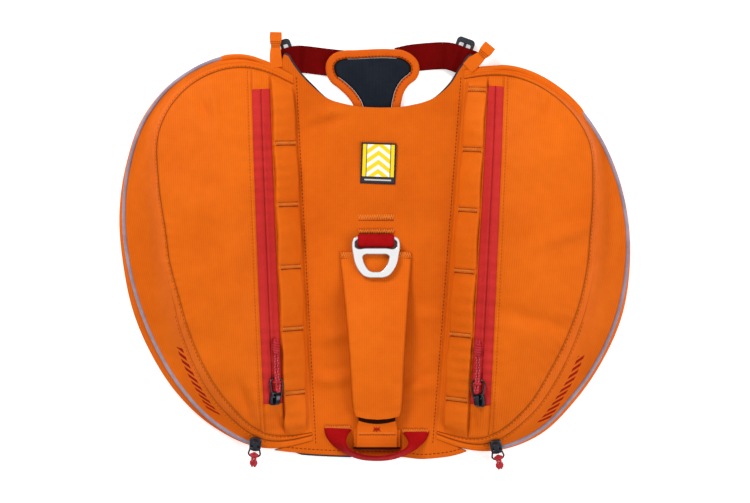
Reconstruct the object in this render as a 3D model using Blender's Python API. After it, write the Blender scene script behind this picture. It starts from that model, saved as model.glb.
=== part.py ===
"""A small dog's saddle pack, laid flat: two filled saddlebags on a padded centre panel.

The neck end points to +Y, the tail end to -Y, and the outside of the pack to +Z. Sizes are in
millimetres in this file and become metres when a mesh is made. Each bag is worked out in its own
plan, u outwards from the seam that joins it to the centre panel and v forwards along that seam.
"""

import math

import bpy
import numpy as np
from mathutils import Matrix, Vector
from mathutils.geometry import delaunay_2d_cdt

MM = 0.001

# Cloth and the gaps that keep neighbours apart
CLOTH = 1.4
WEBBING = 1.4
SEAM = 0.15
GAP = 0.3

# The stack of layers at the middle of the pack
LINING_TOP = 5.8
PANEL_TOP = 7.7
BACK_WALL = 3.0

# How a bag swells
RISE_WIDTH = 62.0
PEAK = 47.0
DOME_POWER = 3.0
PIPING_RADIUS = 1.6
PIPING_LOW = 8.0
PIPING_SWELL = 3.0
GUSSET_HOLLOW = 1.5
LEAN_STEP = 3.0

# How the panels are divided into rows and columns
FACE_ROWS = 23
STRIP_COLUMNS = 3
ZIP_COLUMNS = 2
GARAGE_ROWS = 3
END_ANGLE = 0.3
EDGE_STEP = 0.2
WEB_LIFT = 1.9
LOOP_SWELL = 1.3
TAPE_DEPTH = 0.35
TAPE_THICK = 1.2
MOUTH_LIFTS = (1.5, 1.3, 0.5)

# The shoulders ride over the sliders of the chest strap
SHOULDER_LIFT = 5.7
SHOULDER_FULL = 15.0
SHOULDER_FADE = 28.0
TOP_SHARE = 0.4
LEFT_SLIDER = (-63.4, 135.2)
RIGHT_SLIDER = (60.8, 136.8)
LEFT_SLIDER_TURN = 17.0
RIGHT_SLIDER_TURN = -20.0

ORANGE = ((0.80, 0.18, 0.01), 0.62, 0.0)
RED = ((0.55, 0.02, 0.03), 0.62, 0.0)
DARK_RED = ((0.23, 0.0, 0.0), 0.7, 0.0)
SLATE = ((0.02, 0.03, 0.045), 0.8, 0.0)
BLACK = ((0.01, 0.012, 0.016), 0.3, 0.0)
SILVER = ((0.75, 0.76, 0.79), 0.28, 1.0)
REFLECTIVE = ((0.45, 0.44, 0.52), 0.4, 0.2)
YELLOW = ((0.85, 0.68, 0.02), 0.6, 0.0)

# Distances from the bag's pole: a row for each ray, turned outwards from straight ahead.
SECTION_COLUMNS = ("angle", "outline", "piping", "zip_seam", "face_edge", "edge_height")
LEFT_SECTIONS = (
    (0, 129.8, 128.2, 125.0, 122.2, 8),
    (15, 151.5, 149.9, 145.5, 141.5, 12),
    (30, 156.0, 154.4, 149.8, 145.8, 20),
    (45, 152.3, 150.0, 141.5, 136.5, 29),
    (60, 142.7, 140.0, 119.0, 114.6, 36),
    (75, 134.9, 131.2, 104.0, 99.8, 39),
    (90, 129.4, 125.0, 98.3, 94.2, 40),
    (105, 128.6, 122.6, 97.2, 92.4, 40),
    (120, 130.2, 124.2, 102.8, 96.6, 38),
    (135, 134.6, 129.4, 112.4, 105.4, 33),
    (150, 139.5, 136.2, 125.2, 117.8, 25),
    (165, 141.8, 140.2, 135.6, 130.6, 15),
    (180, 134.0, 132.4, 129.8, 127.4, 8),
)
RIGHT_SECTIONS = (
    (0, 133.8, 132.2, 129.0, 126.4, 8),
    (15, 143.2, 141.6, 138.4, 135.6, 12),
    (30, 143.4, 141.8, 138.6, 135.8, 20),
    (45, 138.6, 136.9, 132.6, 128.8, 29),
    (60, 133.6, 131.8, 117.4, 112.2, 36),
    (75, 130.4, 128.6, 107.6, 101.0, 39),
    (90, 129.4, 126.9, 102.8, 97.2, 40),
    (105, 131.0, 127.4, 103.2, 97.3, 40),
    (120, 133.2, 129.8, 107.8, 100.7, 38),
    (135, 138.0, 134.4, 116.8, 108.5, 33),
    (150, 144.6, 141.4, 129.2, 122.2, 25),
    (165, 143.6, 142.0, 138.0, 133.0, 15),
    (180, 133.0, 131.4, 129.0, 126.6, 8),
)

# The rim of a bag's back wall, from the floor up to the piping
# Columns: inset, height share, thickness, turn
RIM = (
    (8.0, 0.00, 3.0, 90),
    (3.4, 0.05, 2.4, 62),
    (0.8, 0.32, 1.8, 25),
    (0.0, 0.62, 1.5, 0),
)
RIM_TOP_DROP = 2.0
RIM_TOP_TURN = -45

# Folds in a bag's cloth: where, which way they run, and how long, wide and high they are
# Columns: u, v, turn, length, width, height
LEFT_FOLDS = (
    (57, 112, 8, 13, 3.0, 1.3),
    (66, 110, 20, 12, 3.0, -1.2),
    (38, -108, 4, 15, 3.6, 1.5),
    (47, -101, 14, 16, 3.4, -1.3),
    (109, 8, 3, 42, 6.5, -1.8),
    (70, 40, 62, 40, 16.0, 1.6),
    (72, -60, 118, 36, 13.0, -1.3),
)
RIGHT_FOLDS = (
    (52, 118, -4, 12, 3.0, 1.3),
    (62, 113, 12, 12, 3.2, -1.2),
    (40, -104, -8, 15, 3.6, 1.4),
    (84, 22, 66, 30, 5.0, 1.4),
    (66, -42, 100, 34, 6.0, -1.4),
    (108, 30, -4, 40, 6.0, -1.6),
    (60, 52, 80, 36, 14.0, -1.2),
)

# The centre panel's edges
NECKLINE = (
    (-65.4, 140.3), (-62.9, 139.6), (-60.0, 135.1), (-54.1, 126.9), (-45.1, 117.6),
    (-34.5, 109.2), (-20.0, 104.6), (4.0, 102.3), (24.0, 103.7), (42.5, 109.4),
    (53.6, 118.4), (62.8, 132.2), (69.6, 139.5), (72.2, 137.6),
)
HEM = (
    (-72.4, -143.9), (-61.2, -145.2), (-44.6, -146.6), (-21.6, -147.6), (4.0, -148.2),
    (21.6, -149.0), (32.4, -150.2), (43.2, -149.6), (54.0, -148.2), (62.4, -146.0),
    (66.0, -144.6),
)
LINING_OVERHANG = 1.7
BAG_CLEAR = 0.5
SEAM_STEPS = 24

# Where the centre panel reaches round each end of a bag, as angles of the bag's own table
LEFT_WING = (171.5, 174.5, 177.5)
LEFT_HORN = (2.0, 4.0)
RIGHT_WING = (174.0, 176.0, 178.0)
RIGHT_HORN = (2.4, 4.4)

# Folds in the centre panel, in the pack's own X and Y
CENTRE_FOLDS = (
    (-33.0, 99.0, 70, 16, 4.0, 1.1),
    (-34.0, -93.0, 88, 15, 4.5, 1.5),
    (36.0, -98.0, 82, 15, 4.5, 1.5),
    (-33.0, -62.0, 84, 14, 5.0, 1.0),
    (38.0, -48.0, 96, 14, 5.5, 0.9),
    (2.0, 40.0, 90, 34, 16.0, 0.9),
)

# The chest pad's two edges, from its front to the end of its neck
PAD_LEFT = (
    (-14.4, 143.8), (-23.8, 143.3), (-31.0, 140.4), (-34.9, 135.2), (-35.4, 128.4),
    (-32.4, 121.4), (-25.6, 115.8), (-19.6, 110.0), (-15.4, 103.6), (-13.8, 94.0),
    (-13.4, 60.0), (-13.2, 0.0), (-13.0, -83.2),
)
PAD_RIGHT = (
    (12.2, 144.5), (19.8, 143.8), (26.6, 140.4), (31.2, 135.0), (32.0, 128.6),
    (29.6, 122.8), (24.4, 118.6), (21.0, 113.6), (19.2, 107.6), (17.4, 94.0),
    (16.6, 60.0), (16.2, 0.0), (16.0, -83.2),
)
BINDING_WIDTH = 6.3
PAD_THICK = 5.0
NECK_THICK = 3.3
PAD_THINS_FROM = 118.0
PAD_THINS_TO = 102.0
PAD_STEPS = 48

# The chest straps' middle lines, from under the pad to past the slider
LEFT_STRAP = (
    (-20.0, 133.6), (-30.0, 134.6), (-40.0, 135.8), (-50.0, 137.0), (-54.5, 137.2),
    (-58.8, 136.6), (-63.4, 135.2), (-68.0, 133.8), (-72.6, 132.2),
)
RIGHT_STRAP = (
    (16.0, 135.8), (26.0, 138.0), (34.0, 138.9), (43.0, 139.6), (48.0, 139.8),
    (52.0, 139.5), (56.2, 138.5), (60.8, 136.8), (65.4, 135.1), (71.6, 132.8),
)
STRAP_WIDTH = 19.6
STRAP_CLEAR = 0.2
STRAP_STEPS = 24

SLIDER_LONG = 26.0
SLIDER_SHORT = 13.4
SLIDER_BAR = 2.2
SLIDER_LOW = 1.9
SLIDER_HIGH = 4.1
SLIDER_BAR_THICK = 1.2

# The girth strap crosses under the pack
GIRTH_Y = -98.0
GIRTH_WIDTH = 25.0
GIRTH_THICK = 1.2
GIRTH_END = 112.0
GIRTH_RISE = 1.35
GIRTH_RISES_AT = 46.0
GIRTH_RAMP = 6.0
BUCKLE_X = 26.0
BUCKLE_SIZE = (27.0, 25.4, 4.2)
KEEPER_X = 0.5
KEEPER_WIDTH = 20.0

# The handle's padded sleeve: a row for each section from front to rear
# Columns: y, middle, half width, underside, thickness
HANDLE = (
    (-1.4, 0.4, 25.7, 8.05, 1.8),
    (-6.0, 0.4, 25.6, 8.05, 2.0),
    (-12.0, 0.6, 25.2, 8.1, 2.4),
    (-22.0, 0.8, 24.2, 8.8, 3.4),
    (-34.0, 1.0, 23.2, 11.4, 5.2),
    (-50.0, 1.2, 21.9, 14.0, 6.0),
    (-72.0, 1.4, 20.2, 15.2, 6.2),
    (-95.0, 1.6, 19.0, 13.8, 6.2),
    (-110.0, 1.7, 18.2, 11.6, 6.2),
    (-117.0, 1.8, 17.6, 10.6, 6.0),
    (-121.0, 1.8, 16.6, 10.2, 5.8),
)
HANDLE_HOLLOW_FROM = 3
HANDLE_TAB = (
    (-106.0, 14.2, 26.5), (-116.0, 13.0, 26.5), (-122.0, 12.4, 26.5), (-128.0, 10.4, 29.0),
    (-134.0, 9.8, 29.5), (-143.0, 9.8, 29.5),
)
HANDLE_WALL = 1.4

# The leash ring hangs from its webbing on a bar along X
RING_PIVOT = (0.7, 8.2, 11.9)
RING_TILT = 6.0
RING_THICK = 3.0
RING_EDGE = 0.5

# The red loop at the tail: its outer edge, its inner edge, and how far the inner edge stands up
# Columns: outer x and y, inner x and y, rise
LOOP = (
    (-36.6, -128.5, -16.8, -129.5, 0.0),
    (-35.0, -134.0, -19.6, -132.8, 8.0),
    (-30.6, -139.4, -20.6, -136.8, 13.5),
    (-21.6, -145.0, -17.6, -142.2, 16.5),
    (-13.0, -148.8, -10.8, -145.4, 17.0),
    (-0.2, -150.5, 0.0, -146.8, 17.0),
    (13.0, -149.4, 11.0, -145.8, 17.0),
    (21.6, -146.4, 18.8, -143.2, 16.5),
    (31.0, -141.4, 23.6, -138.6, 14.0),
    (36.4, -136.6, 22.8, -135.0, 8.0),
    (38.9, -131.3, 20.0, -131.4, 0.0),
)
LOOP_LOW = 8.25

# How far the finished pack is moved, so that the middle of its bounding box stands at the origin
CENTRING = (0.1, 0.6)

LABEL_AT = (2.4, 62.2)
LABEL_SIZE = (25.3, 29.6)
LABEL_THICK = 0.8
LABEL_LIFT = 1.3
LABEL_EDGE = 0.25

# Zip sliders: the body, the side view of the arched bridge, and the bar that the pull hinges on
SLIDER_BODY = (8.4, 9.6, 2.6)
BRIDGE = (
    (-3.4, 2.0), (-3.3, 4.6), (-2.6, 5.8), (-1.2, 6.1),
    (2.4, 6.1), (3.6, 5.7), (4.1, 4.6), (4.2, 2.0),
)
BRIDGE_WIDTH = 3.0
BRIDGE_THICK = 0.9
BAR_Y = 2.2
BAR_Z = 4.6
BAIL_WIRE = 0.65

# A pull's cord. Columns: along the pull, height (off the cloth, for the pocket), half width, half height
POCKET_CORD = (
    (3.2, 4.6, 1.3, 0.8),
    (5.5, 4.3, 2.0, 1.0),
    (9.5, 3.0, 2.2, 1.0),
    (13.2, 1.9, 2.3, 1.0),
    (16.5, 1.2, 2.3, 1.0),
    (20.0, 0.4, 2.3, 1.0),
    (28.5, 0.4, 2.2, 1.0),
    (31.0, 0.3, 3.0, 1.9),
    (36.0, 0.3, 3.0, 1.9),
    (39.5, 0.4, 2.5, 1.6),
    (41.0, 0.9, 1.2, 0.8),
)
POCKET_BAIL = (13.2, 3.4, 4.9, 0.5)
MAIN_CORD = (
    (3.0, 0.5, 1.2, 0.8),
    (4.6, 1.1, 1.9, 1.0),
    (6.0, 1.7, 2.1, 1.0),
    (8.0, 2.1, 2.1, 1.0),
    (9.8, 1.4, 2.1, 1.0),
    (12.2, -0.2, 3.2, 2.2),
    (14.8, -1.0, 3.3, 2.3),
    (17.2, -1.8, 1.6, 1.2),
)
MAIN_BAIL = (8.0, 3.4, 4.3)
MAIN_DROOP = 14.0
MAIN_SLOPE = 22.0
MAIN_SLIDER_Z = 11.8

# The lining is sewn from a back piece and two shoulder pieces, which meet along these lines
LINING_SEAM_Y = 100.5
LINING_SEAM_X = 4.0
LINING_FOOT = 2.0

# Grooves under the lining and the pad, so that straps and hardware lie below them
NECK_GROOVE_SIZE = (38.0, 205.0)
NECK_GROOVE_AT = (1.6, 17.5)
GROOVE_ROOM = 0.8
KEEPER_GROOVE_TOP = 4.6

# Shoulder tabs: folded back on themselves past a share of their length
TAB_LOW = 7.2
TAB_DROOP = 1.3
TAB_THICK = 1.2
TAB_DOUBLED = 2.1
TAB_DOUBLED_FROM = 0.6
TAB_STEPS = 10

# The keeper at the end of the pad's neck: half heights and widths beyond the strap, inside and out
KEEPER_INNER = (0.5, 1.05, 2.85)
KEEPER_OUTER = (1.9, 0.0, 3.95)

# The eye of webbing round the ring's bar: half its length, and its outer and inner half sizes
EYE_HALF_LENGTH = 13.1
EYE_OVALS = ((5.5, 3.75), (4.1, 2.35))
EYE_OFFSET = (-1.0, -0.1)
EYE_SIDES = 16

# The patch under the handle's tab
ANCHOR_X = 1.3
ANCHOR_Y = (-129.0, -133.0, -138.0, -142.6)
ANCHOR_WIDTH = 33.6
ANCHOR_LOW = 8.05
ANCHOR_HIGH = 9.45
TAB_X = 1.4
HANDLE_SIDES = 16
HANDLE_CROWN = 0.5
HANDLE_SIDE_POWER = 0.25
HANDLE_TOP_POWER = 0.8


def new_material(name, colour, roughness, metallic):
    """A plain finish in the piece's own colour."""
    material = bpy.data.materials.new(name)
    material.use_nodes = True
    shader = material.node_tree.nodes["Principled BSDF"]
    shader.inputs["Base Color"].default_value = (*colour, 1.0)
    shader.inputs["Roughness"].default_value = roughness
    shader.inputs["Metallic"].default_value = metallic
    return material


def smooth_values(knots, values, at):
    """A smooth curve through evenly spaced knots, read at the given places (Catmull-Rom)."""
    knots, values = np.asarray(knots, float), np.asarray(values, float)
    slopes = np.gradient(values, knots)
    place = np.clip(np.searchsorted(knots, at, side="right") - 1, 0, len(knots) - 2)
    span = knots[place + 1] - knots[place]
    s = np.clip((np.asarray(at, float) - knots[place]) / span, 0.0, 1.0)
    return (
        values[place] * (2 * s**3 - 3 * s**2 + 1)
        + slopes[place] * span * (s**3 - 2 * s**2 + s)
        + values[place + 1] * (3 * s**2 - 2 * s**3)
        + slopes[place + 1] * span * (s**3 - s**2)
    )


def smooth_line(points, count):
    """A smooth curve through points of any dimension, as count places evenly spaced along it."""
    points = np.asarray(points, float)
    steps = np.linalg.norm(np.diff(points, axis=0), axis=1)
    knots = np.concatenate([[0.0], np.cumsum(steps)])
    fine = np.linspace(0.0, knots[-1], 40 * len(points))
    dense = np.stack([smooth_values(knots, column, fine) for column in points.T], axis=1)
    run = np.concatenate([[0.0], np.cumsum(np.linalg.norm(np.diff(dense, axis=0), axis=1))])
    want = np.linspace(0.0, run[-1], count)
    return np.stack([np.interp(want, run, column) for column in dense.T], axis=1)


def ease(x):
    """0 below 0, 1 above 1, and a smooth rise between."""
    x = np.clip(x, 0.0, 1.0)
    return x * x * (3 - 2 * x)


def shoulder_lift(x, y):
    """How far the cloth is lifted off the floor over the two chest strap sliders."""
    lift = np.zeros_like(np.asarray(x, float))
    for centre in (LEFT_SLIDER, RIGHT_SLIDER):
        away = np.hypot(x - centre[0], y - centre[1])
        lift = np.maximum(lift, SHOULDER_LIFT * ease(1 - (away - SHOULDER_FULL) / SHOULDER_FADE))
    return lift


def fold_height(folds, x, y):
    """The sum of soft ridges and troughs, each a bell across its width and along its length."""
    height = np.zeros_like(np.asarray(x, float))
    for fold_x, fold_y, turn, length, width, rise in folds:
        angle = math.radians(turn)
        along = (x - fold_x) * math.sin(angle) + (y - fold_y) * math.cos(angle)
        across = (x - fold_x) * math.cos(angle) - (y - fold_y) * math.sin(angle)
        height += rise * np.exp(-((along / length) ** 2) - (across / width) ** 2)
    return height


def object_from(name, points, faces, look, matrix=None):
    """A closed mesh object from points in millimetres, its faces turned to point outwards."""
    points = np.asarray(points, float)
    volume = 0.0
    for face in faces:
        for b, c in zip(face[1:-1], face[2:]):
            volume += np.dot(points[face[0]], np.cross(points[b], points[c]))
    if volume < 0:
        faces = [tuple(reversed(face)) for face in faces]
    mesh = bpy.data.meshes.new(name)
    mesh.from_pydata((points * MM).tolist(), [], [tuple(int(i) for i in face) for face in faces])
    mesh.update()
    mesh.shade_smooth()
    mesh.set_sharp_from_angle(angle=math.radians(35))
    mesh.materials.append(LOOKS[look])
    made = bpy.data.objects.new(name, mesh)
    bpy.context.scene.collection.objects.link(made)
    if matrix is not None:
        made.matrix_world = matrix
    return made


def quads(index):
    """The faces of a grid of point numbers."""
    rows = zip(
        index[:-1, :-1].ravel(), index[1:, :-1].ravel(), index[1:, 1:].ravel(), index[:-1, 1:].ravel()
    )
    return [tuple(row) for row in rows]


def wall(name, outer, inner, look):
    """Cloth between two grids of the same size, closed along its four edges."""
    rows, columns = outer.shape[:2]
    points = np.concatenate([outer.reshape(-1, 3), inner.reshape(-1, 3)])
    top = np.arange(rows * columns).reshape(rows, columns)
    under = top + rows * columns
    faces = quads(top) + quads(under[:, ::-1])
    edges = (
        (top[0, ::-1], under[0, ::-1]), (top[-1], under[-1]),
        (top[:, 0], under[:, 0]), (top[::-1, -1], under[::-1, -1]),
    )
    for upper, lower in edges:
        faces += quads(np.stack([upper, lower]))
    return object_from(name, points, faces, look)


def loft(name, rings, look, closed=False, matrix=None):
    """A solid through rings of points; its two ends are capped unless it closes on itself."""
    count, sides = rings.shape[:2]
    index = np.arange(count * sides).reshape(count, sides)
    round_index = np.concatenate([index, index[:, :1]], axis=1)
    if closed:
        round_index = np.concatenate([round_index, round_index[:1]], axis=0)
    faces = quads(round_index)
    if not closed:
        faces += [tuple(index[0]), tuple(index[-1, ::-1])]
    return object_from(name, rings.reshape(-1, 3), faces, look, matrix)


def across_line(line):
    """Unit directions to the left of a plan line."""
    run = np.gradient(np.asarray(line, float)[:, :2], axis=0)
    run /= np.linalg.norm(run, axis=1, keepdims=True)
    return np.stack([-run[:, 1], run[:, 0]], axis=1)


def flat_band(line, width, low, high):
    """Rings of a flat strip of webbing along a plan line, between two heights."""
    side = across_line(line) * (width / 2)
    low = np.broadcast_to(low, len(line))
    high = np.broadcast_to(high, len(line))
    left, right = line + side, line - side
    corners = ((left, low), (right, low), (right, high), (left, high))
    return np.stack([np.column_stack([plan, z]) for plan, z in corners], axis=1)


def tube_rings(path, radius, sides, closed=False):
    """Rings round a path in space, kept from twisting by an upright reference."""
    path = np.asarray(path, float)
    run = (np.roll(path, -1, 0) - np.roll(path, 1, 0)) if closed else np.gradient(path, axis=0)
    run /= np.linalg.norm(run, axis=1, keepdims=True)
    side = np.cross(run, (0.0, 0.0, 1.0))
    side /= np.linalg.norm(side, axis=1, keepdims=True)
    up = np.cross(side, run)
    turn = np.arange(sides) * 2 * math.pi / sides
    radius = np.broadcast_to(radius, len(path))[:, None, None]
    ring = side[:, None, :] * np.cos(turn)[:, None] + up[:, None, :] * np.sin(turn)[:, None]
    return path[:, None, :] + ring * radius


def block(name, size, centre, look, round_off=0.0, matrix=None):
    """A box, with rounded edges if asked."""
    half = np.array(size) / 2
    corners = [
        np.array(centre) + half * (sx, sy, sz)
        for sz in (-1, 1) for sx, sy in ((-1, -1), (1, -1), (1, 1), (-1, 1))
    ]
    faces = [(0, 3, 2, 1), (4, 5, 6, 7), (0, 1, 5, 4), (1, 2, 6, 5), (2, 3, 7, 6), (3, 0, 4, 7)]
    made = object_from(name, corners, faces, look, matrix)
    if round_off:
        bevel = made.modifiers.new("rounded", "BEVEL")
        bevel.width = round_off * MM
        bevel.segments = 1
    return made


def hidden_tool(tool):
    """Marks an object that only cuts others, so that it isn't a piece of the pack."""
    tool.hide_render = True
    tool.display_type = "WIRE"
    return tool


def cut(piece, tool):
    """Takes a tool's shape out of a piece."""
    modifier = piece.modifiers.new(tool.name, "BOOLEAN")
    modifier.operation = "DIFFERENCE"
    modifier.object = tool
    modifier.solver = "EXACT"


def plate(name, outlines, thickness, look, matrix=None):
    """A flat plate from an outer outline and its holes, with softened edges, middle at z 0."""
    curve = bpy.data.curves.new(name, "CURVE")
    curve.dimensions = "2D"
    curve.fill_mode = "BOTH"
    curve.extrude = (thickness / 2 - RING_EDGE) * MM
    curve.bevel_depth = RING_EDGE * MM
    curve.bevel_resolution = 0
    curve.offset = -RING_EDGE * MM
    for outline in outlines:
        spline = curve.splines.new("POLY")
        spline.points.add(len(outline) - 1)
        for point, (x, y) in zip(spline.points, outline):
            point.co = (x * MM, y * MM, 0.0, 1.0)
        spline.use_cyclic_u = True
    curve.materials.append(LOOKS[look])
    made = bpy.data.objects.new(name, curve)
    bpy.context.scene.collection.objects.link(made)
    if matrix is not None:
        made.matrix_world = matrix
    return made


def frame_at(origin, along, up):
    """A placing whose Y runs along a direction and whose Z is as near to up as it can be."""
    along = np.asarray(along, float) / np.linalg.norm(along)
    across = np.cross(along, up)
    across /= np.linalg.norm(across)
    normal = np.cross(across, along)
    matrix = Matrix.Identity(4)
    for row in range(3):
        matrix[row][0] = across[row]
        matrix[row][1] = along[row]
        matrix[row][2] = normal[row]
        matrix[row][3] = origin[row] * MM
    return matrix


class Bag:
    """One saddlebag: its plan lines, its swelling and the panels cut from it."""

    def __init__(
        self, side_name, side, pole, tilt, sections, folds, zip_lines, web_lines, zip_ends,
        tacks, pocket_slider, pocket_lean, main_slider, main_way,
    ):
        self.side_name = side_name
        self.side = side
        self.pole = np.array(pole)
        angle = math.radians(tilt)
        self.forward = np.array([side * math.sin(angle), math.cos(angle)])
        self.outward = np.array([side * math.cos(angle), -math.sin(angle)])
        self.sections = dict(zip(SECTION_COLUMNS, np.array(sections, float).T))
        self.folds = folds
        self.zip_lines = zip_lines
        self.web_lines = web_lines
        self.zip_ends = zip_ends
        self.tacks = tacks
        self.pocket_slider = pocket_slider
        self.pocket_lean = pocket_lean
        self.main_slider = main_slider
        self.main_way = main_way
        self.set_stations()

    def name(self, piece):
        """A piece's name with the bag's side."""
        return f"{piece}_{self.side_name}"

    def column(self, column, angle):
        """A distance or height of the sections table at any angle in degrees."""
        return smooth_values(self.sections["angle"], self.sections[column], angle)

    def place(self, u, v, z):
        """Plan places and heights as points of the pack."""
        u, v, z = np.broadcast_arrays(np.asarray(u, float), v, z)
        plan = self.pole + u[..., None] * self.outward + v[..., None] * self.forward
        return np.concatenate([plan, z[..., None]], axis=-1)

    def base(self, u, v):
        """The height of the seam with the centre panel, lifted at the shoulder."""
        plan = self.place(u, v, 0.0)
        return PANEL_TOP + TOP_SHARE * shoulder_lift(plan[..., 0], plan[..., 1])

    def piping_height(self, angle, base):
        """The height of the middle of the piping."""
        swell = PIPING_LOW - PANEL_TOP + PIPING_SWELL * np.sin(np.radians(angle))
        return base + swell

    def height(self, u, v):
        """The outside of the bag: a dome out to the face edge, then the hollow slope of the gusset."""
        u, v = np.asarray(u, float), np.asarray(v, float)
        radius = np.hypot(u, v)
        angle = np.degrees(np.arctan2(np.maximum(u, 0.0), v))
        face = self.column("face_edge", angle)
        piping = self.column("piping", angle)
        edge = self.column("edge_height", angle)
        base = self.base(u, v)
        share = radius / face
        dome = edge + (PEAK - edge) * (1 - share**DOME_POWER)
        rise = 1 - (1 - np.clip(u / RISE_WIDTH, 0, 1)) ** 2
        inside = base + (dome - PANEL_TOP) * rise
        edge_u = face * np.sin(np.radians(angle))
        edge_rise = 1 - (1 - np.clip(edge_u / RISE_WIDTH, 0, 1)) ** 2
        edge_z = base + (edge - PANEL_TOP) * edge_rise
        low = self.piping_height(angle, base)
        slope = 1 - np.clip((radius - face) / (piping - face), 0, 1)
        outside = low + (edge_z - low) * slope**GUSSET_HOLLOW
        fade = ease(u / 12.0) * ease((piping - radius) / 10.0)
        return np.where(share <= 1, inside, outside) + fold_height(self.folds, u, v) * fade

    def outwards(self, u, v):
        """The way out of the cloth, averaged over a few millimetres so that walls never cross."""
        step = LEAN_STEP
        slope_u = (self.height(u + step, v) - self.height(u - step, v)) / (2 * step)
        slope_v = (self.height(u, v + step) - self.height(u, v - step)) / (2 * step)
        plan = -slope_u[..., None] * self.outward - slope_v[..., None] * self.forward
        way = np.concatenate([plan, np.ones_like(slope_u)[..., None]], axis=-1)
        return way / np.linalg.norm(way, axis=-1, keepdims=True)

    def ring_line(self, column, shift, angles):
        """Plan places along a line of the sections table, moved out by a shift."""
        radius = self.column(column, angles) + shift
        turn = np.radians(angles)
        return np.stack([radius * np.sin(turn), radius * np.cos(turn)], axis=1)

    def angle_at(self, column, u, rear):
        """The angle at which a line of the table is u away from the seam, at the front or rear."""
        low, high = (180.0, 95.0) if rear else (0.0, 85.0)
        for _ in range(40):
            middle = (low + high) / 2
            here = float(self.column(column, middle)) * math.sin(math.radians(middle))
            low, high = (middle, high) if here < u else (low, middle)
        return (low + high) / 2

    def along_at(self, u, rear):
        """How far along the seam the face edge lies, at a distance from the seam."""
        angle = self.angle_at("face_edge", u, rear)
        return float(self.column("face_edge", angle)) * math.cos(math.radians(angle))

    def set_stations(self):
        """Places the points that neighbouring panels share along their seams."""
        near, far = self.zip_lines
        front = [self.angle_at("face_edge", ends[0], False) for ends in (near, far)]
        rear = [self.angle_at("face_edge", ends[1], True) for ends in (near, far)]
        self.strip_front = np.linspace(END_ANGLE, front[0], STRIP_COLUMNS + 1)
        self.zip_front = np.linspace(front[0], front[1], ZIP_COLUMNS + 1)
        self.zip_rear = np.linspace(rear[1], rear[0], ZIP_COLUMNS + 1)
        self.strip_rear = np.linspace(rear[0], 180 - END_ANGLE, STRIP_COLUMNS + 1)
        fine = np.linspace(front[1], rear[1], 400)
        line = self.ring_line("zip_seam", 0.0, fine)
        run = np.concatenate([[0], np.cumsum(np.linalg.norm(np.diff(line, axis=0), axis=1))])
        self.face_stations = np.interp(np.linspace(0, run[-1], FACE_ROWS), run, fine)
        self.stations = np.concatenate([
            self.strip_front[:-1], self.zip_front[:-1], self.face_stations,
            self.zip_rear[1:], self.strip_rear[1:],
        ])
        rear_end = self.along_at(near[1], True)
        mouth = np.linspace(self.zip_ends[1], rear_end, GARAGE_ROWS + 1)[1:-1]
        tape = np.linspace(self.zip_ends[0], self.zip_ends[1], FACE_ROWS - 1 - GARAGE_ROWS)
        self.rows = np.concatenate([tape, mouth])

    def edge_of(self, ends, shift, angles):
        """A panel's edge beside the zip: both ends on the curved seam, and the shared rows between."""
        first, last = self.ring_line("face_edge", -SEAM, np.array(angles, float))
        inner = np.stack([self.lane(ends, self.rows) + shift, self.rows], axis=1)
        return np.concatenate([[first + (shift, 0)], inner, [last + (shift, 0)]])

    def lane(self, ends, v):
        """A straight line beside the seam, from its distance at the front to that at the rear."""
        return ends[0] + (ends[1] - ends[0]) * (120.0 - v) / 240.0

    def between(self, line_a, line_b, columns):
        """Plan places of a panel between two lines with as many points each."""
        share = np.linspace(0, 1, columns + 1)[None, :, None]
        return line_a[:, None, :] * (1 - share) + line_b[:, None, :] * share

    def panel(self, name, plan, look, lift=0.0, thickness=CLOTH):
        """A wall of cloth on the bag's outside, lifted off it if asked."""
        u, v = plan[..., 0], plan[..., 1]
        way = self.outwards(u, v)
        outer = self.place(u, v, self.height(u, v)) + way * np.asarray(lift)[..., None]
        return wall(self.name(name), outer, outer - way * thickness, look)

    def surface_frame(self, u, v, along_uv, lift):
        """A placing on the bag's outside, its Y along a plan direction."""
        u, v = np.array(u, float), np.array(v, float)
        way = self.outwards(u, v)
        origin = self.place(u, v, self.height(u, v)) + way * lift
        plan = along_uv[0] * self.outward + along_uv[1] * self.forward
        along = np.array([*plan, 0.0])
        along -= way * np.dot(along, way)
        return frame_at(origin, along, way)


def face_panel(bag):
    """The broad outer panel, from the pocket zip to the curved seam."""
    ends = (bag.zip_front[-1], bag.zip_rear[0])
    zip_side = bag.edge_of(bag.zip_lines[1], SEAM, ends)
    edge = bag.ring_line("face_edge", -SEAM, bag.face_stations)
    edge[0] += (EDGE_STEP, 0)
    edge[-1] += (EDGE_STEP, 0)
    return bag.panel("face_panel", bag.between(zip_side, edge, 7), "orange")


def zip_flap(bag):
    """The folded band that covers the main zip."""
    angles = bag.stations
    inner = bag.ring_line("face_edge", SEAM, angles)
    outer = bag.ring_line("zip_seam", -SEAM, angles)
    plan = bag.between(inner, outer, 2)
    lift = np.zeros(plan.shape[:2])
    lift[:, 1] = 0.5
    return bag.panel("zip_flap", plan, "orange", lift)


def piped(angles):
    """1 where the piping is sewn in, and 0 at the ends of the gusset, where it isn't."""
    return ease((angles - 7) / 5) * ease((169 - angles) / 5)


def gusset(bag):
    """The side wall from the main zip down to the piping."""
    angles = bag.stations
    top = bag.ring_line("zip_seam", SEAM, angles)
    shift = 1.0 - (PIPING_RADIUS + GAP + 1.0) * piped(angles)
    foot = bag.ring_line("piping", shift, angles)
    return bag.panel("gusset", bag.between(top, foot, 4), "orange")


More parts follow.
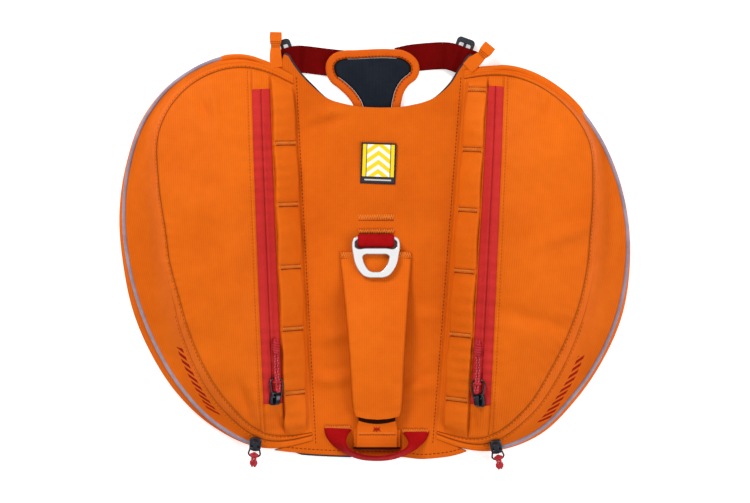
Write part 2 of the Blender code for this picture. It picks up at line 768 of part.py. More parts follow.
def piping(bag):
    """The reflective cord sewn in at the foot of the gusset."""
    angles = np.linspace(12.0, 163.0, 34)
    plan = bag.ring_line("piping", 0.0, angles)
    height = bag.piping_height(angles, bag.base(plan[:, 0], plan[:, 1]))
    path = bag.place(plan[:, 0], plan[:, 1], height)
    return loft(bag.name("piping"), tube_rings(path, PIPING_RADIUS, 6), "reflective")


def back_wall(bag):
    """The wall against the dog: flat on the floor, its rim rolled up to the piping."""
    angles = np.linspace(0.3, 179.7, 28)
    turn = np.radians(angles)
    rim = np.array(RIM, float)
    ends = bag.column("outline", np.array([0.0, 180.0])) - (rim[0, 0] + 4)
    v = np.linspace(ends[0], -ends[1], len(angles))
    seam = np.stack([np.full(len(v), SEAM), v], axis=1)
    outline = bag.column("outline", angles)
    foot = bag.ring_line("outline", -rim[0, 0], angles)
    flat = bag.between(seam, foot, 2)[:, :-1]
    lift = shoulder_lift(*np.moveaxis(bag.place(flat[..., 0], flat[..., 1], 0.0)[..., :2], -1, 0))
    thin = 1 - 0.5 * lift / SHOULDER_LIFT
    lower = [bag.place(flat[:, k, 0], flat[:, k, 1], lift[:, k]) for k in range(flat.shape[1])]
    upper = [points + (0, 0, 1) * (BACK_WALL * thin[:, k])[:, None] for k, points in enumerate(lower)]
    spot = bag.place(*bag.ring_line("piping", 0.0, angles).T, 0.0)
    floor = shoulder_lift(spot[:, 0], spot[:, 1])
    spot_base = PANEL_TOP + TOP_SHARE * floor
    top = bag.piping_height(angles, spot_base) - RIM_TOP_DROP
    profile = [(outline - inset, floor + (top - floor) * share, thick, lean)
               for inset, share, thick, lean in RIM]
    profile.append((bag.column("piping", angles) + 0.2, top, CLOTH, RIM_TOP_TURN))
    for radius, z, thick, lean in profile:
        thick = thick * (1 - 0.5 * floor / SHOULDER_LIFT)
        in_radius = radius - thick * math.cos(math.radians(lean))
        in_z = z + thick * math.sin(math.radians(lean))
        lower.append(bag.place(radius * np.sin(turn), radius * np.cos(turn), z))
        upper.append(bag.place(in_radius * np.sin(turn), in_radius * np.cos(turn), in_z))
    return wall(bag.name("back_wall"), np.stack(lower, axis=1), np.stack(upper, axis=1), "orange")


def inner_strip(bag):
    """The strip between the centre seam and the pocket zip."""
    edge = bag.edge_of(bag.zip_lines[0], -SEAM, (bag.strip_front[-1], bag.strip_rear[0]))
    front = bag.ring_line("face_edge", -SEAM, bag.strip_front[:-1])
    rear = bag.ring_line("face_edge", -SEAM, bag.strip_rear[:0:-1])
    seam_v = np.concatenate([[front[0, 1]], bag.rows, [rear[0, 1]]])
    seam = np.stack([np.full(len(seam_v), SEAM), seam_v], axis=1)
    plan = bag.between(seam, edge, STRIP_COLUMNS)
    plan[0, :-1] = front
    plan[-1, :-1] = rear
    return bag.panel("inner_strip", plan, "orange")


def zip_lane(bag, v):
    """Plan places between the two sides of the pocket zip."""
    low = np.stack([bag.lane(bag.zip_lines[0], v) + SEAM, v], axis=1)
    high = np.stack([bag.lane(bag.zip_lines[1], v) - SEAM, v], axis=1)
    return bag.between(low, high, ZIP_COLUMNS)


def pocket_zip(bag):
    """The red tape of the pocket zip, set a little below the cloth on either side."""
    v = bag.rows[: FACE_ROWS - 1 - GARAGE_ROWS].copy()
    v[0] -= SEAM
    v[-1] += SEAM
    plan = zip_lane(bag, v)
    lift = np.full(plan.shape[:2], -TAPE_DEPTH)
    return bag.panel("pocket_zip", plan, "red", lift, TAPE_THICK)


def zip_garage(bag, rear):
    """The cloth that closes the pocket zip at one end; at the rear it swells into a little mouth."""
    angles = bag.zip_rear if rear else bag.zip_front
    end = bag.ring_line("face_edge", -SEAM, angles)[:: -1 if rear else 1]
    end[0, 0] += SEAM
    end[-1, 0] -= SEAM
    v = bag.rows[-GARAGE_ROWS:].copy() if rear else bag.rows[:1].copy()
    v[0] += -SEAM if rear else SEAM
    lane = zip_lane(bag, v)
    plan = np.concatenate([lane, end[None]]) if rear else np.concatenate([end[None], lane])
    lift = np.zeros(plan.shape[:2])
    if rear:
        lift[:GARAGE_ROWS, 1] = MOUTH_LIFTS
    name = "zip_garage_rear" if rear else "zip_garage_front"
    return bag.panel(name, plan, "orange", lift)


def daisy_chain(bag):
    """The webbing with its row of gear loops, held down at each bartack."""
    tacks = bag.tacks
    front = bag.along_at(3.0, False) - 5.0
    rear = bag.along_at(3.0, True) + 3.0
    stops = np.array([front, *tacks, rear])
    v, lift = [], []
    for start, end in zip(stops[:-1], stops[1:]):
        share = np.linspace(0, 1, 6)[:-1]
        v += list(start + (end - start) * share)
        lift += list(WEB_LIFT + LOOP_SWELL * np.sin(math.pi * share) ** 2)
    v.append(rear)
    lift.append(WEB_LIFT)
    v = np.array(v)
    inner = np.stack([bag.lane(bag.web_lines[0], v), v], axis=1)
    outer = np.stack([bag.lane(bag.web_lines[1], v), v], axis=1)
    plan = bag.between(inner, outer, 2)
    lifts = np.repeat(np.array(lift)[:, None], 3, axis=1)
    return bag.panel("daisy_chain", plan, "orange", lifts, WEBBING)


def zip_slider(name, matrix):
    """A zip slider: its body, and the arched bridge that holds the pull."""
    body = block(name, SLIDER_BODY, (0, 0, GAP + SLIDER_BODY[2] / 2), "black", 0.7, matrix)
    line = np.array(BRIDGE)
    side = across_line(line) * (BRIDGE_THICK / 2)
    half = BRIDGE_WIDTH / 2
    corners = ((-half, side), (half, side), (half, -side), (-half, -side))
    rings = [np.column_stack([np.full(len(line), x), line + shift]) for x, shift in corners]
    bridge = loft(name + "_bridge", np.stack(rings, axis=1), "black", matrix=matrix)
    join = body.modifiers.new("bridge", "BOOLEAN")
    join.operation = "UNION"
    join.object = hidden_tool(bridge)
    join.solver = "EXACT"


def bail(name, matrix, length, near_half, far_half, droop):
    """The wire loop of a zip pull, round the bar that it hinges on, which is its own X axis."""
    fall = math.tan(math.radians(droop))
    turn = np.linspace(-90, 90, 7)[1:-1]
    far = [
        (far_half * math.sin(math.radians(-a)), length - far_half * (1 - math.cos(math.radians(a))) * 0.8)
        for a in turn
    ]
    plan = [(-near_half + 0.8, 0), (near_half - 0.8, 0), (near_half, 0.9), (far_half, length * 0.62)]
    plan += far
    plan += [(-far_half, length * 0.62), (-near_half, 0.9)]
    plan = np.array(plan)
    path = np.column_stack([plan, -plan[:, 1] * fall])
    return loft(name, tube_rings(path, BAIL_WIRE, 6, closed=True), "black", closed=True, matrix=matrix)


def pull_cord(name, matrix, rows):
    """The doubled cord and knot of a zip pull, as one smooth solid."""
    turn = np.arange(8) * 2 * math.pi / 8
    rings = [
        np.column_stack([half_width * np.cos(turn), np.full(8, along), z + half_height * np.sin(turn)])
        for along, z, half_width, half_height in rows
    ]
    return loft(name, np.array(rings), "red", matrix=matrix)


def cloth_under(bag, frame, along):
    """The height of the cloth in a hinge's own frame, at a distance along its pull."""
    z = 0.0
    for _ in range(6):
        point = np.array(frame @ Vector((0, along * MM, z * MM))) / MM
        plan = point[:2] - bag.pole
        height = float(bag.height(plan @ bag.outward, plan @ bag.forward))
        z -= (point[2] - height) / frame[2][2]
    return z


def place_pull(bag, which, hinge, bail_size, droop, cord_rows):
    """A pull on its slider: an empty on the hinge, with the bail and the cord under it."""
    empty = bpy.data.objects.new(bag.name(f"{which}_pull_hinge"), None)
    bpy.context.scene.collection.objects.link(empty)
    empty.matrix_world = hinge
    loop = bail(bag.name(f"{which}_bail"), hinge, *bail_size, droop)
    cord = pull_cord(bag.name(f"{which}_pull_cord"), hinge, cord_rows)
    bpy.context.view_layer.update()
    for piece in (loop, cord):
        world = piece.matrix_world.copy()
        piece.parent = empty
        piece.matrix_world = world


def pocket_closure(bag):
    """The pocket zip's slider and pull, at the rear end of the tape."""
    u, v = bag.pocket_slider
    frame = bag.surface_frame(u, v, (bag.pocket_lean, 1.0), -TAPE_DEPTH)
    zip_slider(bag.name("pocket_slider"), frame)
    hinge = frame @ Matrix.Translation((0, BAR_Y * MM, BAR_Z * MM))
    length, near_half, far_half, off_cloth = POCKET_BAIL
    low = cloth_under(bag, hinge, length) + off_cloth + BAIL_WIRE
    droop = math.degrees(math.atan2(-low, length))
    rows = [
        (along, cloth_under(bag, hinge, along) + off + half_height, half_width, half_height)
        for along, off, half_width, half_height in POCKET_CORD
    ]
    place_pull(bag, "pocket", hinge, (length, near_half, far_half), droop, rows)


def main_closure(bag):
    """The main zip's slider and pull, past the rear end of the gusset."""
    u, v = bag.main_slider
    origin = bag.place(u, v, MAIN_SLIDER_Z)
    plan = bag.main_way[0] * bag.outward + bag.main_way[1] * bag.forward
    slope = math.tan(math.radians(MAIN_SLOPE))
    along = np.array([*plan, -slope * np.linalg.norm(plan)])
    frame = frame_at(origin, along, (0, 0, 1))
    zip_slider(bag.name("main_slider"), frame)
    hinge = frame @ Matrix.Translation((0, BAR_Y * MM, BAR_Z * MM))
    fall = math.tan(math.radians(MAIN_DROOP))
    rows = [(along, z - along * fall, *half) for along, z, *half in MAIN_CORD]
    place_pull(bag, "main", hinge, MAIN_BAIL, MAIN_DROOP, rows)


def build_bag(bag):
    """Every piece of one saddlebag."""
    back = back_wall(bag)
    gusset(bag)
    zip_flap(bag)
    face_panel(bag)
    inner_strip(bag)
    pocket_zip(bag)
    zip_garage(bag, False)
    zip_garage(bag, True)
    daisy_chain(bag)
    piping(bag)
    pocket_closure(bag)
    main_closure(bag)
    return back


def centre_side(bag, wing_angles, horn_angles):
    """One side of the centre panel: round the bag's rear end, up the seam, round its front end."""
    rear_stop = -float(bag.column("outline", 180.0)) - BAG_CLEAR
    front_stop = float(bag.column("outline", 0.0)) + BAG_CLEAR
    wing = bag.ring_line("outline", BAG_CLEAR, np.array(wing_angles, float))
    seam_v = np.linspace(rear_stop, front_stop, SEAM_STEPS)
    seam = np.stack([np.full(SEAM_STEPS, -SEAM), seam_v], axis=1)
    horn = bag.ring_line("outline", BAG_CLEAR, np.array(horn_angles, float))
    plan = np.concatenate([wing, seam, horn])
    return bag.place(plan[:, 0], plan[:, 1], 0.0)[:, :2]


def centre_outline(left_bag, right_bag, grow):
    """The plan outline of the centre panel, or of the lining, which grows past it at both ends."""
    neck = smooth_line(NECKLINE, 24)
    hem = smooth_line(HEM, 14)
    neck = neck + across_line(neck) * grow
    hem = hem - across_line(hem) * grow
    left = centre_side(left_bag, LEFT_WING, LEFT_HORN)
    right = centre_side(right_bag, RIGHT_WING, RIGHT_HORN)
    return np.concatenate([left, neck, right[::-1], hem[::-1]])


def inside_outline(outline, x, y):
    """Whether plan places lie inside a closed outline, by counting the edges that they cross."""
    inside = np.zeros(x.shape, bool)
    for (ax, ay), (bx, by) in zip(outline, np.roll(outline, -1, axis=0)):
        if ay != by:
            crosses = (ay > y) != (by > y)
            inside ^= crosses & (x < ax + (y - ay) * (bx - ax) / (by - ay))
    return inside


def edge_distance(outline, x, y):
    """The distance from plan places to the nearest edge of a closed outline."""
    nearest = np.full(x.shape, np.inf)
    for a, b in zip(outline, np.roll(outline, -1, axis=0)):
        run = b - a
        share = ((x - a[0]) * run[0] + (y - a[1]) * run[1]) / max(run @ run, 1e-9)
        share = np.clip(share, 0, 1)
        nearest = np.minimum(nearest, np.hypot(x - a[0] - share * run[0], y - a[1] - share * run[1]))
    return nearest


def cushion(name, outline, spacing, upper, lower, look):
    """A flat piece of any outline, between two heights that are worked out from its plan."""
    low, high = outline.min(axis=0), outline.max(axis=0)
    x, y = np.meshgrid(np.arange(low[0], high[0], spacing), np.arange(low[1], high[1], spacing))
    x = (x + np.where(np.arange(len(x)) % 2, spacing / 2, 0)[:, None]).ravel()
    y = y.ravel()
    keep = inside_outline(outline, x, y)
    keep &= edge_distance(outline, x, y) > 0.6 * spacing
    plan = np.concatenate([outline, np.stack([x, y], axis=1)[keep]])
    edges = [(k, (k + 1) % len(outline)) for k in range(len(outline))]
    made = delaunay_2d_cdt([Vector(place) for place in plan], edges, [], 1, 1e-4)
    plan = np.array([tuple(place) for place in made[0]])
    top = [tuple(face) for face in made[2]]
    x, y = plan.T
    points = np.concatenate([np.column_stack([x, y, f(x, y)]) for f in (upper, lower)])
    count = len(plan)
    used = {pair for face in top for pair in zip(face, face[1:] + face[:1])}
    rim = [(b, a, a + count, b + count) for a, b in used if (b, a) not in used]
    under = [tuple(k + count for k in reversed(face)) for face in top]
    return object_from(name, points, top + under + sorted(rim), look)


def centre_panel(left_bag, right_bag):
    """The orange panel along the dog's back."""
    outline = centre_outline(left_bag, right_bag, 0.0)

    def upper(x, y):
        fade = ease(edge_distance(outline, x, y) / 9.0)
        return PANEL_TOP + TOP_SHARE * shoulder_lift(x, y) + fold_height(CENTRE_FOLDS, x, y) * fade

    def lower(x, y):
        return upper(x, y) - CLOTH

    return cushion("centre_panel", outline, 10.5, upper, lower, "orange")


def lining(left_bag, right_bag):
    """The padded lining under the centre panel: a back piece and two shoulder pieces, grooved below."""
    outline = centre_outline(left_bag, right_bag, LINING_OVERHANG)

    def upper(x, y):
        return LINING_TOP + TOP_SHARE * shoulder_lift(x, y)

    tools = lining_tools()
    pieces = (
        ("lining", ("past_shoulder_seam", "neck_groove", "strap_groove", "keeper_groove", "buckle_groove")),
        ("lining_shoulder_left", ("behind_shoulder_seam", "right_of_neck_seam", "neck_groove")),
        ("lining_shoulder_right", ("behind_shoulder_seam", "left_of_neck_seam", "neck_groove")),
    )
    for name, used in pieces:
        made = cushion(name, outline, 12.0, upper, shoulder_lift, "slate")
        for tool in used:
            cut(made, tools[tool])


def lining_tools():
    """Blocks for the grooves under the lining, and large ones that end its pieces at their seams."""
    neck_top = NECK_THICK + 0.25 + GAP
    strap_top = GIRTH_RISE + GIRTH_THICK + GAP
    long = GIRTH_WIDTH + GROOVE_ROOM
    keeper = (KEEPER_WIDTH + GROOVE_ROOM, GIRTH_WIDTH + 5.2)
    buckle = (BUCKLE_SIZE[0] + GROOVE_ROOM, BUCKLE_SIZE[1] + 1.4)
    all_of_it = LINING_TOP + 2 * SHOULDER_LIFT
    far = 400.0
    beside = (far - GAP) / 2
    shapes = (
        ("neck_groove", NECK_GROOVE_SIZE, NECK_GROOVE_AT, neck_top),
        ("strap_groove", (150.0, long), (0.0, GIRTH_Y), strap_top),
        ("keeper_groove", keeper, (KEEPER_X, GIRTH_Y), KEEPER_GROOVE_TOP),
        ("buckle_groove", buckle, (BUCKLE_X, GIRTH_Y), KEEPER_GROOVE_TOP),
        ("past_shoulder_seam", (far, far), (0.0, LINING_SEAM_Y + beside), all_of_it),
        ("behind_shoulder_seam", (far, far), (0.0, LINING_SEAM_Y - beside), all_of_it),
        ("right_of_neck_seam", (far, far), (LINING_SEAM_X + beside, 0.0), all_of_it),
        ("left_of_neck_seam", (far, far), (LINING_SEAM_X - beside, 0.0), all_of_it),
    )
    tools = {}
    for name, size, centre, top in shapes:
        middle = (*centre, (top - LINING_FOOT) / 2)
        tools[name] = hidden_tool(block(name, (*size, top + LINING_FOOT), middle, "slate"))
    return tools


def pad_outline(count):
    """The chest pad's outer edge, from the end of its neck round its front and back."""
    left = np.array(PAD_LEFT)[::-1]
    return smooth_line(np.concatenate([left, np.array(PAD_RIGHT)]), count)


def pad_height(y, full, neck):
    """The pad's thickness, which falls where it runs under the centre panel."""
    return neck + (full - neck) * ease((y - PAD_THINS_TO) / (PAD_THINS_FROM - PAD_THINS_TO))


def chest_pad():
    """The slate pad that lies on the dog's chest, inside its binding."""
    outline = pad_outline(PAD_STEPS)
    inner = outline - across_line(outline) * (BINDING_WIDTH + GAP)
    left, right = inner[: PAD_STEPS // 2], inner[: PAD_STEPS // 2 - 1 : -1]
    share = np.linspace(0, 1, 5)[None, :, None]
    plan = left[:, None] * (1 - share) + right[:, None] * share
    thick = pad_height(plan[..., 1], PAD_THICK - 0.6, NECK_THICK - 0.4)
    dome = 0.5 * np.sin(math.pi * share[..., 0]) * np.ones_like(thick)
    upper = np.dstack([plan, thick + dome * (plan[..., 1] > PAD_THINS_FROM)])
    lower = np.dstack([plan, np.zeros_like(thick)])
    return wall("chest_pad", upper, lower, "slate")


def chest_pad_binding():
    """The orange tape bound round the chest pad's edge and down its neck."""
    outline = pad_outline(PAD_STEPS)
    side = across_line(outline)
    thick = pad_height(outline[:, 1], PAD_THICK, NECK_THICK)
    steps = ((0.0, 0.5), (0.0, 0.78), (0.12, 1.0), (0.85, 1.0), (1.0, 0.8), (1.0, 0.0), (0.12, 0.0))
    rings = [
        np.column_stack([outline - side * (BINDING_WIDTH * inwards), thick * up])
        for inwards, up in steps
    ]
    return loft("chest_pad_binding", np.stack(rings, axis=1), "orange")


def chest_strap(name, points, slider):
    """A red chest strap, on the floor except where it climbs over its slider's middle bar."""
    dense = smooth_line(points, 8 * STRAP_STEPS + 1)
    away = np.hypot(*(dense - slider).T)
    number = np.arange(len(dense))
    keep = (number % 8 == 0) | ((away < SLIDER_SHORT / 2) & (number % 2 == 0))
    over = SLIDER_LOW + SLIDER_BAR_THICK + GAP
    climb = ease(1 - (away[keep] - SLIDER_BAR / 2 - GAP) / 2.4)
    low = STRAP_CLEAR + (over - STRAP_CLEAR) * climb
    return loft(name, flat_band(dense[keep], STRAP_WIDTH, low, low + WEBBING), "dark_red")


def pad_groove(side_name, points):
    """The shape of the groove in the pad's underside that a chest strap lies in."""
    line = smooth_line(points, STRAP_STEPS)
    line[0] += 2 * GAP * (line[0] - line[1]) / np.linalg.norm(line[0] - line[1])
    rings = flat_band(line, STRAP_WIDTH + 2 * GAP, -2.0, STRAP_CLEAR + WEBBING + GAP)
    return hidden_tool(loft(f"pad_groove_{side_name}", rings, "red"))


def strap_slider(name, centre, turn):
    """A flat slider: a frame with a bar across its middle, threaded by the chest strap."""
    spin = Matrix.Rotation(math.radians(turn), 4, "Z")
    matrix = Matrix.Translation((centre[0] * MM, centre[1] * MM, 0)) @ spin
    middle = (SLIDER_LOW + SLIDER_HIGH) / 2
    size = (SLIDER_SHORT, SLIDER_LONG, SLIDER_HIGH - SLIDER_LOW)
    body = block(name, size, (0, 0, middle), "black", 0.8, matrix)
    slot = (SLIDER_SHORT - 3 * SLIDER_BAR) / 2
    wide = STRAP_WIDTH + 1.0
    for sign, end in ((-1, "rear"), (1, "front")):
        at = (sign * (slot + SLIDER_BAR) / 2, 0, middle)
        tool = block(f"{name}_slot_{end}", (slot, wide, 12.0), at, "black", matrix=matrix)
        cut(body, hidden_tool(tool))
    at = (0, 0, SLIDER_LOW + SLIDER_BAR_THICK + 4.0)
    over = block(f"{name}_over", (slot + 2 * SLIDER_BAR, wide, 8.0), at, "black", matrix=matrix)
    cut(body, hidden_tool(over))
    return body


def shoulder_tab(name, root, tip, width):
    """A narrow folded pull tab, sewn in where the bag meets the shoulder."""
    line = smooth_line((root, tip), TAB_STEPS)
    share = np.linspace(0, 1, TAB_STEPS)
    low = TAB_LOW - TAB_DROOP * ease(share * 1.4)
    high = low + np.where(share > TAB_DOUBLED_FROM, TAB_DOUBLED, TAB_THICK)
    return loft(name, flat_band(line, width, low, high), "orange")


def girth_strap(name, start_x, end_x):
    """Half of the girth strap, straight across under the pack."""
    near, far = sorted((start_x, end_x), key=abs)
    ramp = math.copysign(1.0, far) * np.linspace(GIRTH_RISES_AT - GIRTH_RAMP, GIRTH_RISES_AT, 5)
    x = np.array(sorted([near, *ramp[np.abs(ramp) > abs(near)], far]))
    line = np.stack([x, np.full(len(x), GIRTH_Y)], axis=1)
    low = GIRTH_RISE * ease((GIRTH_RISES_AT - np.abs(x)) / GIRTH_RAMP)
    return loft(name, flat_band(line, GIRTH_WIDTH, low, low + GIRTH_THICK), "red")


def sternum_keeper():
    """The flat loop at the end of the chest pad's neck, round the girth strap."""
    ovals = []
    for beyond, low, high in (KEEPER_OUTER, KEEPER_INNER):
        half = GIRTH_WIDTH / 2 + beyond
        ovals += [(-half, low), (half, low), (half, high), (-half, high)]
    ends = (KEEPER_X - KEEPER_WIDTH / 2, KEEPER_X + KEEPER_WIDTH / 2)
    loops = [[(x, GIRTH_Y + y, z) for y, z in ovals] for x in ends]
    points = np.array(loops).reshape(-1, 3)
    faces = []
    for k in range(4):
        n = (k + 1) % 4
        faces.append((k, n, n + 8, k + 8))
        faces.append((n + 4, k + 4, k + 12, n + 12))
        faces.append((n, k, k + 4, n + 4))
        faces.append((k + 8, n + 8, n + 12, k + 12))
    return object_from("sternum_keeper", points, faces, "dark_red")


def girth_buckle():
    """The fastened buckle of the girth strap, lying in its groove."""
    size = BUCKLE_SIZE
    return block("girth_buckle", size, (BUCKLE_X, GIRTH_Y, size[2] / 2), "black", 0.8)


def handle_rings(grow_x, grow_z, first):
    """Rings of the handle's sleeve from a row of its table to the last, shrunk for the inside."""
    turn = np.arange(HANDLE_SIDES) * 2 * math.pi / HANDLE_SIDES
    across = np.sign(np.cos(turn)) * np.abs(np.cos(turn)) ** HANDLE_SIDE_POWER
    up = np.sign(np.sin(turn)) * np.abs(np.sin(turn)) ** HANDLE_TOP_POWER
    crown = HANDLE_CROWN * (1 - across**2) * (up > 0)
    rings = []
    for y, middle, half_width, underside, thickness in HANDLE[first:]:
        x = middle + (half_width - grow_x) * across
        z = underside + thickness / 2 + (thickness / 2 - grow_z) * up + crown
        rings.append(np.column_stack([x, np.full(len(x), y), z]))
    return np.array(rings)


def handle_sleeve():
    """The handle: a flat padded sleeve, sewn shut at the front and open at the rear."""
    outside = handle_rings(0.0, 0.0, 0)
    inside = handle_rings(HANDLE_WALL, HANDLE_WALL, HANDLE_HOLLOW_FROM + 1)
    sides = outside.shape[1]
    outer = np.arange(len(outside) * sides).reshape(len(outside), sides)
    inner = outer.size + np.arange(len(inside) * sides).reshape(len(inside), sides)
    outer_round = np.concatenate([outer, outer[:, :1]], axis=1)
    inner_round = np.concatenate([inner, inner[:, :1]], axis=1)
    faces = quads(outer_round) + quads(inner_round[::-1])
    faces += [tuple(outer[0]), tuple(inner[0, ::-1])]
    faces += quads(np.stack([outer_round[-1], inner_round[-1]]))
    points = np.concatenate([outside.reshape(-1, 3), inside.reshape(-1, 3)])
    return object_from("handle_sleeve", points, faces, "orange")


def handle_tab():
    """The webbing that comes out of the sleeve and runs down to the tail loop."""
    y, low, width = np.array(HANDLE_TAB, float).T
    line = np.stack([np.full(len(y), TAB_X), y], axis=1)
    return loft("handle_tab", flat_band(line, width[:, None], low, low + WEBBING), "orange")


def handle_anchor():
    """The wider patch under the tab that ties it to the hem."""
    line = np.array([(ANCHOR_X, y) for y in ANCHOR_Y])
    return loft("handle_anchor", flat_band(line, ANCHOR_WIDTH, ANCHOR_LOW, ANCHOR_HIGH), "orange")


def rear_loop():
    """The red webbing loop at the tail: flat where it is sewn, standing on edge behind the tab."""
    rows = smooth_line(LOOP, 26)
    outer = np.column_stack([rows[:, 0], rows[:, 1], np.full(len(rows), LOOP_LOW)])
    inner = np.column_stack([rows[:, 2], rows[:, 3], LOOP_LOW + rows[:, 4]])
    width = inner - outer
    width /= np.linalg.norm(width, axis=1, keepdims=True)
    run = np.gradient((outer + inner) / 2, axis=0)
    normal = np.cross(run, width)
    normal /= np.linalg.norm(normal, axis=1, keepdims=True)
    thick = normal * WEBBING
    rings = np.stack([outer, inner, inner + thick, outer + thick], axis=1)
    return loft("rear_loop", rings, "red")


def ring_webbing():
    """The red webbing that holds the leash ring: an oval eye along X."""
    turn = np.arange(EYE_SIDES) * 2 * math.pi / EYE_SIDES
    across = np.sign(np.cos(turn)) * np.abs(np.cos(turn)) ** 0.85
    up = np.sign(np.sin(turn)) * np.abs(np.sin(turn)) ** 0.75
    x0, y0, z0 = RING_PIVOT[0], RING_PIVOT[1] + EYE_OFFSET[0], RING_PIVOT[2] + EYE_OFFSET[1]
    rings = []
    for half_y, half_z in EYE_OVALS:
        for x in (x0 - EYE_HALF_LENGTH, x0 + EYE_HALF_LENGTH):
            rings.append(np.column_stack([np.full(EYE_SIDES, x), y0 + half_y * across, z0 + half_z * up]))
    points = np.array(rings)
    index = np.arange(4 * EYE_SIDES).reshape(4, EYE_SIDES)
    index = np.concatenate([index, index[:, :1]], axis=1)
    faces = quads(index[[0, 1]]) + quads(index[[3, 2]])
    faces += quads(index[[1, 3]]) + quads(index[[2, 0]])
    return object_from("ring_webbing", points.reshape(-1, 3), faces, "red")


def leash_ring():
    """The flat metal ring: a bar for the webbing, a slot, and a hole for the leash."""
    outer_right = ((0.0, 1.4), (13.4, 1.4), (15.6, 0.4), (17.1, -2.6), (17.3, -5.4), (16.5, -11.4),
                   (15.0, -18.2), (11.7, -24.2), (8.6, -27.2), (5.6, -28.2))
    outer = list(outer_right) + [(-x, y) for x, y in reversed(outer_right[1:])]
    slot = ((-13.9, -1.4), (-14.9, -2.6), (-14.9, -5.9), (-13.9, -7.1), (13.9, -7.1), (14.9, -5.9),
            (14.9, -2.6), (13.9, -1.4))
    hole_right = ((0.0, -11.5), (7.8, -11.7), (9.4, -12.8), (9.2, -15.0), (7.0, -20.4), (4.6, -23.2),
                  (2.6, -24.0))
    hole = list(hole_right) + [(-x, y) for x, y in reversed(hole_right[1:])]
    matrix = Matrix.Translation([c * MM for c in RING_PIVOT]) @ Matrix.Rotation(
        math.radians(-RING_TILT), 4, "X"
    )
    return plate("leash_ring", (outer, slot, hole), RING_THICK, "silver", matrix)


def label_patch():
    """The bare woven patch on the centre panel."""
    size = (*LABEL_SIZE, LABEL_THICK)
    top = PANEL_TOP + LABEL_LIFT + LABEL_THICK / 2
    return block("label_patch", size, (*LABEL_AT, top), "yellow", LABEL_EDGE)


def main():
    """Builds every piece of the pack."""
    left = Bag(
        "left", -1, (-51.8, -3.6), 3.05, LEFT_SECTIONS, LEFT_FOLDS,
        zip_lines=((16.7, 19.4), (29.9, 33.6)), web_lines=((1.2, 4.6), (16.2, 19.6)),
        zip_ends=(119.0, -106.6), tacks=(80.6, 36.8, -7.9, -52.0, -97.6),
        pocket_slider=(25.6, -101.0), pocket_lean=0.02, main_slider=(41.0, -132.6), main_way=(0.16, -1.0),
    )
    right = Bag(
        "right", 1, (54.0, -3.6), 4.4, RIGHT_SECTIONS, RIGHT_FOLDS,
        zip_lines=((17.3, 22.2), (28.9, 36.9)), web_lines=((3.6, 5.6), (17.0, 21.6)),
        zip_ends=(121.0, -107.0), tacks=(119.6, 76.4, 33.2, -10.6, -56.2, -102.2),
        pocket_slider=(29.0, -101.4), pocket_lean=-0.02, main_slider=(43.0, -133.6), main_way=(0.28, -1.0),
    )
    groove_size = (2 * GIRTH_END + 2, GIRTH_WIDTH + GROOVE_ROOM, 2 * LINING_FOOT)
    groove_at = (0, GIRTH_Y, GIRTH_THICK + GAP - LINING_FOOT)
    groove = hidden_tool(block("back_wall_groove", groove_size, groove_at, "red"))
    for bag in (left, right):
        cut(build_bag(bag), groove)
    centre_panel(left, right)
    lining(left, right)
    pad_tools = [pad_groove("left", LEFT_STRAP), pad_groove("right", RIGHT_STRAP)]
    for piece in (chest_pad(), chest_pad_binding()):
        for tool in pad_tools:
            cut(piece, tool)
    chest_strap("chest_strap_left", LEFT_STRAP, LEFT_SLIDER)
    chest_strap("chest_strap_right", RIGHT_STRAP, RIGHT_SLIDER)
    strap_slider("strap_slider_left", LEFT_SLIDER, LEFT_SLIDER_TURN)
    strap_slider("strap_slider_right", RIGHT_SLIDER, RIGHT_SLIDER_TURN)
    shoulder_tab("shoulder_tab_left", (-71.6, 135.0), (-71.2, 156.4), 8.2)
    shoulder_tab("shoulder_tab_right", (76.2, 136.2), (82.6, 146.6), 8.4)
    girth_strap("girth_strap_left", -GIRTH_END, BUCKLE_X - BUCKLE_SIZE[0] / 2 - GAP)
    girth_strap("girth_strap_right", BUCKLE_X + BUCKLE_SIZE[0] / 2 + GAP, GIRTH_END)
    sternum_keeper()
    girth_buckle()
    handle_sleeve()
    handle_tab()
    handle_anchor()
    rear_loop()
    ring_webbing()
    leash_ring()
    label_patch()
    moved = Matrix.Translation((CENTRING[0] * MM, CENTRING[1] * MM, 0))
    for made in bpy.data.objects:
        if made.parent is None:
            made.matrix_world = moved @ made.matrix_world


for old in list(bpy.data.objects):
    bpy.data.objects.remove(old)
LOOKS = {
    name: new_material(name, *look)
    for name, look in (
        ("orange", ORANGE), ("red", RED), ("dark_red", DARK_RED),
        ("slate", SLATE), ("black", BLACK), ("silver", SILVER), ("reflective", REFLECTIVE),
        ("yellow", YELLOW),
    )
}
main()
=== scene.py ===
"""The looks of a small dog's saddle pack, laid flat and seen from straight above.

The cloth is worked out again from the same plan tables as the solids, but finely: every panel is a
grid on one height field, its edges rolled in at the seams, with sewing, zip teeth and weave added.
Sizes are in millimetres here and become metres when a mesh is made.
"""

import logging
import math
from dataclasses import dataclass, field
from enum import Enum

import bpy
import numpy as np
from mathutils import Matrix, Vector
from mathutils.geometry import delaunay_2d_cdt


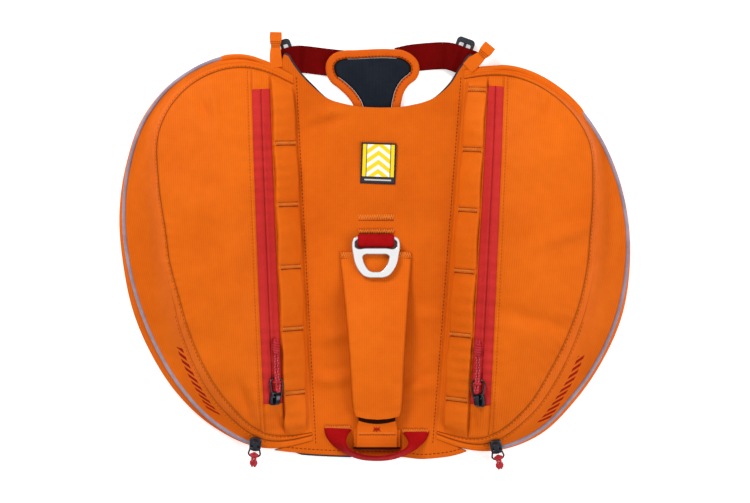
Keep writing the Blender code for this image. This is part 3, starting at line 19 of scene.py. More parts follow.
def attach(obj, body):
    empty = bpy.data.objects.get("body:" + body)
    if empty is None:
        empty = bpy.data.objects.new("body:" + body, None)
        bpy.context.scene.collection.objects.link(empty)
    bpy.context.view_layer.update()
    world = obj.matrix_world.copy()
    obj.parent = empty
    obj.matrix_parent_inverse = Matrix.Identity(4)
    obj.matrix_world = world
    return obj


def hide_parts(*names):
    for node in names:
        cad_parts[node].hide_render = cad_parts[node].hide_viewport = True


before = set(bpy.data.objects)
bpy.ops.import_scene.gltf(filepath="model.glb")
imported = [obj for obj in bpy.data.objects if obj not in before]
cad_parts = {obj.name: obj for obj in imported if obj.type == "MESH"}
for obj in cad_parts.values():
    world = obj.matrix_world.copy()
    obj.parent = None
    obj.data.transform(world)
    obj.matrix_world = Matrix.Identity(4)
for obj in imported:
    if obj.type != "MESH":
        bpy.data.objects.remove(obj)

# CENTRING shifts the pack to the middle. SEAM is half the gap between sewn pieces, GAP the gap between
# loose ones. SHOULDER_LIFT is the cloth's ride over the strap sliders, TOP_SHARE how much shows on top.
MM = 0.001
CENTRING = np.array([0.1, 0.6, 0.0])
CLOTH = 1.4
WEBBING = 1.4
STRAP_SIDES = 28
SEAM = 0.03
GAP = 0.3
PANEL_TOP = 7.7
LINING_TOP = 5.8
SHOULDER_LIFT = 5.7
TOP_SHARE = 0.4
GIRTH_Y = -98.0
BUCKLE_X = 26.0
LABEL_SIZE = (25.3, 29.6)
SLIDER_SPOTS = ((-63.4, 135.2), (60.8, 136.8))
UP = (0.0, 0.0, 1.0)
SIDES_ONLY = (False, False, True, True)
LOG = logging.getLogger("saddle_pack")

Grid = np.ndarray
Item = bpy.types.Object
Socket = bpy.types.NodeSocket
Parts = tuple[Grid, list[Grid]]
Made = tuple[Item, Grid]


class Slot(Enum):
    """The record's material slots."""

    ORANGE = "orange"
    RED = "red"
    DARK_RED = "dark_red"
    SLATE = "slate"
    BLACK = "black"
    SILVER = "silver"
    REFLECTIVE = "reflective"
    YELLOW = "yellow"


class Held(Enum):
    """How a sheet of cloth is held."""

    LAID = "laid"
    FOLDED = "folded"
    STRETCHED = "stretched"


class Bench:
    """A node tree with short ways to add and join nodes."""

    def __init__(self, tree: bpy.types.NodeTree) -> None:
        """Keeps the node tree to work in."""
        self.tree = tree

    def add(self, kind: str, **settings: object) -> bpy.types.Node:
        """Adds a node.

        Args:
            kind: the node's type without its ShaderNode prefix.
            settings: properties to set on it.

        Returns:
            The new node.
        """
        node = self.tree.nodes.new("ShaderNode" + kind)
        for key, value in settings.items():
            setattr(node, key, value)
        return node

    def join(self, source: object, target: Socket) -> None:
        """Feeds a socket from another socket or from a plain number or colour.

        Args:
            source: an output socket, or a value for the socket itself.
            target: the input socket.
        """
        if isinstance(source, Socket):
            self.tree.links.new(source, target)
        else:
            target.default_value = source

    def math(self, operation: str, *values: object, clamp: bool = False) -> Socket:
        """Adds a Math node.

        Args:
            operation: the Math node's operation.
            values: its inputs, sockets or numbers.
            clamp: whether the result is kept between 0 and 1.

        Returns:
            The node's output socket.
        """
        node = self.add("Math", operation=operation, use_clamp=clamp)
        for value, socket in zip(values, node.inputs):
            self.join(value, socket)
        return node.outputs[0]

    def mix(self, share: object, one: object, other: object) -> Socket:
        """Mixes two colours.

        Args:
            share: how much of the other colour there is.
            one: the first colour, a socket or three numbers.
            other: the second colour, a socket or three numbers.

        Returns:
            The mixed colour's socket.
        """
        node = self.add("Mix", data_type="RGBA")
        self.join(share, node.inputs["Factor"])
        for value, socket in ((one, node.inputs[6]), (other, node.inputs[7])):
            self.join(value if isinstance(value, Socket) else (*value, 1.0), socket)
        return node.outputs[2]

    def use(self, group: bpy.types.NodeTree, **values: object) -> bpy.types.Node:
        """Places a node group and sets its inputs.

        Args:
            group: the group's tree.
            values: what feeds each named input.

        Returns:
            The group node.
        """
        node = self.add("Group", node_tree=group)
        for key, value in values.items():
            self.join(value, node.inputs[key])
        return node


def new_group(name: str, inputs: dict[str, str], outputs: tuple[str, ...]) -> tuple[Bench, object, object]:
    """Starts a shader node group with named sockets.

    Args:
        name: the group's name.
        inputs: its inputs, each with the short name of its socket type.
        outputs: the names of its float outputs.

    Returns:
        The bench, the node that holds the inputs and the node that takes the outputs.
    """
    tree = bpy.data.node_groups.new(name, "ShaderNodeTree")
    for key, kind in inputs.items():
        tree.interface.new_socket(key, in_out="INPUT", socket_type="NodeSocket" + kind)
    for key in outputs:
        tree.interface.new_socket(key, in_out="OUTPUT", socket_type="NodeSocketFloat")
    bench = Bench(tree)
    start = tree.nodes.new("NodeGroupInput")
    end = tree.nodes.new("NodeGroupOutput")
    return bench, start, end


def woven_group() -> bpy.types.NodeTree:
    """Plain weave with a grid of thicker threads.

    Height is the product of one wave along each thread direction, raised where a grid line runs;
    Lines is that grid, each line a wave sharpened by a power.

    Returns:
        The node group.
    """
    inputs = {"Vector": "Vector", "Thread": "Float", "Grid": "Float"}
    bench, start, end = new_group("woven_cloth", inputs, ("Height", "Lines"))
    split = bench.add("SeparateXYZ")
    bench.join(start.outputs["Vector"], split.inputs[0])
    waves, lines = [], []
    for axis in range(2):
        turn = bench.math("MULTIPLY", split.outputs[axis], 2 * math.pi)
        waves.append(bench.math("SINE", bench.math("DIVIDE", turn, start.outputs["Thread"])))
        wave = bench.math("SINE", bench.math("DIVIDE", turn, start.outputs["Grid"]))
        sharp = bench.math("POWER", bench.math("MULTIPLY_ADD", wave, 0.5, 0.5), 7.0)
        lines.append(bench.math("MULTIPLY", sharp, (1.0, 0.35)[axis]))
    grid = bench.math("MAXIMUM", *lines)
    weave = bench.math("MULTIPLY_ADD", bench.math("MULTIPLY", *waves), 0.25, 0.5)
    bench.join(bench.math("MULTIPLY_ADD", grid, 0.5, weave), end.inputs["Height"])
    bench.join(grid, end.inputs["Lines"])
    return bench.tree


def ribbed_group() -> bpy.types.NodeTree:
    """Webbing: ribs across the strap and slanted threads between them.

    Height is a rib wave along the strap plus a slanted wave; Lines marks the valleys.

    Returns:
        The node group.
    """
    inputs = {"Vector": "Vector", "Thread": "Float", "Grid": "Float"}
    bench, start, end = new_group("ribbed_webbing", inputs, ("Height", "Lines"))
    split = bench.add("SeparateXYZ")
    bench.join(start.outputs["Vector"], split.inputs[0])
    along = bench.math("MULTIPLY", split.outputs[1], 2 * math.pi)
    across = bench.math("MULTIPLY", split.outputs[0], 2 * math.pi)
    rib = bench.math("SINE", bench.math("DIVIDE", along, start.outputs["Grid"]))
    slant = bench.math("ADD", bench.math("MULTIPLY", along, 0.5), across)
    twill = bench.math("SINE", bench.math("DIVIDE", slant, start.outputs["Thread"]))
    rib = bench.math("MULTIPLY_ADD", rib, 0.5, 0.5)
    bench.join(bench.math("MULTIPLY_ADD", twill, 0.3, rib), end.inputs["Height"])
    bench.join(bench.math("POWER", bench.math("SUBTRACT", 1.0, rib), 3.0), end.inputs["Lines"])
    return bench.tree


def tone_group() -> bpy.types.NodeTree:
    """Soft changes of tone: two noises, one of the named size and one a sixth as large.

    Returns:
        The node group.
    """
    bench, start, end = new_group("soft_tone", {"Vector": "Vector", "Size": "Float"}, ("Tone",))
    parts = []
    for share in (1.0, 6.0):
        noise = bench.add("TexNoise")
        bench.join(start.outputs["Vector"], noise.inputs["Vector"])
        bench.join(bench.math("DIVIDE", 1000.0 * share, start.outputs["Size"]), noise.inputs["Scale"])
        noise.inputs["Detail"].default_value = 2.0
        parts.append(noise.outputs["Fac"])
    broad = bench.math("MULTIPLY", parts[0], 0.7)
    bench.join(bench.math("MULTIPLY_ADD", parts[1], 0.3, broad, clamp=True), end.inputs["Tone"])
    return bench.tree


def seam_group() -> bpy.types.NodeTree:
    """The shade that gathers in a seam: the seam value to a power, broken up a little by the tone.

    Returns:
        The node group.
    """
    bench, start, end = new_group("seam_shade", {"Seam": "Float", "Tone": "Float"}, ("Shade",))
    depth = bench.math("POWER", start.outputs["Seam"], 1.6)
    broken = bench.math("MULTIPLY_ADD", start.outputs["Tone"], 0.7, 0.55)
    bench.join(bench.math("MULTIPLY", depth, broken, clamp=True), end.inputs["Shade"])
    return bench.tree


GROUPS = {
    "woven": woven_group(),
    "ribbed": ribbed_group(),
    "tone": tone_group(),
    "seam": seam_group(),
}
Colour = tuple[float, float, float]


def bare_material(name: str) -> tuple[bpy.types.Material, Bench, bpy.types.Node, Socket]:
    """Starts a material.

    Args:
        name: its name.

    Returns:
        The material, its bench, its shader and the socket of its object coordinates.
    """
    made = bpy.data.materials.new(name)
    made.use_nodes = True
    bench = Bench(made.node_tree)
    return made, bench, made.node_tree.nodes["Principled BSDF"], bench.add("TexCoord").outputs["Object"]


@dataclass(frozen=True)
class Cloth:
    """A woven finish: its colours, its threads and how it takes the light."""

    name: str
    slot: Slot
    colour: Colour
    deep: Colour
    weave: str = "woven"
    thread: float = 0.62
    grid: float = 1.6
    grid_share: float = 0.42
    relief: float = 0.10
    tone_size: float = 45.0
    tone_share: float = 0.8
    # seam_share and pit_share set how strong and how dark the painted shade is.
    seam_share: float = 0.80
    pit_share: float = 0.16
    rough: float = 0.62
    gloss: float = 0.07

    def pattern(self, bench: Bench, colour: object, place: object) -> object:
        """Lays a pattern over the colour, by cloth coordinates in millimetres; a plain cloth has none."""
        return colour

    def material(self) -> bpy.types.Material:
        """Builds the material.

        Returns:
            The material.
        """
        made, bench, shader, solid = bare_material(self.name)
        cloth = bench.add("UVMap", uv_map="cloth").outputs[0]
        seam = bench.add("Attribute", attribute_name="seam").outputs["Fac"]
        weave = bench.use(GROUPS[self.weave], Vector=cloth, Thread=self.thread, Grid=self.grid)
        tone = bench.use(GROUPS["tone"], Vector=solid, Size=self.tone_size).outputs[0]
        shade = bench.use(GROUPS["seam"], Seam=seam, Tone=tone).outputs[0]
        spread = bench.math("MULTIPLY_ADD", tone, 2.6, -0.8, clamp=True)
        colour = bench.mix(bench.math("MULTIPLY", spread, self.tone_share), self.colour, self.deep)
        colour = self.pattern(bench, colour, cloth)
        patchy = bench.math("MULTIPLY_ADD", tone, 1.5, 0.05, clamp=True)
        lines = bench.math("MULTIPLY", weave.outputs["Lines"], self.grid_share)
        lines = bench.math("MULTIPLY", lines, patchy)
        dark = tuple(0.55 * channel for channel in self.deep)
        # The seam attribute paints shade: at seams, in creases and in shadows the colour falls towards the dark pit
        # colour.
        pit = tuple(self.pit_share * channel for channel in self.deep)
        colour = bench.mix(lines, colour, dark)
        colour = bench.mix(bench.math("MULTIPLY", shade, self.seam_share), colour, pit)
        bench.join(colour, shader.inputs["Base Color"])
        rough = bench.math("MULTIPLY_ADD", tone, 0.16, self.rough - 0.08)
        bench.join(rough, shader.inputs["Roughness"])
        shader.inputs["Specular IOR Level"].default_value = self.gloss
        bump = bench.add("Bump")
        bump.inputs["Strength"].default_value = 0.6
        bump.inputs["Distance"].default_value = self.relief * MM
        bench.join(weave.outputs["Height"], bump.inputs["Height"])
        bench.join(bump.outputs[0], shader.inputs["Normal"])
        return made


@dataclass(frozen=True)
class Webbing(Cloth):
    """Ribbed webbing or tape."""

    weave: str = "ribbed"


@dataclass(frozen=True)
class Thread(Webbing):
    """Sewing thread."""

    thread: float = 0.3
    grid: float = 0.4
    grid_share: float = 0.3
    relief: float = 0.05
    tone_size: float = 6.0
    rough: float = 0.55


@dataclass(frozen=True)
class BarredCloth(Cloth):
    """Cloth with a short row of slanted dark bars, in its own coordinates."""

    start: float = 0.0
    end: float = 60.0
    low: float = 5.2
    high: float = 11.2
    pitch: float = 6.2

    def pattern(self, bench: Bench, colour: object, place: object) -> object:
        """Lays the bars: on where a slanted ramp's fraction is below a share, inside a band.

        Args:
            bench: the material's nodes.
            colour: the colour's socket.
            place: the cloth coordinates' socket, in millimetres.

        Returns:
            The colour's socket.
        """
        split = bench.add("SeparateXYZ")
        bench.join(place, split.inputs[0])
        across, along = split.outputs[0], split.outputs[1]
        ramp = bench.math("MULTIPLY_ADD", across, 0.55, along)
        step = bench.math("FRACT", bench.math("DIVIDE", ramp, self.pitch))
        mask = bench.math("LESS_THAN", step, 0.56)
        for value, low, high in ((along, self.start, self.end), (across, self.low, self.high)):
            mask = bench.math("MULTIPLY", mask, bench.math("GREATER_THAN", value, low))
            mask = bench.math("MULTIPLY", mask, bench.math("LESS_THAN", value, high))
        return bench.mix(mask, colour, (0.34, 0.002, 0.002))


@dataclass(frozen=True)
class PatchCloth(Cloth):
    """A woven patch: a dark border round a field with a stack of plain chevrons."""

    half_width: float = LABEL_SIZE[0] / 2
    half_height: float = LABEL_SIZE[1] / 2
    chevron_half: float = 8.6
    border: float = 1.3
    foot: float = 5.2

    def pattern(self, bench: Bench, colour: object, place: object) -> object:
        """Lays pale chevrons, then the dark border and foot, on the yellow field.

        Args:
            bench: the material's nodes.
            colour: the colour's socket.
            place: the cloth coordinates' socket, in millimetres from the patch's middle.

        Returns:
            The colour's socket.
        """
        split = bench.add("SeparateXYZ")
        bench.join(place, split.inputs[0])
        side = bench.math("ABSOLUTE", split.outputs[0])
        height = split.outputs[1]
        ramp = bench.math("MULTIPLY_ADD", side, 0.75, height)
        step = bench.math("FRACT", bench.math("DIVIDE", bench.math("ADD", ramp, 30.3), 6.6))
        pale = bench.math("LESS_THAN", step, 0.46)
        pale = bench.math("MULTIPLY", pale, bench.math("LESS_THAN", side, self.chevron_half))
        rim = bench.math("LESS_THAN", bench.math("ABSOLUTE", bench.math("SUBTRACT", side, self.chevron_half)), 0.28)
        colour = bench.mix(pale, colour, (0.96, 0.96, 0.94))
        colour = bench.mix(rim, colour, (0.05, 0.045, 0.05))
        edge = bench.math("GREATER_THAN", side, self.half_width - self.border)
        top = bench.math("GREATER_THAN", height, self.half_height - self.border)
        foot = bench.math("LESS_THAN", height, self.foot - self.half_height)
        dark = bench.math("MAXIMUM", bench.math("MAXIMUM", edge, top), foot)
        colour = bench.mix(dark, colour, (0.030, 0.028, 0.040))
        stripe = bench.math("SUBTRACT", height, 0.5 * self.foot - self.half_height + 0.2)
        stripe = bench.math("LESS_THAN", bench.math("ABSOLUTE", stripe), 0.5)
        stripe = bench.math("MULTIPLY", stripe, bench.math("LESS_THAN", side, 9.6))
        return bench.mix(stripe, colour, (0.62, 0.62, 0.60))


@dataclass(frozen=True)
class Hard:
    """A metal or plastic finish with fine scuffs, and painted shade where its seam attribute is set."""

    name: str
    slot: Slot
    colour: Colour
    scuff: Colour
    metal: float
    rough: float
    coat: float = 0.0
    scuff_share: float = 0.35

    def material(self) -> bpy.types.Material:
        """Builds the material.

        Returns:
            The material.
        """
        made, bench, shader, solid = bare_material(self.name)
        tone = bench.use(GROUPS["tone"], Vector=solid, Size=9.0).outputs[0]
        fine = bench.use(GROUPS["tone"], Vector=solid, Size=1.6).outputs[0]
        worn = bench.math("MULTIPLY_ADD", fine, 3.0, -1.3, clamp=True)
        share = bench.math("MULTIPLY", worn, self.scuff_share)
        # The seam attribute paints shade: where it is set the colour turns near black.
        seam = bench.add("Attribute", attribute_name="seam").outputs["Fac"]
        colour = bench.mix(seam, bench.mix(share, self.colour, self.scuff), (0.035, 0.037, 0.045))
        bench.join(colour, shader.inputs["Base Color"])
        rough = bench.math("MULTIPLY_ADD", tone, 0.2, self.rough - 0.08)
        bench.join(rough, shader.inputs["Roughness"])
        shader.inputs["Metallic"].default_value = self.metal
        shader.inputs["Coat Weight"].default_value = self.coat
        bump = bench.add("Bump")
        bump.inputs["Strength"].default_value = 0.25
        bump.inputs["Distance"].default_value = 0.05 * MM
        bench.join(fine, bump.inputs["Height"])
        bench.join(bump.outputs[0], shader.inputs["Normal"])
        return made


Finish = Cloth | Hard

# Each finish: its slot, its colour and a deeper tone of it, then what differs from its plain kind.
SHELL = Cloth("shell_cloth", Slot.ORANGE, (0.84, 0.158, 0.006), (0.72, 0.118, 0.003))
PANEL_CLOTH = Cloth("panel_cloth", Slot.ORANGE, (0.775, 0.140, 0.004), (0.65, 0.102, 0.002))
SHELL_BARS_LEFT = BarredCloth(
    "shell_barred_left", Slot.ORANGE, SHELL.colour, SHELL.deep, start=288.0, end=347.0
)
SHELL_BARS_RIGHT = BarredCloth(
    "shell_barred_right", Slot.ORANGE, SHELL.colour, SHELL.deep, start=276.0, end=338.0,
    low=9.8, high=15.8
)
TRIM = Webbing(
    "trim_webbing", Slot.ORANGE, (0.88, 0.168, 0.007), (0.76, 0.128, 0.004),
    thread=1.1, grid=0.9, grid_share=0.22, relief=0.16, seam_share=0.6,
)
BINDING = Webbing(
    "binding_tape", Slot.ORANGE, (0.78, 0.128, 0.005), (0.62, 0.085, 0.002),
    thread=0.7, grid=0.7, grid_share=0.15, relief=0.12,
)
# The tab webbing is the trim webbing with a stronger and darker seam shade, to paint the shadow in the handle
# sleeve's mouth and under the rear loop.
TAB_WEB = Webbing(
    "tab_webbing", Slot.ORANGE, TRIM.colour, TRIM.deep,
    thread=1.1, grid=0.9, grid_share=0.22, relief=0.16, seam_share=1.3, pit_share=0.03,
)
THREAD = Thread("orange_thread", Slot.ORANGE, (0.60, 0.115, 0.008), (0.42, 0.060, 0.003), rough=0.5)
EDGE_THREAD = Thread("edge_thread", Slot.ORANGE, (0.74, 0.140, 0.008), (0.58, 0.090, 0.004), rough=0.5)
# The bartack thread is orange like the sewing thread, painted lighter: a painted highlight on the raised stitching.
BRIGHT_THREAD = Thread(
    "bright_thread", Slot.ORANGE, (0.92, 0.300, 0.050), (0.78, 0.180, 0.018), tone_size=4.0, rough=0.45
)
DARK_THREAD = Thread("dark_thread", Slot.DARK_RED, (0.30, 0.030, 0.006), (0.16, 0.012, 0.003))
RED_THREAD = Thread("red_thread", Slot.RED, (0.50, 0.010, 0.006), (0.34, 0.006, 0.004))
TAPE = Webbing(
    "zip_tape", Slot.RED, (0.66, 0.034, 0.030), (0.56, 0.024, 0.022),
    thread=0.8, grid=0.8, grid_share=0.22, relief=0.14, tone_size=30.0, seam_share=0.85, rough=0.55,
)
RED_WEB = Webbing(
    "red_webbing", Slot.RED, (0.47, 0.007, 0.009), (0.33, 0.004, 0.005),
    thread=1.0, grid=0.95, grid_share=0.3, relief=0.18, tone_size=20.0, rough=0.7, gloss=0.02,
)
CHEST_WEB = Webbing(
    "chest_webbing", Slot.DARK_RED, (0.170, 0.001, 0.0008), (0.105, 0.0005, 0.0005),
    thread=1.0, grid=1.0, grid_share=0.3, relief=0.18, tone_size=24.0, rough=0.75, gloss=0.04,
)
PAD_CLOTH = Cloth(
    "pad_cloth", Slot.SLATE, (0.013, 0.018, 0.027), (0.008, 0.011, 0.018),
    thread=0.9, grid=2.4, grid_share=0.25, relief=0.14, tone_size=18.0, rough=0.8, gloss=0.08,
)
LINING_CLOTH = Cloth(
    "lining_mesh", Slot.SLATE, (0.060, 0.052, 0.068), (0.034, 0.030, 0.042),
    thread=1.3, grid=1.3, grid_share=0.45, relief=0.3, tone_size=18.0, rough=0.82, gloss=0.08,
)
PIPING_CLOTH = Webbing(
    "reflective_cord", Slot.REFLECTIVE, (0.40, 0.37, 0.46), (0.25, 0.20, 0.26),
    thread=0.9, grid=0.9, grid_share=0.35, relief=0.12, tone_size=22.0, tone_share=0.9, rough=0.38,
)
PATCH = PatchCloth(
    "patch_cloth", Slot.YELLOW, (1.0, 0.75, 0.02), (0.95, 0.68, 0.016),
    thread=0.5, grid=0.6, grid_share=0.10, relief=0.08, tone_size=12.0, seam_share=0.3, rough=0.55,
)
PULL_BRAID = Cloth(
    "pull_braid", Slot.RED, (0.60, 0.045, 0.060), (0.42, 0.015, 0.022),
    thread=1.1, grid=1.15, grid_share=0.35, relief=0.22, tone_size=5.0, rough=0.5,
)
FLECK = Webbing(
    "pull_fleck", Slot.RED, (0.74, 0.36, 0.36), (0.58, 0.20, 0.20),
    thread=0.5, grid=0.5, relief=0.08, tone_size=5.0, rough=0.5,
)
ENAMEL = Hard("black_enamel", Slot.BLACK, (0.010, 0.013, 0.022), (0.03, 0.035, 0.05), 0.35, 0.16, 0.3)
PLASTIC = Hard("black_plastic", Slot.BLACK, (0.010, 0.014, 0.022), (0.022, 0.028, 0.038), 0.0, 0.42, 0.05)
ALLOY = Hard("ring_alloy", Slot.SILVER, (0.98, 0.98, 0.99), (0.86, 0.87, 0.90), 0.45, 0.24, 0.2, 0.3)


def ease(x: Grid) -> Grid:
    """0 below 0, 1 above 1, and a smooth rise between: three squares less two cubes."""
    x = np.clip(x, 0.0, 1.0)
    return x * x * (3 - 2 * x)


def bell(distance: Grid, width: float) -> Grid:
    """1 at no distance, falling as e to the minus square of the distance over the width."""
    return np.exp(-((distance / width) ** 2))


def smooth_values(knots: Grid, values: Grid, at: Grid) -> Grid:
    """Reads a smooth curve through knots: cubic Hermite pieces with central slopes.

    Args:
        knots: rising places.
        values: the curve's values there.
        at: the places to read.

    Returns:
        The values at those places.
    """
    knots, values = np.asarray(knots, float), np.asarray(values, float)
    slopes = np.gradient(values, knots)
    place = np.clip(np.searchsorted(knots, at, side="right") - 1, 0, len(knots) - 2)
    span = knots[place + 1] - knots[place]
    s = np.clip((np.asarray(at, float) - knots[place]) / span, 0.0, 1.0)
    return (
        values[place] * (2 * s**3 - 3 * s**2 + 1)
        + slopes[place] * span * (s**3 - 2 * s**2 + s)
        + values[place + 1] * (3 * s**2 - 2 * s**3)
        + slopes[place + 1] * span * (s**3 - s**2)
    )


def run_along(points: Grid) -> Grid:
    """The distance run at each point of a line: the sum of its steps so far."""
    return np.concatenate([[0.0], np.cumsum(np.linalg.norm(np.diff(points, axis=0), axis=1))])


def evenly(points: Grid, count: int) -> Grid:
    """Places evenly spaced along a line of points, by interpolation on its arc length.

    Args:
        points: the line, a row for each point.
        count: how many places.

    Returns:
        The places, one row each.
    """
    run = run_along(points)
    want = np.linspace(0.0, run[-1], count)
    return np.stack([np.interp(want, run, column) for column in points.T], axis=1)


def smooth_line(points: object, count: int) -> Grid:
    """A smooth curve through points, as places evenly spaced along it.

    Args:
        points: a row for each point, of any dimension.
        count: how many places.

    Returns:
        The places, one row each.
    """
    points = np.asarray(points, float)
    knots = run_along(points)
    fine = np.linspace(0.0, knots[-1], 40 * len(points))
    return evenly(np.stack([smooth_values(knots, column, fine) for column in points.T], axis=1), count)


def unit(vectors: Grid) -> Grid:
    """Vectors divided by their lengths, along the last axis."""
    return vectors / np.maximum(np.linalg.norm(vectors, axis=-1, keepdims=True), 1e-9)


def across_line(line: Grid) -> Grid:
    """Unit directions to the left of a plan line: its run turned a quarter."""
    run = unit(np.gradient(np.asarray(line, float)[:, :2], axis=0))
    return np.stack([-run[:, 1], run[:, 0]], axis=1)


def squared(wave: Grid, power: float) -> Grid:
    """A wave whose size is raised to a power, its sign kept: small powers square it off."""
    return np.sign(wave) * np.abs(wave) ** power


def packed(count: int, share: float = 0.75) -> Grid:
    """Shares from 0 to 1 that crowd at both ends: even steps mixed with a share of half a cosine wave."""
    even = np.linspace(0.0, 1.0, count)
    return (1 - share) * even + share * (0.5 - 0.5 * np.cos(math.pi * even))


def shoulder_lift(x: Grid, y: Grid) -> Grid:
    """How far the cloth rides up over the chest strap sliders: an eased fall from each.

    Args:
        x: plan places across the pack.
        y: plan places along the pack.

    Returns:
        The lift at each place.
    """
    lift = np.zeros_like(np.asarray(x, float))
    for centre_x, centre_y in SLIDER_SPOTS:
        away = np.hypot(x - centre_x, y - centre_y)
        lift = np.maximum(lift, SHOULDER_LIFT * ease(1 - (away - 15.0) / 28.0))
    return lift


def folds(table: tuple, x: Grid, y: Grid) -> Grid:
    """The sum of soft ridges and troughs, each a bell along and across its own direction.

    Args:
        table: rows of x, y, turn, length, width and height.
        x: plan places.
        y: plan places.

    Returns:
        The height added at each place.
    """
    height = np.zeros_like(np.asarray(x, float))
    for fold_x, fold_y, turn, length, width, rise in table:
        angle = math.radians(turn)
        along = (x - fold_x) * math.sin(angle) + (y - fold_y) * math.cos(angle)
        across = (x - fold_x) * math.cos(angle) - (y - fold_y) * math.sin(angle)
        height += rise * np.exp(-((along / length) ** 2) - (across / width) ** 2)
    return height


def rumples(x: Grid, y: Grid, seed: float) -> Grid:
    """Faint wandering rumples: products of slow waves in three directions.

    Args:
        x: plan places.
        y: plan places.
        seed: shifts the waves, so that panels differ.

    Returns:
        A height between about -1 and 1.
    """
    height = np.zeros_like(np.asarray(x, float))
    for turn, length, share in ((0.4, 41.0, 0.45), (1.7, 27.0, 0.32), (2.6, 63.0, 0.5)):
        along = x * math.cos(turn) + y * math.sin(turn)
        across = y * math.cos(turn) - x * math.sin(turn)
        wave = np.sin(2 * math.pi * along / length + seed + 1.3 * np.sin(across / 19.0 + seed))
        height += share * wave * np.cos(2 * math.pi * across / (2.3 * length) + 1.7 * seed)
    return height


def puckers(run: Grid, away: Grid, seed: float) -> Grid:
    """Small gathers square to a seam: a wave that wanders along its run and fades away from it."""
    wave = np.sin(2 * math.pi * run / 8.3 + 1.6 * np.sin(run / 17.0 + seed) + seed)
    return wave * (0.6 + 0.4 * np.sin(run / 31.0 + 2 * seed)) * np.exp(-np.abs(away) / 6.5)


def quads(index: Grid) -> Grid:
    """The faces of a grid of point numbers, four corners a row."""
    return np.stack([index[:-1, :-1], index[1:, :-1], index[1:, 1:], index[:-1, 1:]], axis=-1).reshape(-1, 4)


def signed_volume(points: Grid, faces: list[Grid]) -> float:
    """Six times the volume inside closed faces: the sum over fans of triangles of triple products.

    Args:
        points: the points.
        faces: arrays of faces, each with its own number of corners.

    Returns:
        The signed sum, above 0 where the faces point outwards.
    """
    total = 0.0
    for group in faces:
        first = points[group[:, 0]]
        for k in range(1, group.shape[1] - 1):
            crossed = np.cross(points[group[:, k]], points[group[:, k + 1]])
            total += float((first * crossed).sum())
    return total


def facing_out(parts: Parts) -> Parts:
    """Turns closed faces round if they point inwards.

    Args:
        parts: points and faces.

    Returns:
        The points, and faces that point outwards.
    """
    points, faces = parts
    faces = [np.asarray(group, int).reshape(len(group), -1) for group in faces if len(group)]
    if signed_volume(points, faces) < 0:
        faces = [group[:, ::-1] for group in faces]
    return points, faces


def joined(pieces: list[Parts]) -> Parts:
    """Several closed shapes as one.

    Args:
        pieces: points and faces of each.

    Returns:
        All points and faces, numbered afresh.
    """
    points, faces, start = [], [], 0
    for some_points, some_faces in (facing_out(piece) for piece in pieces):
        points.append(some_points)
        faces += [group + start for group in some_faces]
        start += len(some_points)
    return np.concatenate(points), faces


def slab(outer: Grid, inner: Grid) -> Parts:
    """A closed wall between two grids of the same size.

    Args:
        outer: points of the outside, rows by columns.
        inner: points of the inside.

    Returns:
        The wall's points and faces.
    """
    rows, columns = outer.shape[:2]
    top = np.arange(rows * columns).reshape(rows, columns)
    under = top + rows * columns
    faces = [quads(top), quads(under[:, ::-1])]
    edges = (
        (top[0, ::-1], under[0, ::-1]), (top[-1], under[-1]),
        (top[:, 0], under[:, 0]), (top[::-1, -1], under[::-1, -1]),
    )
    faces += [quads(np.stack(edge)) for edge in edges]
    return np.concatenate([outer.reshape(-1, 3), inner.reshape(-1, 3)]), faces


def loft(rings: Grid, closed: bool = False) -> Parts:
    """A solid through rings of points, capped at its ends unless it closes on itself.

    Args:
        rings: points, rings by sides.
        closed: whether the last ring joins the first.

    Returns:
        The points and faces.
    """
    count, sides = rings.shape[:2]
    index = np.arange(count * sides).reshape(count, sides)
    index = np.concatenate([index, index[:, :1]], axis=1)
    if closed:
        index = np.concatenate([index, index[:1]], axis=0)
        return rings.reshape(-1, 3), [quads(index)]
    caps = [index[0, None, :-1], index[-1, None, -2::-1]]
    return rings.reshape(-1, 3), [quads(index), *caps]


def path_frames(path: Grid, up: object, closed: bool = False) -> tuple[Grid, Grid]:
    """The sideways and upward unit directions along a path.

    Args:
        path: the path's points.
        up: a direction, or one for each point, that the section keeps to.
        closed: whether the path closes on itself.

    Returns:
        The side and the up direction at each point.
    """
    run = (np.roll(path, -1, 0) - np.roll(path, 1, 0)) if closed else np.gradient(path, axis=0)
    side = unit(np.cross(unit(run), up))
    return side, unit(np.cross(side, run))


def tunnel(outer: Grid, inner: Grid) -> Parts:
    """A wall between two skins that run round an opening, joined at both of its ends.

    Args:
        outer: points of the outside, rings by sides.
        inner: points of the inside, as many.

    Returns:
        The points and faces.
    """
    index = np.arange(2 * outer.shape[0] * outer.shape[1]).reshape(2, *outer.shape[:2])
    index = np.concatenate([index, index[..., :1]], axis=-1)
    faces = [quads(index[0]), quads(index[1, ::-1]), quads(index[[0, 1], -1]), quads(index[[1, 0], 0])]
    return np.concatenate([outer.reshape(-1, 3), inner.reshape(-1, 3)]), faces


def tube(path: Grid, radius: object, sides: int, up: object = UP, closed: bool = False) -> Parts:
    """A round tube: a circle carried along a path.

    Args:
        path: the path's points.
        radius: the radius, or one for each point.
        sides: the points of the circle.
        up: the direction that the section keeps to.
        closed: whether the path closes on itself.

    Returns:
        The points and faces.
    """
    side, lift = path_frames(path, up, closed)
    turn = np.arange(sides) * 2 * math.pi / sides
    radius = np.broadcast_to(radius, len(path))[:, None, None]
    ring = side[:, None] * np.cos(turn)[:, None] + lift[:, None] * np.sin(turn)[:, None]
    return loft(path[:, None] + ring * radius, closed)


def strap_section() -> Grid:
    """A rounded flat section: cosine and sine, each to a small power that squares the corners."""
    turn = (np.arange(STRAP_SIDES) + 0.5) * 2 * math.pi / STRAP_SIDES
    return squared(np.stack([np.cos(turn), np.sin(turn)], axis=1), 0.22)


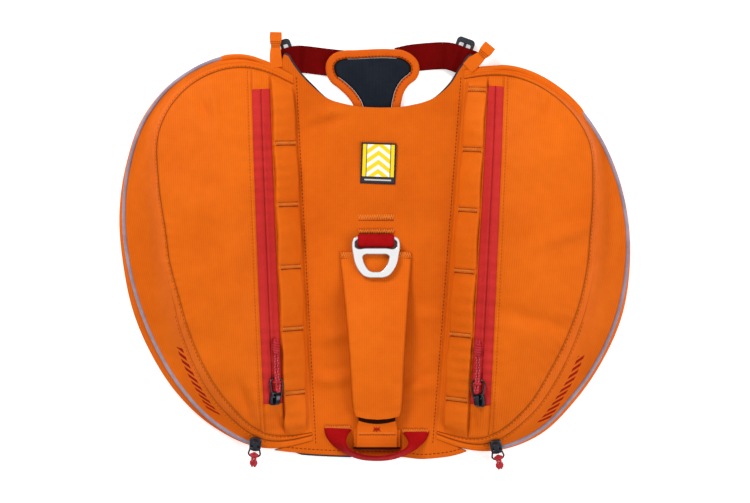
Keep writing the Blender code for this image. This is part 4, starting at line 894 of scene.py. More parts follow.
def strap_rings(path: Grid, width: object, thickness: object, up: object = UP) -> Grid:
    """Rings of a flat strap: a squared circle carried along a path.

    Args:
        path: the middle of the strap.
        width: its width, or one for each point.
        thickness: its thickness, or one for each point.
        up: the direction of its thickness.

    Returns:
        The rings' points.
    """
    side, lift = path_frames(path, up)
    section = strap_section()
    width = np.broadcast_to(width, len(path))[:, None, None] / 2
    thickness = np.broadcast_to(thickness, len(path))[:, None, None] / 2
    shape = side[:, None] * section[:, :1] * width + lift[:, None] * section[:, 1:] * thickness
    return path[:, None] + shape


def squared_ball(size: tuple[float, float, float], centre: object, square: float) -> Parts:
    """A block with soft edges: a ball whose cosines and sines are raised to a small power.

    Args:
        size: its three sizes.
        centre: its middle.
        square: the power, smaller for squarer.

    Returns:
        The points and faces.
    """
    rise = np.linspace(-math.pi / 2, math.pi / 2, 15)[1:-1]
    turn = np.arange(32) * 2 * math.pi / 32
    waist = np.abs(np.cos(rise)) ** square
    height = squared(np.sin(rise), square)
    x = squared(np.cos(turn), square)
    y = squared(np.sin(turn), square)
    rings = np.stack([waist[:, None] * x, waist[:, None] * y, height[:, None] * np.ones(32)], axis=-1)
    return loft(rings * np.array(size) / 2 + np.array(centre))


def strap_uv(rings: Grid) -> Grid:
    """Cloth coordinates of rings: the distance round each ring, and the distance along.

    Args:
        rings: points, rings by sides.

    Returns:
        Two numbers for each point, in the rings' order.
    """
    steps = np.linalg.norm(np.diff(rings, axis=1, append=rings[:, :1]), axis=-1)
    round_it = np.cumsum(steps, axis=1) - steps
    middle = rings.mean(axis=1)
    run = run_along(middle)
    along = np.broadcast_to(run[:, None], round_it.shape)
    return np.stack([round_it, along], axis=-1).reshape(-1, 2)


def as_piece(
    name: str, parts: Parts, finish: Finish, body: str = "pack", uv: Grid | None = None,
    seam: Grid | None = None, replaces: tuple[str, ...] | None = None, sharp: float = 40.0,
) -> Item:
    """Makes a mesh object that rides on a body.

    Args:
        name: the piece's name.
        parts: its points in millimetres and its faces.
        finish: its finish.
        body: the body that it rides on.
        uv: cloth coordinates in millimetres, one pair a point; plan places are used without it.
        seam: how much painted shade each point takes, from 0 to 1, at seams, in creases and in shadows.
        replaces: the nodes that it stands for, if not just the one of its name.
        sharp: the angle in degrees above which an edge stays sharp.

    Returns:
        The object.
    """
    points, faces = facing_out(parts)
    corners = np.concatenate([group.ravel() for group in faces])
    sizes = np.concatenate([np.full(len(group), group.shape[1]) for group in faces])
    mesh = bpy.data.meshes.new(name)
    mesh.vertices.add(len(points))
    mesh.vertices.foreach_set("co", ((points + CENTRING) * MM).astype(np.float32).ravel())
    mesh.loops.add(len(corners))
    mesh.loops.foreach_set("vertex_index", corners.astype(np.int32))
    mesh.polygons.add(len(sizes))
    mesh.polygons.foreach_set("loop_start", np.concatenate([[0], np.cumsum(sizes)[:-1]]).astype(np.int32))
    mesh.update(calc_edges=True)
    mesh.validate()
    uv = points[:, :2] if uv is None else uv
    layer = mesh.uv_layers.new(name="cloth")
    layer.data.foreach_set("uv", uv[corners].astype(np.float32).ravel())
    shade = mesh.attributes.new("seam", "FLOAT", "POINT")
    seam = np.zeros(len(points)) if seam is None else seam
    shade.data.foreach_set("value", seam.astype(np.float32))
    mesh.shade_smooth()
    mesh.set_sharp_from_angle(angle=math.radians(sharp))
    mesh.materials.append(bpy.data.materials.get(finish.name) or finish.material())
    made = bpy.data.objects.new(name, mesh)
    bpy.context.scene.collection.objects.link(made)
    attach(made, body)
    nodes = (name,) if replaces is None else replaces
    if nodes:
        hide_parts(*nodes)
    LOG.info("%s: %d faces", name, len(sizes))
    return made


def wall_piece(
    name: str, outer: Grid, inner: Grid, finish: Finish, uv: Grid | None = None,
    seam: Grid | None = None,
) -> Item:
    """Makes a wall between two grids; both its skins share their cloth coordinates and seams.

    Args:
        name: the piece's name.
        outer: points of the outside, rows by columns.
        inner: points of the inside.
        finish: its finish.
        uv: cloth coordinates, for each point of one skin.
        seam: the painted shade at each point of one skin.

    Returns:
        The object.
    """
    uv = None if uv is None else np.concatenate([uv.reshape(-1, 2)] * 2)
    seam = None if seam is None else np.concatenate([seam.ravel()] * 2)
    return as_piece(name, slab(outer, inner), finish, uv=uv, seam=seam)


@dataclass
class Sewing:
    """Stitches gathered from many seams and made as one mesh."""

    name: str
    finish: Finish
    centres: list[Grid] = field(default_factory=list)
    ways: list[Grid] = field(default_factory=list)
    normals: list[Grid] = field(default_factory=list)
    sizes: list[Grid] = field(default_factory=list)
    lean: float = 0.34

    def add(self, centres: Grid, ways: Grid, normals: Grid, length: float, radius: float) -> None:
        """Adds stitches of one size.

        Args:
            centres: their middles.
            ways: the directions that they run.
            normals: the way out of the cloth at each.
            length: their length.
            radius: their thread's radius.
        """
        self.centres.append(centres)
        self.ways.append(unit(np.broadcast_to(ways, centres.shape)))
        self.normals.append(unit(np.broadcast_to(normals, centres.shape)))
        self.sizes.append(np.tile([length, radius], (len(centres), 1)))

    def spots(self, line: Grid, normals: Grid, pitch: float) -> list[Grid]:
        """Evenly spaced places on a line.

        Args:
            line: the line's points.
            normals: the way out of the cloth at each.
            pitch: the distance from place to place.

        Returns:
            The places, the line's directions there and the ways out.
        """
        run = run_along(line)
        want = np.arange(pitch / 2, run[-1], pitch)
        rows = (line, np.gradient(line, axis=0), np.broadcast_to(normals, line.shape))
        return [np.stack([np.interp(want, run, column) for column in row.T], axis=1) for row in rows]

    def seam(self, line: Grid, normals: Grid, pitch: float = 2.5, length: float = 1.8,
             radius: float = 0.24) -> None:
        """Adds a row of stitches along a line, with the way out of the cloth at each of its points."""
        self.add(*self.spots(line, normals, pitch), length, radius)

    def tack(self, line: Grid, normals: Grid, height: float, pitch: float = 0.85,
             radius: float = 0.30) -> None:
        """Adds a bartack: close threads across a line, each leaning the other way than the last.

        Args:
            line: the middle line of the bartack.
            normals: the way out of the cloth at each point.
            height: how long the threads are.
            pitch: the distance from thread to thread.
            radius: the thread's radius.
        """
        centres, ways, out = self.spots(line, normals, pitch)
        ways, out = unit(ways), unit(out)
        lean = np.where(np.arange(len(centres)) % 2, self.lean, -self.lean)[:, None]
        self.add(centres, np.cross(out, ways) + lean * ways, out, height, radius)

    def make(self, body: str = "pack") -> Item:
        """Makes all the stitches: a six-sided thread that bows up in its middle, once for each.

        Args:
            body: the body that they ride on.

        Returns:
            The mesh object.
        """
        centres = np.concatenate(self.centres)
        ways, normals = np.concatenate(self.ways), np.concatenate(self.normals)
        sizes = np.concatenate(self.sizes)
        normals = unit(normals - ways * (normals * ways).sum(axis=1, keepdims=True))
        sides = np.cross(normals, ways)
        reach = np.array([-0.5, -0.42, 0.0, 0.42, 0.5])
        fat = np.array([0.35, 0.9, 1.0, 0.9, 0.35])
        sunk = np.array([-0.9, -0.15, 0.25, -0.15, -0.9])
        turn = np.arange(6) * math.pi / 3
        x = np.repeat(reach, 6)
        y = np.outer(fat, np.cos(turn)).ravel()
        z = (np.outer(fat, np.sin(turn)) + sunk[:, None]).ravel()
        points = (
            centres[:, None]
            + ways[:, None] * (x * sizes[:, :1])[..., None]
            + sides[:, None] * (y * sizes[:, 1:])[..., None]
            + normals[:, None] * (z * sizes[:, 1:])[..., None]
        )
        one = loft(np.zeros((5, 6, 3)))[1]
        shift = 30 * np.arange(len(centres))[:, None, None]
        faces = [(group[None] + shift).reshape(-1, group.shape[1]) for group in one]
        uv = np.stack([np.tile(y, len(centres)), np.tile(2 * x, len(centres))], axis=1)
        return as_piece(self.name, (points.reshape(-1, 3), faces), self.finish, body, uv, replaces=(), sharp=80.0)


FINE_THREAD = Sewing("stitching", THREAD)
HOLE_THREAD = Sewing("seam_stitching", DARK_THREAD)
TACK_THREAD = Sewing("bartacks", BRIGHT_THREAD)
TACK_EDGE = Sewing("bartack_edges", EDGE_THREAD)
CROSS_THREAD = Sewing("cross_stitch", RED_THREAD)


def boxed_tack(x0: float, x1: float, y: float, z: float, height: float) -> None:
    """A bartack along X with a darker row on each side: these and the lower, darker threads under the bright ones
    paint the shade at its edges and in its gaps.

    Args:
        x0: where it starts.
        x1: where it ends.
        y: its place along the pack.
        z: its height above the floor.
        height: how long its threads are.
    """
    line = np.column_stack([np.linspace(x0, x1, 20), np.full(20, y), np.full(20, z)])
    TACK_THREAD.tack(line, UP, height)
    TACK_EDGE.tack(line + np.array([0.0, 0.0, -0.3]), UP, height, 0.6)
    for sewing, side in ((HOLE_THREAD, -0.6), (TACK_EDGE, 0.6)):
        sewing.seam(line + np.array([0.0, side * height, -0.1]), UP, 1.5, 1.3, 0.22)


# The plan of a bag by the angle round its pole: how far out four lines are, and the face edge's height.
SECTION_COLUMNS = ("angle", "outline", "piping", "zip_seam", "face_edge", "edge_height")
LEFT_SECTIONS = (
    (0, 129.8, 128.2, 125.0, 122.2, 8), (15, 151.5, 149.9, 145.5, 141.5, 12),
    (30, 156.0, 154.4, 149.8, 145.8, 20), (45, 152.3, 150.0, 141.5, 136.5, 29),
    (60, 142.7, 140.0, 119.0, 114.6, 36), (75, 134.9, 131.2, 104.0, 99.8, 39),
    (90, 129.4, 125.0, 98.3, 94.2, 40), (105, 128.6, 122.6, 97.2, 92.4, 40),
    (120, 130.2, 124.2, 102.8, 96.6, 38), (135, 134.6, 129.4, 112.4, 105.4, 33),
    (150, 139.5, 136.2, 125.2, 117.8, 25), (165, 141.8, 140.2, 135.6, 130.6, 15),
    (180, 134.0, 132.4, 129.8, 127.4, 8),
)
RIGHT_SECTIONS = (
    (0, 133.8, 132.2, 129.0, 126.4, 8), (15, 143.2, 141.6, 138.4, 135.6, 12),
    (30, 143.4, 141.8, 138.6, 135.8, 20), (45, 138.6, 136.9, 132.6, 128.8, 29),
    (60, 133.6, 131.8, 117.4, 112.2, 36), (75, 130.4, 128.6, 107.6, 101.0, 39),
    (90, 129.4, 126.9, 102.8, 97.2, 40), (105, 131.0, 127.4, 103.2, 97.3, 40),
    (120, 133.2, 129.8, 107.8, 100.7, 38), (135, 138.0, 134.4, 116.8, 108.5, 33),
    (150, 144.6, 141.4, 129.2, 122.2, 25), (165, 143.6, 142.0, 138.0, 133.0, 15),
    (180, 133.0, 131.4, 129.0, 126.6, 8),
)
# The back wall's rim: how far in it is, its share of the way up, its thickness and its lean.
RIM = np.array([(8.0, 0.0, 3.0, 90), (3.4, 0.05, 2.4, 62), (0.8, 0.32, 1.8, 25), (0.0, 0.62, 1.5, 0)])
# Folds: the place on the plan, the turn in degrees, the length, the width and the rise.
LEFT_FOLDS = (
    (57, 112, 8, 13, 3.0, 1.3), (66, 110, 20, 12, 3.0, -1.2), (38, -108, 4, 15, 3.6, 1.5),
    (47, -101, 14, 16, 3.4, -1.3), (109, 8, 3, 42, 6.5, -1.8), (70, 40, 62, 40, 16.0, 1.6),
    (72, -60, 118, 36, 13.0, -1.3), (31, -105, -8, 12, 2.6, 1.0), (24, -116, 18, 12, 2.4, -0.9),
    (19, -118, 24, 10, 2.2, 0.8),
)
RIGHT_FOLDS = (
    (52, 118, -4, 12, 3.0, 1.3), (62, 113, 12, 12, 3.2, -1.2), (40, -104, -8, 15, 3.6, 1.4),
    (84, 22, 66, 30, 5.0, 1.4), (66, -42, 100, 34, 6.0, -1.4), (108, 30, -4, 40, 6.0, -1.6),
    (60, 52, 80, 36, 14.0, -1.2), (33, -112, 6, 12, 2.6, 0.8), (26, -114, -6, 10, 2.6, -0.7),
)


@dataclass
class Saddlebag:
    """One saddlebag: its plan lines, its swelling and the panels sewn from it.

    On its plan, u runs out from the centre seam and v forward along it, from a pole on the seam.
    zip_lines and web_lines are the two edges of the pocket zip and of the gear webbing, each by its
    distance from the seam at the front and at the rear; zip_ends and tacks are places along v.
    """

    side_name: str
    side: int
    pole: tuple[float, float]
    tilt: float
    table: tuple
    fold_table: tuple
    zip_lines: tuple
    web_lines: tuple
    zip_ends: tuple[float, float]
    tacks: tuple[float, ...]
    barred: Cloth
    piped_from: float
    peak: float = 47.0
    rise_width: float = 62.0
    seed: float = 0.7
    end_angle: float = 0.03
    fold_gain: float = 1.9
    rumple: float = 0.72
    seam_pucker: float = 0.52
    zip_pucker: float = 0.34
    stitch_in: float = 2.9
    piping_radius: float = 1.3
    sole_inset: float = 8.0
    rows: int = 300

    def __post_init__(self) -> None:
        """Works out the bag's own directions and reads its table by columns."""
        angle = math.radians(self.tilt)
        self.forward = np.array([self.side * math.sin(angle), math.cos(angle)])
        self.outward = np.array([self.side * math.cos(angle), -math.sin(angle)])
        self.sections = dict(zip(SECTION_COLUMNS, np.array(self.table, float).T))
        self.front = [self.angle_at(ends[0], False) for ends in self.zip_lines]
        self.rear = [self.angle_at(ends[1], True) for ends in self.zip_lines]

    def name(self, piece: str) -> str:
        """A piece's name with the bag's side."""
        return f"{piece}_{self.side_name}"

    def column(self, column: str, angle: object) -> Grid:
        """A distance or height of the sections table at any angle in degrees."""
        return smooth_values(self.sections["angle"], self.sections[column], np.asarray(angle, float))

    def place(self, u: object, v: object, z: object) -> Grid:
        """Plan places and heights as points of the pack."""
        u, v, z = np.broadcast_arrays(np.asarray(u, float), v, z)
        plan = np.array(self.pole) + u[..., None] * self.outward + v[..., None] * self.forward
        return np.concatenate([plan, z[..., None]], axis=-1)

    def base(self, u: Grid, v: Grid) -> Grid:
        """The height of the seam with the centre panel, lifted at the shoulder."""
        plan = self.place(u, v, 0.0)
        return PANEL_TOP + TOP_SHARE * shoulder_lift(plan[..., 0], plan[..., 1])

    def piping_height(self, angle: Grid, base: Grid) -> Grid:
        """The height of the middle of the piping."""
        return base + 0.3 + 3.0 * np.sin(np.radians(angle))

    def height(self, u: Grid, v: Grid) -> Grid:
        """The outside of the bag, without its fine relief.

        A dome falls by the cube of the share of the way to the face edge and rises from the seam as
        one less a squared remainder; outside the face edge a hollow slope runs down to the piping.

        Args:
            u: distances out from the centre seam.
            v: distances forward along it.

        Returns:
            The heights.
        """
        radius = np.hypot(u, v)
        angle = np.degrees(np.arctan2(np.maximum(u, 0.0), v))
        face, piping = self.column("face_edge", angle), self.column("piping", angle)
        edge, base = self.column("edge_height", angle), self.base(u, v)
        share = radius / face
        dome = edge + (self.peak - edge) * (1 - share**3)
        rise = 1 - (1 - np.clip(u / self.rise_width, 0, 1)) ** 2
        inside = base + (dome - PANEL_TOP) * rise
        edge_u = face * np.sin(np.radians(angle))
        edge_rise = 1 - (1 - np.clip(edge_u / self.rise_width, 0, 1)) ** 2
        edge_z = base + (edge - PANEL_TOP) * edge_rise
        low = self.piping_height(angle, base)
        slope = 1 - np.clip((radius - face) / (piping - face), 0, 1)
        outside = low + (edge_z - low) * slope**1.5
        fade = ease(u / 12.0) * ease((piping - radius) / 10.0)
        return np.where(share <= 1, inside, outside) + self.fold_gain * folds(self.fold_table, u, v) * fade

    def relief(self, u: Grid, v: Grid) -> Grid:
        """Fine shape on the bag: rumples in the filled cloth, and puckers along its sewn seams.

        Args:
            u: distances out from the centre seam.
            v: distances forward along it.

        Returns:
            The height added.
        """
        radius = np.hypot(u, v)
        angle = np.degrees(np.arctan2(np.maximum(u, 0.0), v))
        seam_run = np.radians(angle) * 118.0
        away = radius - self.column("face_edge", angle)
        fade = ease(u / 16.0) * ease((self.column("piping", angle) - radius) / 12.0)
        soft = self.rumple * rumples(u, v, self.seed) * fade
        soft += self.seam_pucker * puckers(seam_run, away, self.seed) * fade
        zip_away = u - self.lane(self.zip_lines[1], v)
        return soft + self.zip_pucker * puckers(v, np.maximum(zip_away, 0.0), self.seed + 2.0) * fade

    def skin(self, u: Grid, v: Grid) -> Grid:
        """The outside of the bag with its fine relief."""
        return self.height(u, v) + self.relief(u, v)

    def outwards(self, u: Grid, v: Grid) -> Grid:
        """The way out of the cloth: the height's slope over a few millimetres, as a unit normal."""
        step = 3.0
        slope_u = (self.height(u + step, v) - self.height(u - step, v)) / (2 * step)
        slope_v = (self.height(u, v + step) - self.height(u, v - step)) / (2 * step)
        plan = -slope_u[..., None] * self.outward - slope_v[..., None] * self.forward
        return unit(np.concatenate([plan, np.ones_like(slope_u)[..., None]], axis=-1))

    def ring_line(self, column: str, shift: object, angles: object) -> Grid:
        """Plan places along a line of the sections table, moved out by a shift."""
        radius = self.column(column, angles) + shift
        turn = np.radians(angles)
        return np.stack([radius * np.sin(turn), radius * np.cos(turn)], axis=-1)

    def angle_at(self, u: float, rear: bool) -> float:
        """The angle at which the face edge is u away from the seam, found by halving.

        Args:
            u: the distance from the seam.
            rear: whether it is at the rear end.

        Returns:
            The angle in degrees.
        """
        low, high = (180.0, 95.0) if rear else (0.0, 85.0)
        for _ in range(40):
            middle = (low + high) / 2
            here = float(self.column("face_edge", middle)) * math.sin(math.radians(middle))
            low, high = (middle, high) if here < u else (low, middle)
        return (low + high) / 2

    def along_at(self, u: float, rear: bool) -> float:
        """How far along the seam the face edge lies, at a distance from the seam."""
        angle = self.angle_at(u, rear)
        return float(self.column("face_edge", angle)) * math.cos(math.radians(angle))

    def lane(self, ends: tuple, v: object) -> Grid:
        """A straight line beside the seam, from its distance at the front to that at the rear."""
        return ends[0] + (ends[1] - ends[0]) * (120.0 - np.asarray(v, float)) / 240.0

    def even_angles(self, count: int) -> Grid:
        """Angles evenly spaced along the curved seam, from end to end of the bag."""
        fine = np.linspace(self.end_angle, 180 - self.end_angle, 600)
        line = self.ring_line("zip_seam", 0.0, fine)
        run = run_along(line)
        return np.interp(np.linspace(0, run[-1], count), run, fine)

    def between(self, line_a: Grid, line_b: Grid, shares: Grid) -> Grid:
        """Plan places between two lines with as many points each."""
        return line_a[:, None] * (1 - shares[None, :, None]) + line_b[:, None] * shares[None, :, None]

    def panel(
        self, piece: str, plan: Grid, finish: Finish, lift: object = 0.0, thickness: float = CLOTH,
        rolled: tuple[bool, bool, bool, bool] = (True, True, True, True), roll: object = 0.45,
        reach: float = 1.7, plan_uv: bool = True, shade: object = 0.0, shade_share: object = 1.0,
    ) -> Made:
        """A cloth panel on the bag, rolled in at its sewn edges.

        The outside is the skin plus a lift along the way out; near a sewn edge it drops by an eased
        curve of the distance to that edge.

        Args:
            piece: the node's name without its side.
            plan: plan places, rows by columns.
            finish: the finish.
            lift: how far the panel lies off the skin.
            thickness: the cloth's thickness.
            rolled: whether the first and last row and the first and last column are sewn in.
            roll: how deep the sewn edges drop.
            reach: how far from an edge the drop starts.
            plan_uv: whether the weave follows the plan, or the panel's own length and width.
            shade: extra seam shade for each point.
            shade_share: how much of the shade at the sewn edges there is.

        Returns:
            The object and its outside grid.
        """
        u, v = plan[..., 0], plan[..., 1]
        way = self.outwards(u, v)
        outer = self.place(u, v, self.skin(u, v)) + way * np.broadcast_to(lift, u.shape)[..., None]
        down = np.linalg.norm(np.diff(outer, axis=0), axis=-1)
        over = np.linalg.norm(np.diff(outer, axis=1), axis=-1)
        along = np.concatenate([np.zeros((1, u.shape[1])), np.cumsum(down, axis=0)])
        across = np.concatenate([np.zeros((u.shape[0], 1)), np.cumsum(over, axis=1)], axis=1)
        away = np.full(u.shape, 1e3)
        for used, distance in zip(rolled, (along, along[-1:] - along, across, across[:, -1:] - across)):
            if used:
                away = np.minimum(away, distance)
        outer = outer - way * (roll * (1 - ease(away / reach)))[..., None]
        # Painted shade at the sewn edges, with any extra shade given.
        seam = np.clip((1 - ease(away / 1.5)) * 0.5 * shade_share + shade, 0.0, 1.0)
        uv = plan if plan_uv else np.stack([across, along], axis=-1)
        return wall_piece(self.name(piece), outer, outer - way * thickness, finish, uv, seam), outer

    def line_on(self, plan: Grid, lift: float) -> tuple[Grid, Grid]:
        """A plan line laid on the bag, with the way out of the cloth along it."""
        way = self.outwards(plan[:, 0], plan[:, 1])
        return self.place(plan[:, 0], plan[:, 1], self.skin(plan[:, 0], plan[:, 1])) + way * lift, way

    def face_panel(self) -> Made:
        """The broad outer panel, from the pocket zip to the curved seam.

        Returns:
            The object and its outside grid.
        """
        rows = 190
        share = packed(rows, 0.35)
        fine = np.linspace(self.front[1], self.rear[1], 500)
        line = self.ring_line("zip_seam", 0.0, fine)
        run = run_along(line)
        edge = self.ring_line("face_edge", -SEAM, np.interp(share * run[-1], run, fine))
        first, last = edge[0, 1], edge[-1, 1]
        v = first + (last - first) * share
        inner = np.stack([self.lane(self.zip_lines[1], v) + SEAM, v], axis=1)
        inner[0, 0] = edge[0, 0] - 0.05
        inner[-1, 0] = edge[-1, 0] - 0.05
        edge[[0, -1], 0] += 0.2
        plan = self.between(inner, edge, packed(62))
        stitched = np.abs(plan[..., 0] - self.lane(self.zip_lines[1], plan[..., 1]) - self.stitch_in)
        groove = 0.16 * bell(stitched, 0.8)
        faint = np.where(plan[..., 0] < edge[:, :1] - 20.0, 0.5, 1.0)
        return self.panel("face_panel", plan, SHELL, -groove, shade=0.12 * bell(stitched, 0.9), shade_share=faint)

    def zip_flap(self) -> Made:
        """The folded band that covers the main zip: it swells a little between its seams.

        Returns:
            The object and its outside grid.
        """
        angles = self.even_angles(self.rows)
        inner = self.ring_line("face_edge", SEAM, angles)
        outer = self.ring_line("zip_seam", -SEAM, angles)
        share = packed(14)
        plan = self.between(inner, outer, share)
        stitched = np.linalg.norm(plan - inner[:, None], axis=-1) - 0.9
        lift = 0.55 * np.sin(math.pi * share) - 0.22 * bell(stitched, 0.6)
        open_edge = self.open_edge(angles)
        return self.panel(
            "zip_flap", plan, SHELL, lift, rolled=SIDES_ONLY, roll=0.6 * open_edge, reach=1.2,
            shade=0.2 * bell(stitched, 0.8), shade_share=np.where(share[None, :] > 0.5, 2.0 * open_edge, 1.8),
        )

    def open_edge(self, angles: Grid) -> Grid:
        """How deep the main zip's seam is sewn in, and how strong its painted shade is: shallow at the front, easing
        to full at the rear.
        """
        return (0.12 + 0.88 * ease((angles - 84.0) / 40.0))[:, None]

    def gusset(self) -> Made:
        """The side wall from the main zip down to the piping.

        Returns:
            The object and its outside grid.
        """
        angles = self.even_angles(self.rows)
        piped = ease((angles - 7) / 5) * ease((169 - angles) / 5)
        top = self.ring_line("zip_seam", SEAM, angles)
        covered = ease((self.piped_from - angles) / 4.0)
        foot = self.ring_line("piping", 1.0 - 0.8 * piped + 1.7 * covered * piped, angles)
        share = packed(30)
        plan = self.between(top, foot, share)
        drop = np.where(share[None, :] < 0.5, self.open_edge(angles), 0.6)
        from_top = np.linalg.norm(plan - top[:, None], axis=-1)
        # The trough beside the flap is a small dip in the cloth, and painted shade as well.
        trough = bell(from_top - 6.5, 4.5) * bell(angles[:, None] - 78.0, 34.0)
        off = np.linalg.norm(plan, axis=-1) - self.column("piping", angles)[:, None]
        over = np.sqrt(np.maximum(1.95**2 - off**2, 0.0)) * (covered * piped)[:, None]
        return self.panel(
            "gusset", plan, self.barred, over - 0.9 * trough, rolled=SIDES_ONLY, plan_uv=False,
            roll=0.5 * drop, reach=1.4, shade_share=drop, shade=0.24 * trough,
        )

    def piping(self) -> None:
        """The reflective cord at the foot of the gusset: a tube that thins at its two ends."""
        angles = np.linspace(11.6, 163.4, 260)
        plan = self.ring_line("piping", 0.0, angles)
        height = self.piping_height(angles, self.base(plan[:, 0], plan[:, 1]))
        path = self.place(plan[:, 0], plan[:, 1], height)
        end = np.minimum(np.arange(260), np.arange(260)[::-1])
        radius = self.piping_radius * (0.35 + 0.65 * ease(end / 8.0)) * (1 + 0.03 * np.sin(np.arange(260) * 0.55))
        rings, faces = tube(path, radius, 16)
        uv = strap_uv(rings.reshape(260, 16, 3))
        as_piece(self.name("piping"), (rings, faces), PIPING_CLOTH, uv=uv)

    def back_wall(self) -> Made:
        """The wall against the dog: flat underneath, its rim rolled up to the piping.

        Returns:
            The object and its underside grid.
        """
        angles = np.linspace(0.3, 179.7, 150)
        turn = np.radians(angles)
        ends = self.column("outline", np.array([0.0, 180.0])) - 12.0
        v = np.linspace(ends[0], -ends[1], len(angles))
        seam = np.stack([np.full(len(v), SEAM), v], axis=1)
        outline = self.column("outline", angles)
        foot = self.ring_line("outline", -self.sole_inset, angles)
        flat = self.between(seam, foot, np.linspace(0, 1, 15)[:-1])
        spot = self.place(flat[..., 0], flat[..., 1], 0.0)
        lift = shoulder_lift(spot[..., 0], spot[..., 1])
        crossed = ease((13.2 - np.abs(spot[..., 1] - GIRTH_Y)) / 0.5) * ease((113.0 - np.abs(spot[..., 0])) / 0.5)
        lower = self.place(flat[..., 0], flat[..., 1], lift + 1.5 * crossed)
        upper = self.place(flat[..., 0], flat[..., 1], lift + 3.0 * (1 - 0.5 * lift / SHOULDER_LIFT))
        lower, upper = list(lower.swapaxes(0, 1)), list(upper.swapaxes(0, 1))
        spot = self.place(*self.ring_line("piping", 0.0, angles).T, 0.0)
        floor = shoulder_lift(spot[:, 0], spot[:, 1])
        top = self.piping_height(angles, PANEL_TOP + TOP_SHARE * floor) - 2.0
        steps = np.linspace(0, 3, 13)
        rim = np.stack([np.interp(steps, np.arange(4), column) for column in RIM.T], axis=1)
        profile = [(outline - inset, floor + (top - floor) * share, thick, lean)
                   for inset, share, thick, lean in rim]
        for part in (0.35, 0.7, 1.0):
            radius = outline + (self.column("piping", angles) + 0.2 - outline) * part
            z = floor + (top - floor) * (0.62 + 0.38 * math.sin(part * math.pi / 2))
            profile.append((radius, z, 1.4, -45 * part))
        for radius, z, thick, lean in profile:
            thick = thick * (1 - 0.5 * floor / SHOULDER_LIFT)
            in_radius = radius - thick * math.cos(math.radians(lean))
            in_z = z + thick * math.sin(math.radians(lean))
            lower.append(self.place(radius * np.sin(turn), radius * np.cos(turn), z))
            upper.append(self.place(in_radius * np.sin(turn), in_radius * np.cos(turn), in_z))
        lower, upper = np.stack(lower, axis=1), np.stack(upper, axis=1)
        return wall_piece(self.name("back_wall"), lower, upper, SHELL), lower

    def inner_strip(self) -> Made:
        """The strip between the centre seam and the pocket zip.

        Returns:
            The object and its outside grid.
        """
        share, down = packed(20), packed(150, 0.4)
        front = self.ring_line("face_edge", -SEAM, self.end_angle + (self.front[0] - self.end_angle) * share)
        rear_angle = 180 - self.end_angle + (self.rear[0] - 180 + self.end_angle) * share
        rear = self.ring_line("face_edge", -SEAM, rear_angle)
        v = front[None, :, 1] * (1 - down[:, None]) + rear[None, :, 1] * down[:, None]

        def straight(at: Grid) -> Grid:
            """The distance from the seam by share alone."""
            return SEAM * (1 - share) + (self.lane(self.zip_lines[0], at) - SEAM) * share

        u = straight(v)
        u = u + (front[:, 0] - straight(front[:, 1])) * (1 - down[:, None]) ** 8
        u = u + (rear[:, 0] - straight(rear[:, 1])) * down[:, None] ** 8
        shallow = np.where(share < 0.3, 0.12, 0.35)[None, :] * np.ones_like(u)
        return self.panel(
            "inner_strip", np.stack([u, v], axis=-1), SHELL, roll=shallow, shade_share=shallow / 0.45
        )

    def pocket_zip(self) -> Made:
        """The red tape of the pocket zip: two halves that meet in a narrow slit over the coils.

        Returns:
            The object and its outside grid.
        """
        v = np.linspace(self.zip_ends[0] - SEAM, self.zip_ends[1] + SEAM, 420)
        low = np.stack([self.lane(self.zip_lines[0], v) + SEAM, v], axis=1)
        high = np.stack([self.lane(self.zip_lines[1], v) - SEAM, v], axis=1)
        share = np.sort(np.concatenate([packed(13, 0.6), 0.5 + np.array([-0.06, -0.03, -0.015, 0.015, 0.03, 0.06])]))
        plan = self.between(low, high, share)
        away = np.linalg.norm(plan - (low + high)[:, None] / 2, axis=-1)
        teeth = 0.10 * np.sin(2 * math.pi * v / 1.25)[:, None] * ease((3.0 - away) / 1.2) * ease(away / 0.5)
        lift = -0.35 + 0.35 * bell(away - 1.6, 1.3) + teeth - 0.6 * bell(away, 0.38)
        coils = 0.5 + 0.5 * np.sin(2 * math.pi * v / 1.55)[:, None]
        shade = 0.62 * bell(away, 0.42) + 0.34 * coils * bell(away - 1.3, 0.8) + 0.15 * bell(away - 3.6, 0.5)
        return self.panel(
            "pocket_zip", plan, TAPE, lift, 1.2, SIDES_ONLY, roll=0.25, reach=0.8,
            plan_uv=False, shade=shade,
        )

    def zip_garage(self, rear: bool) -> Item:
        """The cloth that closes the pocket zip at one end; the rear one swells into a small mouth.

        Args:
            rear: whether it is the rear one.

        Returns:
            The object.
        """
        share, down = packed(20), packed(22)
        ends = self.rear if rear else self.front
        curve = self.ring_line("face_edge", -SEAM, ends[0] + (ends[1] - ends[0]) * share)
        curve[0, 0] += SEAM
        curve[-1, 0] -= SEAM
        start = self.zip_ends[1] - SEAM if rear else self.zip_ends[0] + SEAM
        v = start * (1 - down[:, None]) + curve[None, :, 1] * down[:, None]
        low = self.lane(self.zip_lines[0], v) + SEAM
        high = self.lane(self.zip_lines[1], v) - SEAM
        u = low * (1 - share) + high * share
        u = u + (curve[:, 0] - u[-1]) * down[:, None] ** 6
        swell = 1.9 * (1 - down[:, None]) ** 1.3 * np.sin(math.pi * share) ** 1.5 if rear else 0.0
        name = "zip_garage_rear" if rear else "zip_garage_front"
        rolled = (False, True, True, True)
        return self.panel(name, np.stack([u, v], axis=-1), SHELL, swell, rolled=rolled, roll=0.45)[0]

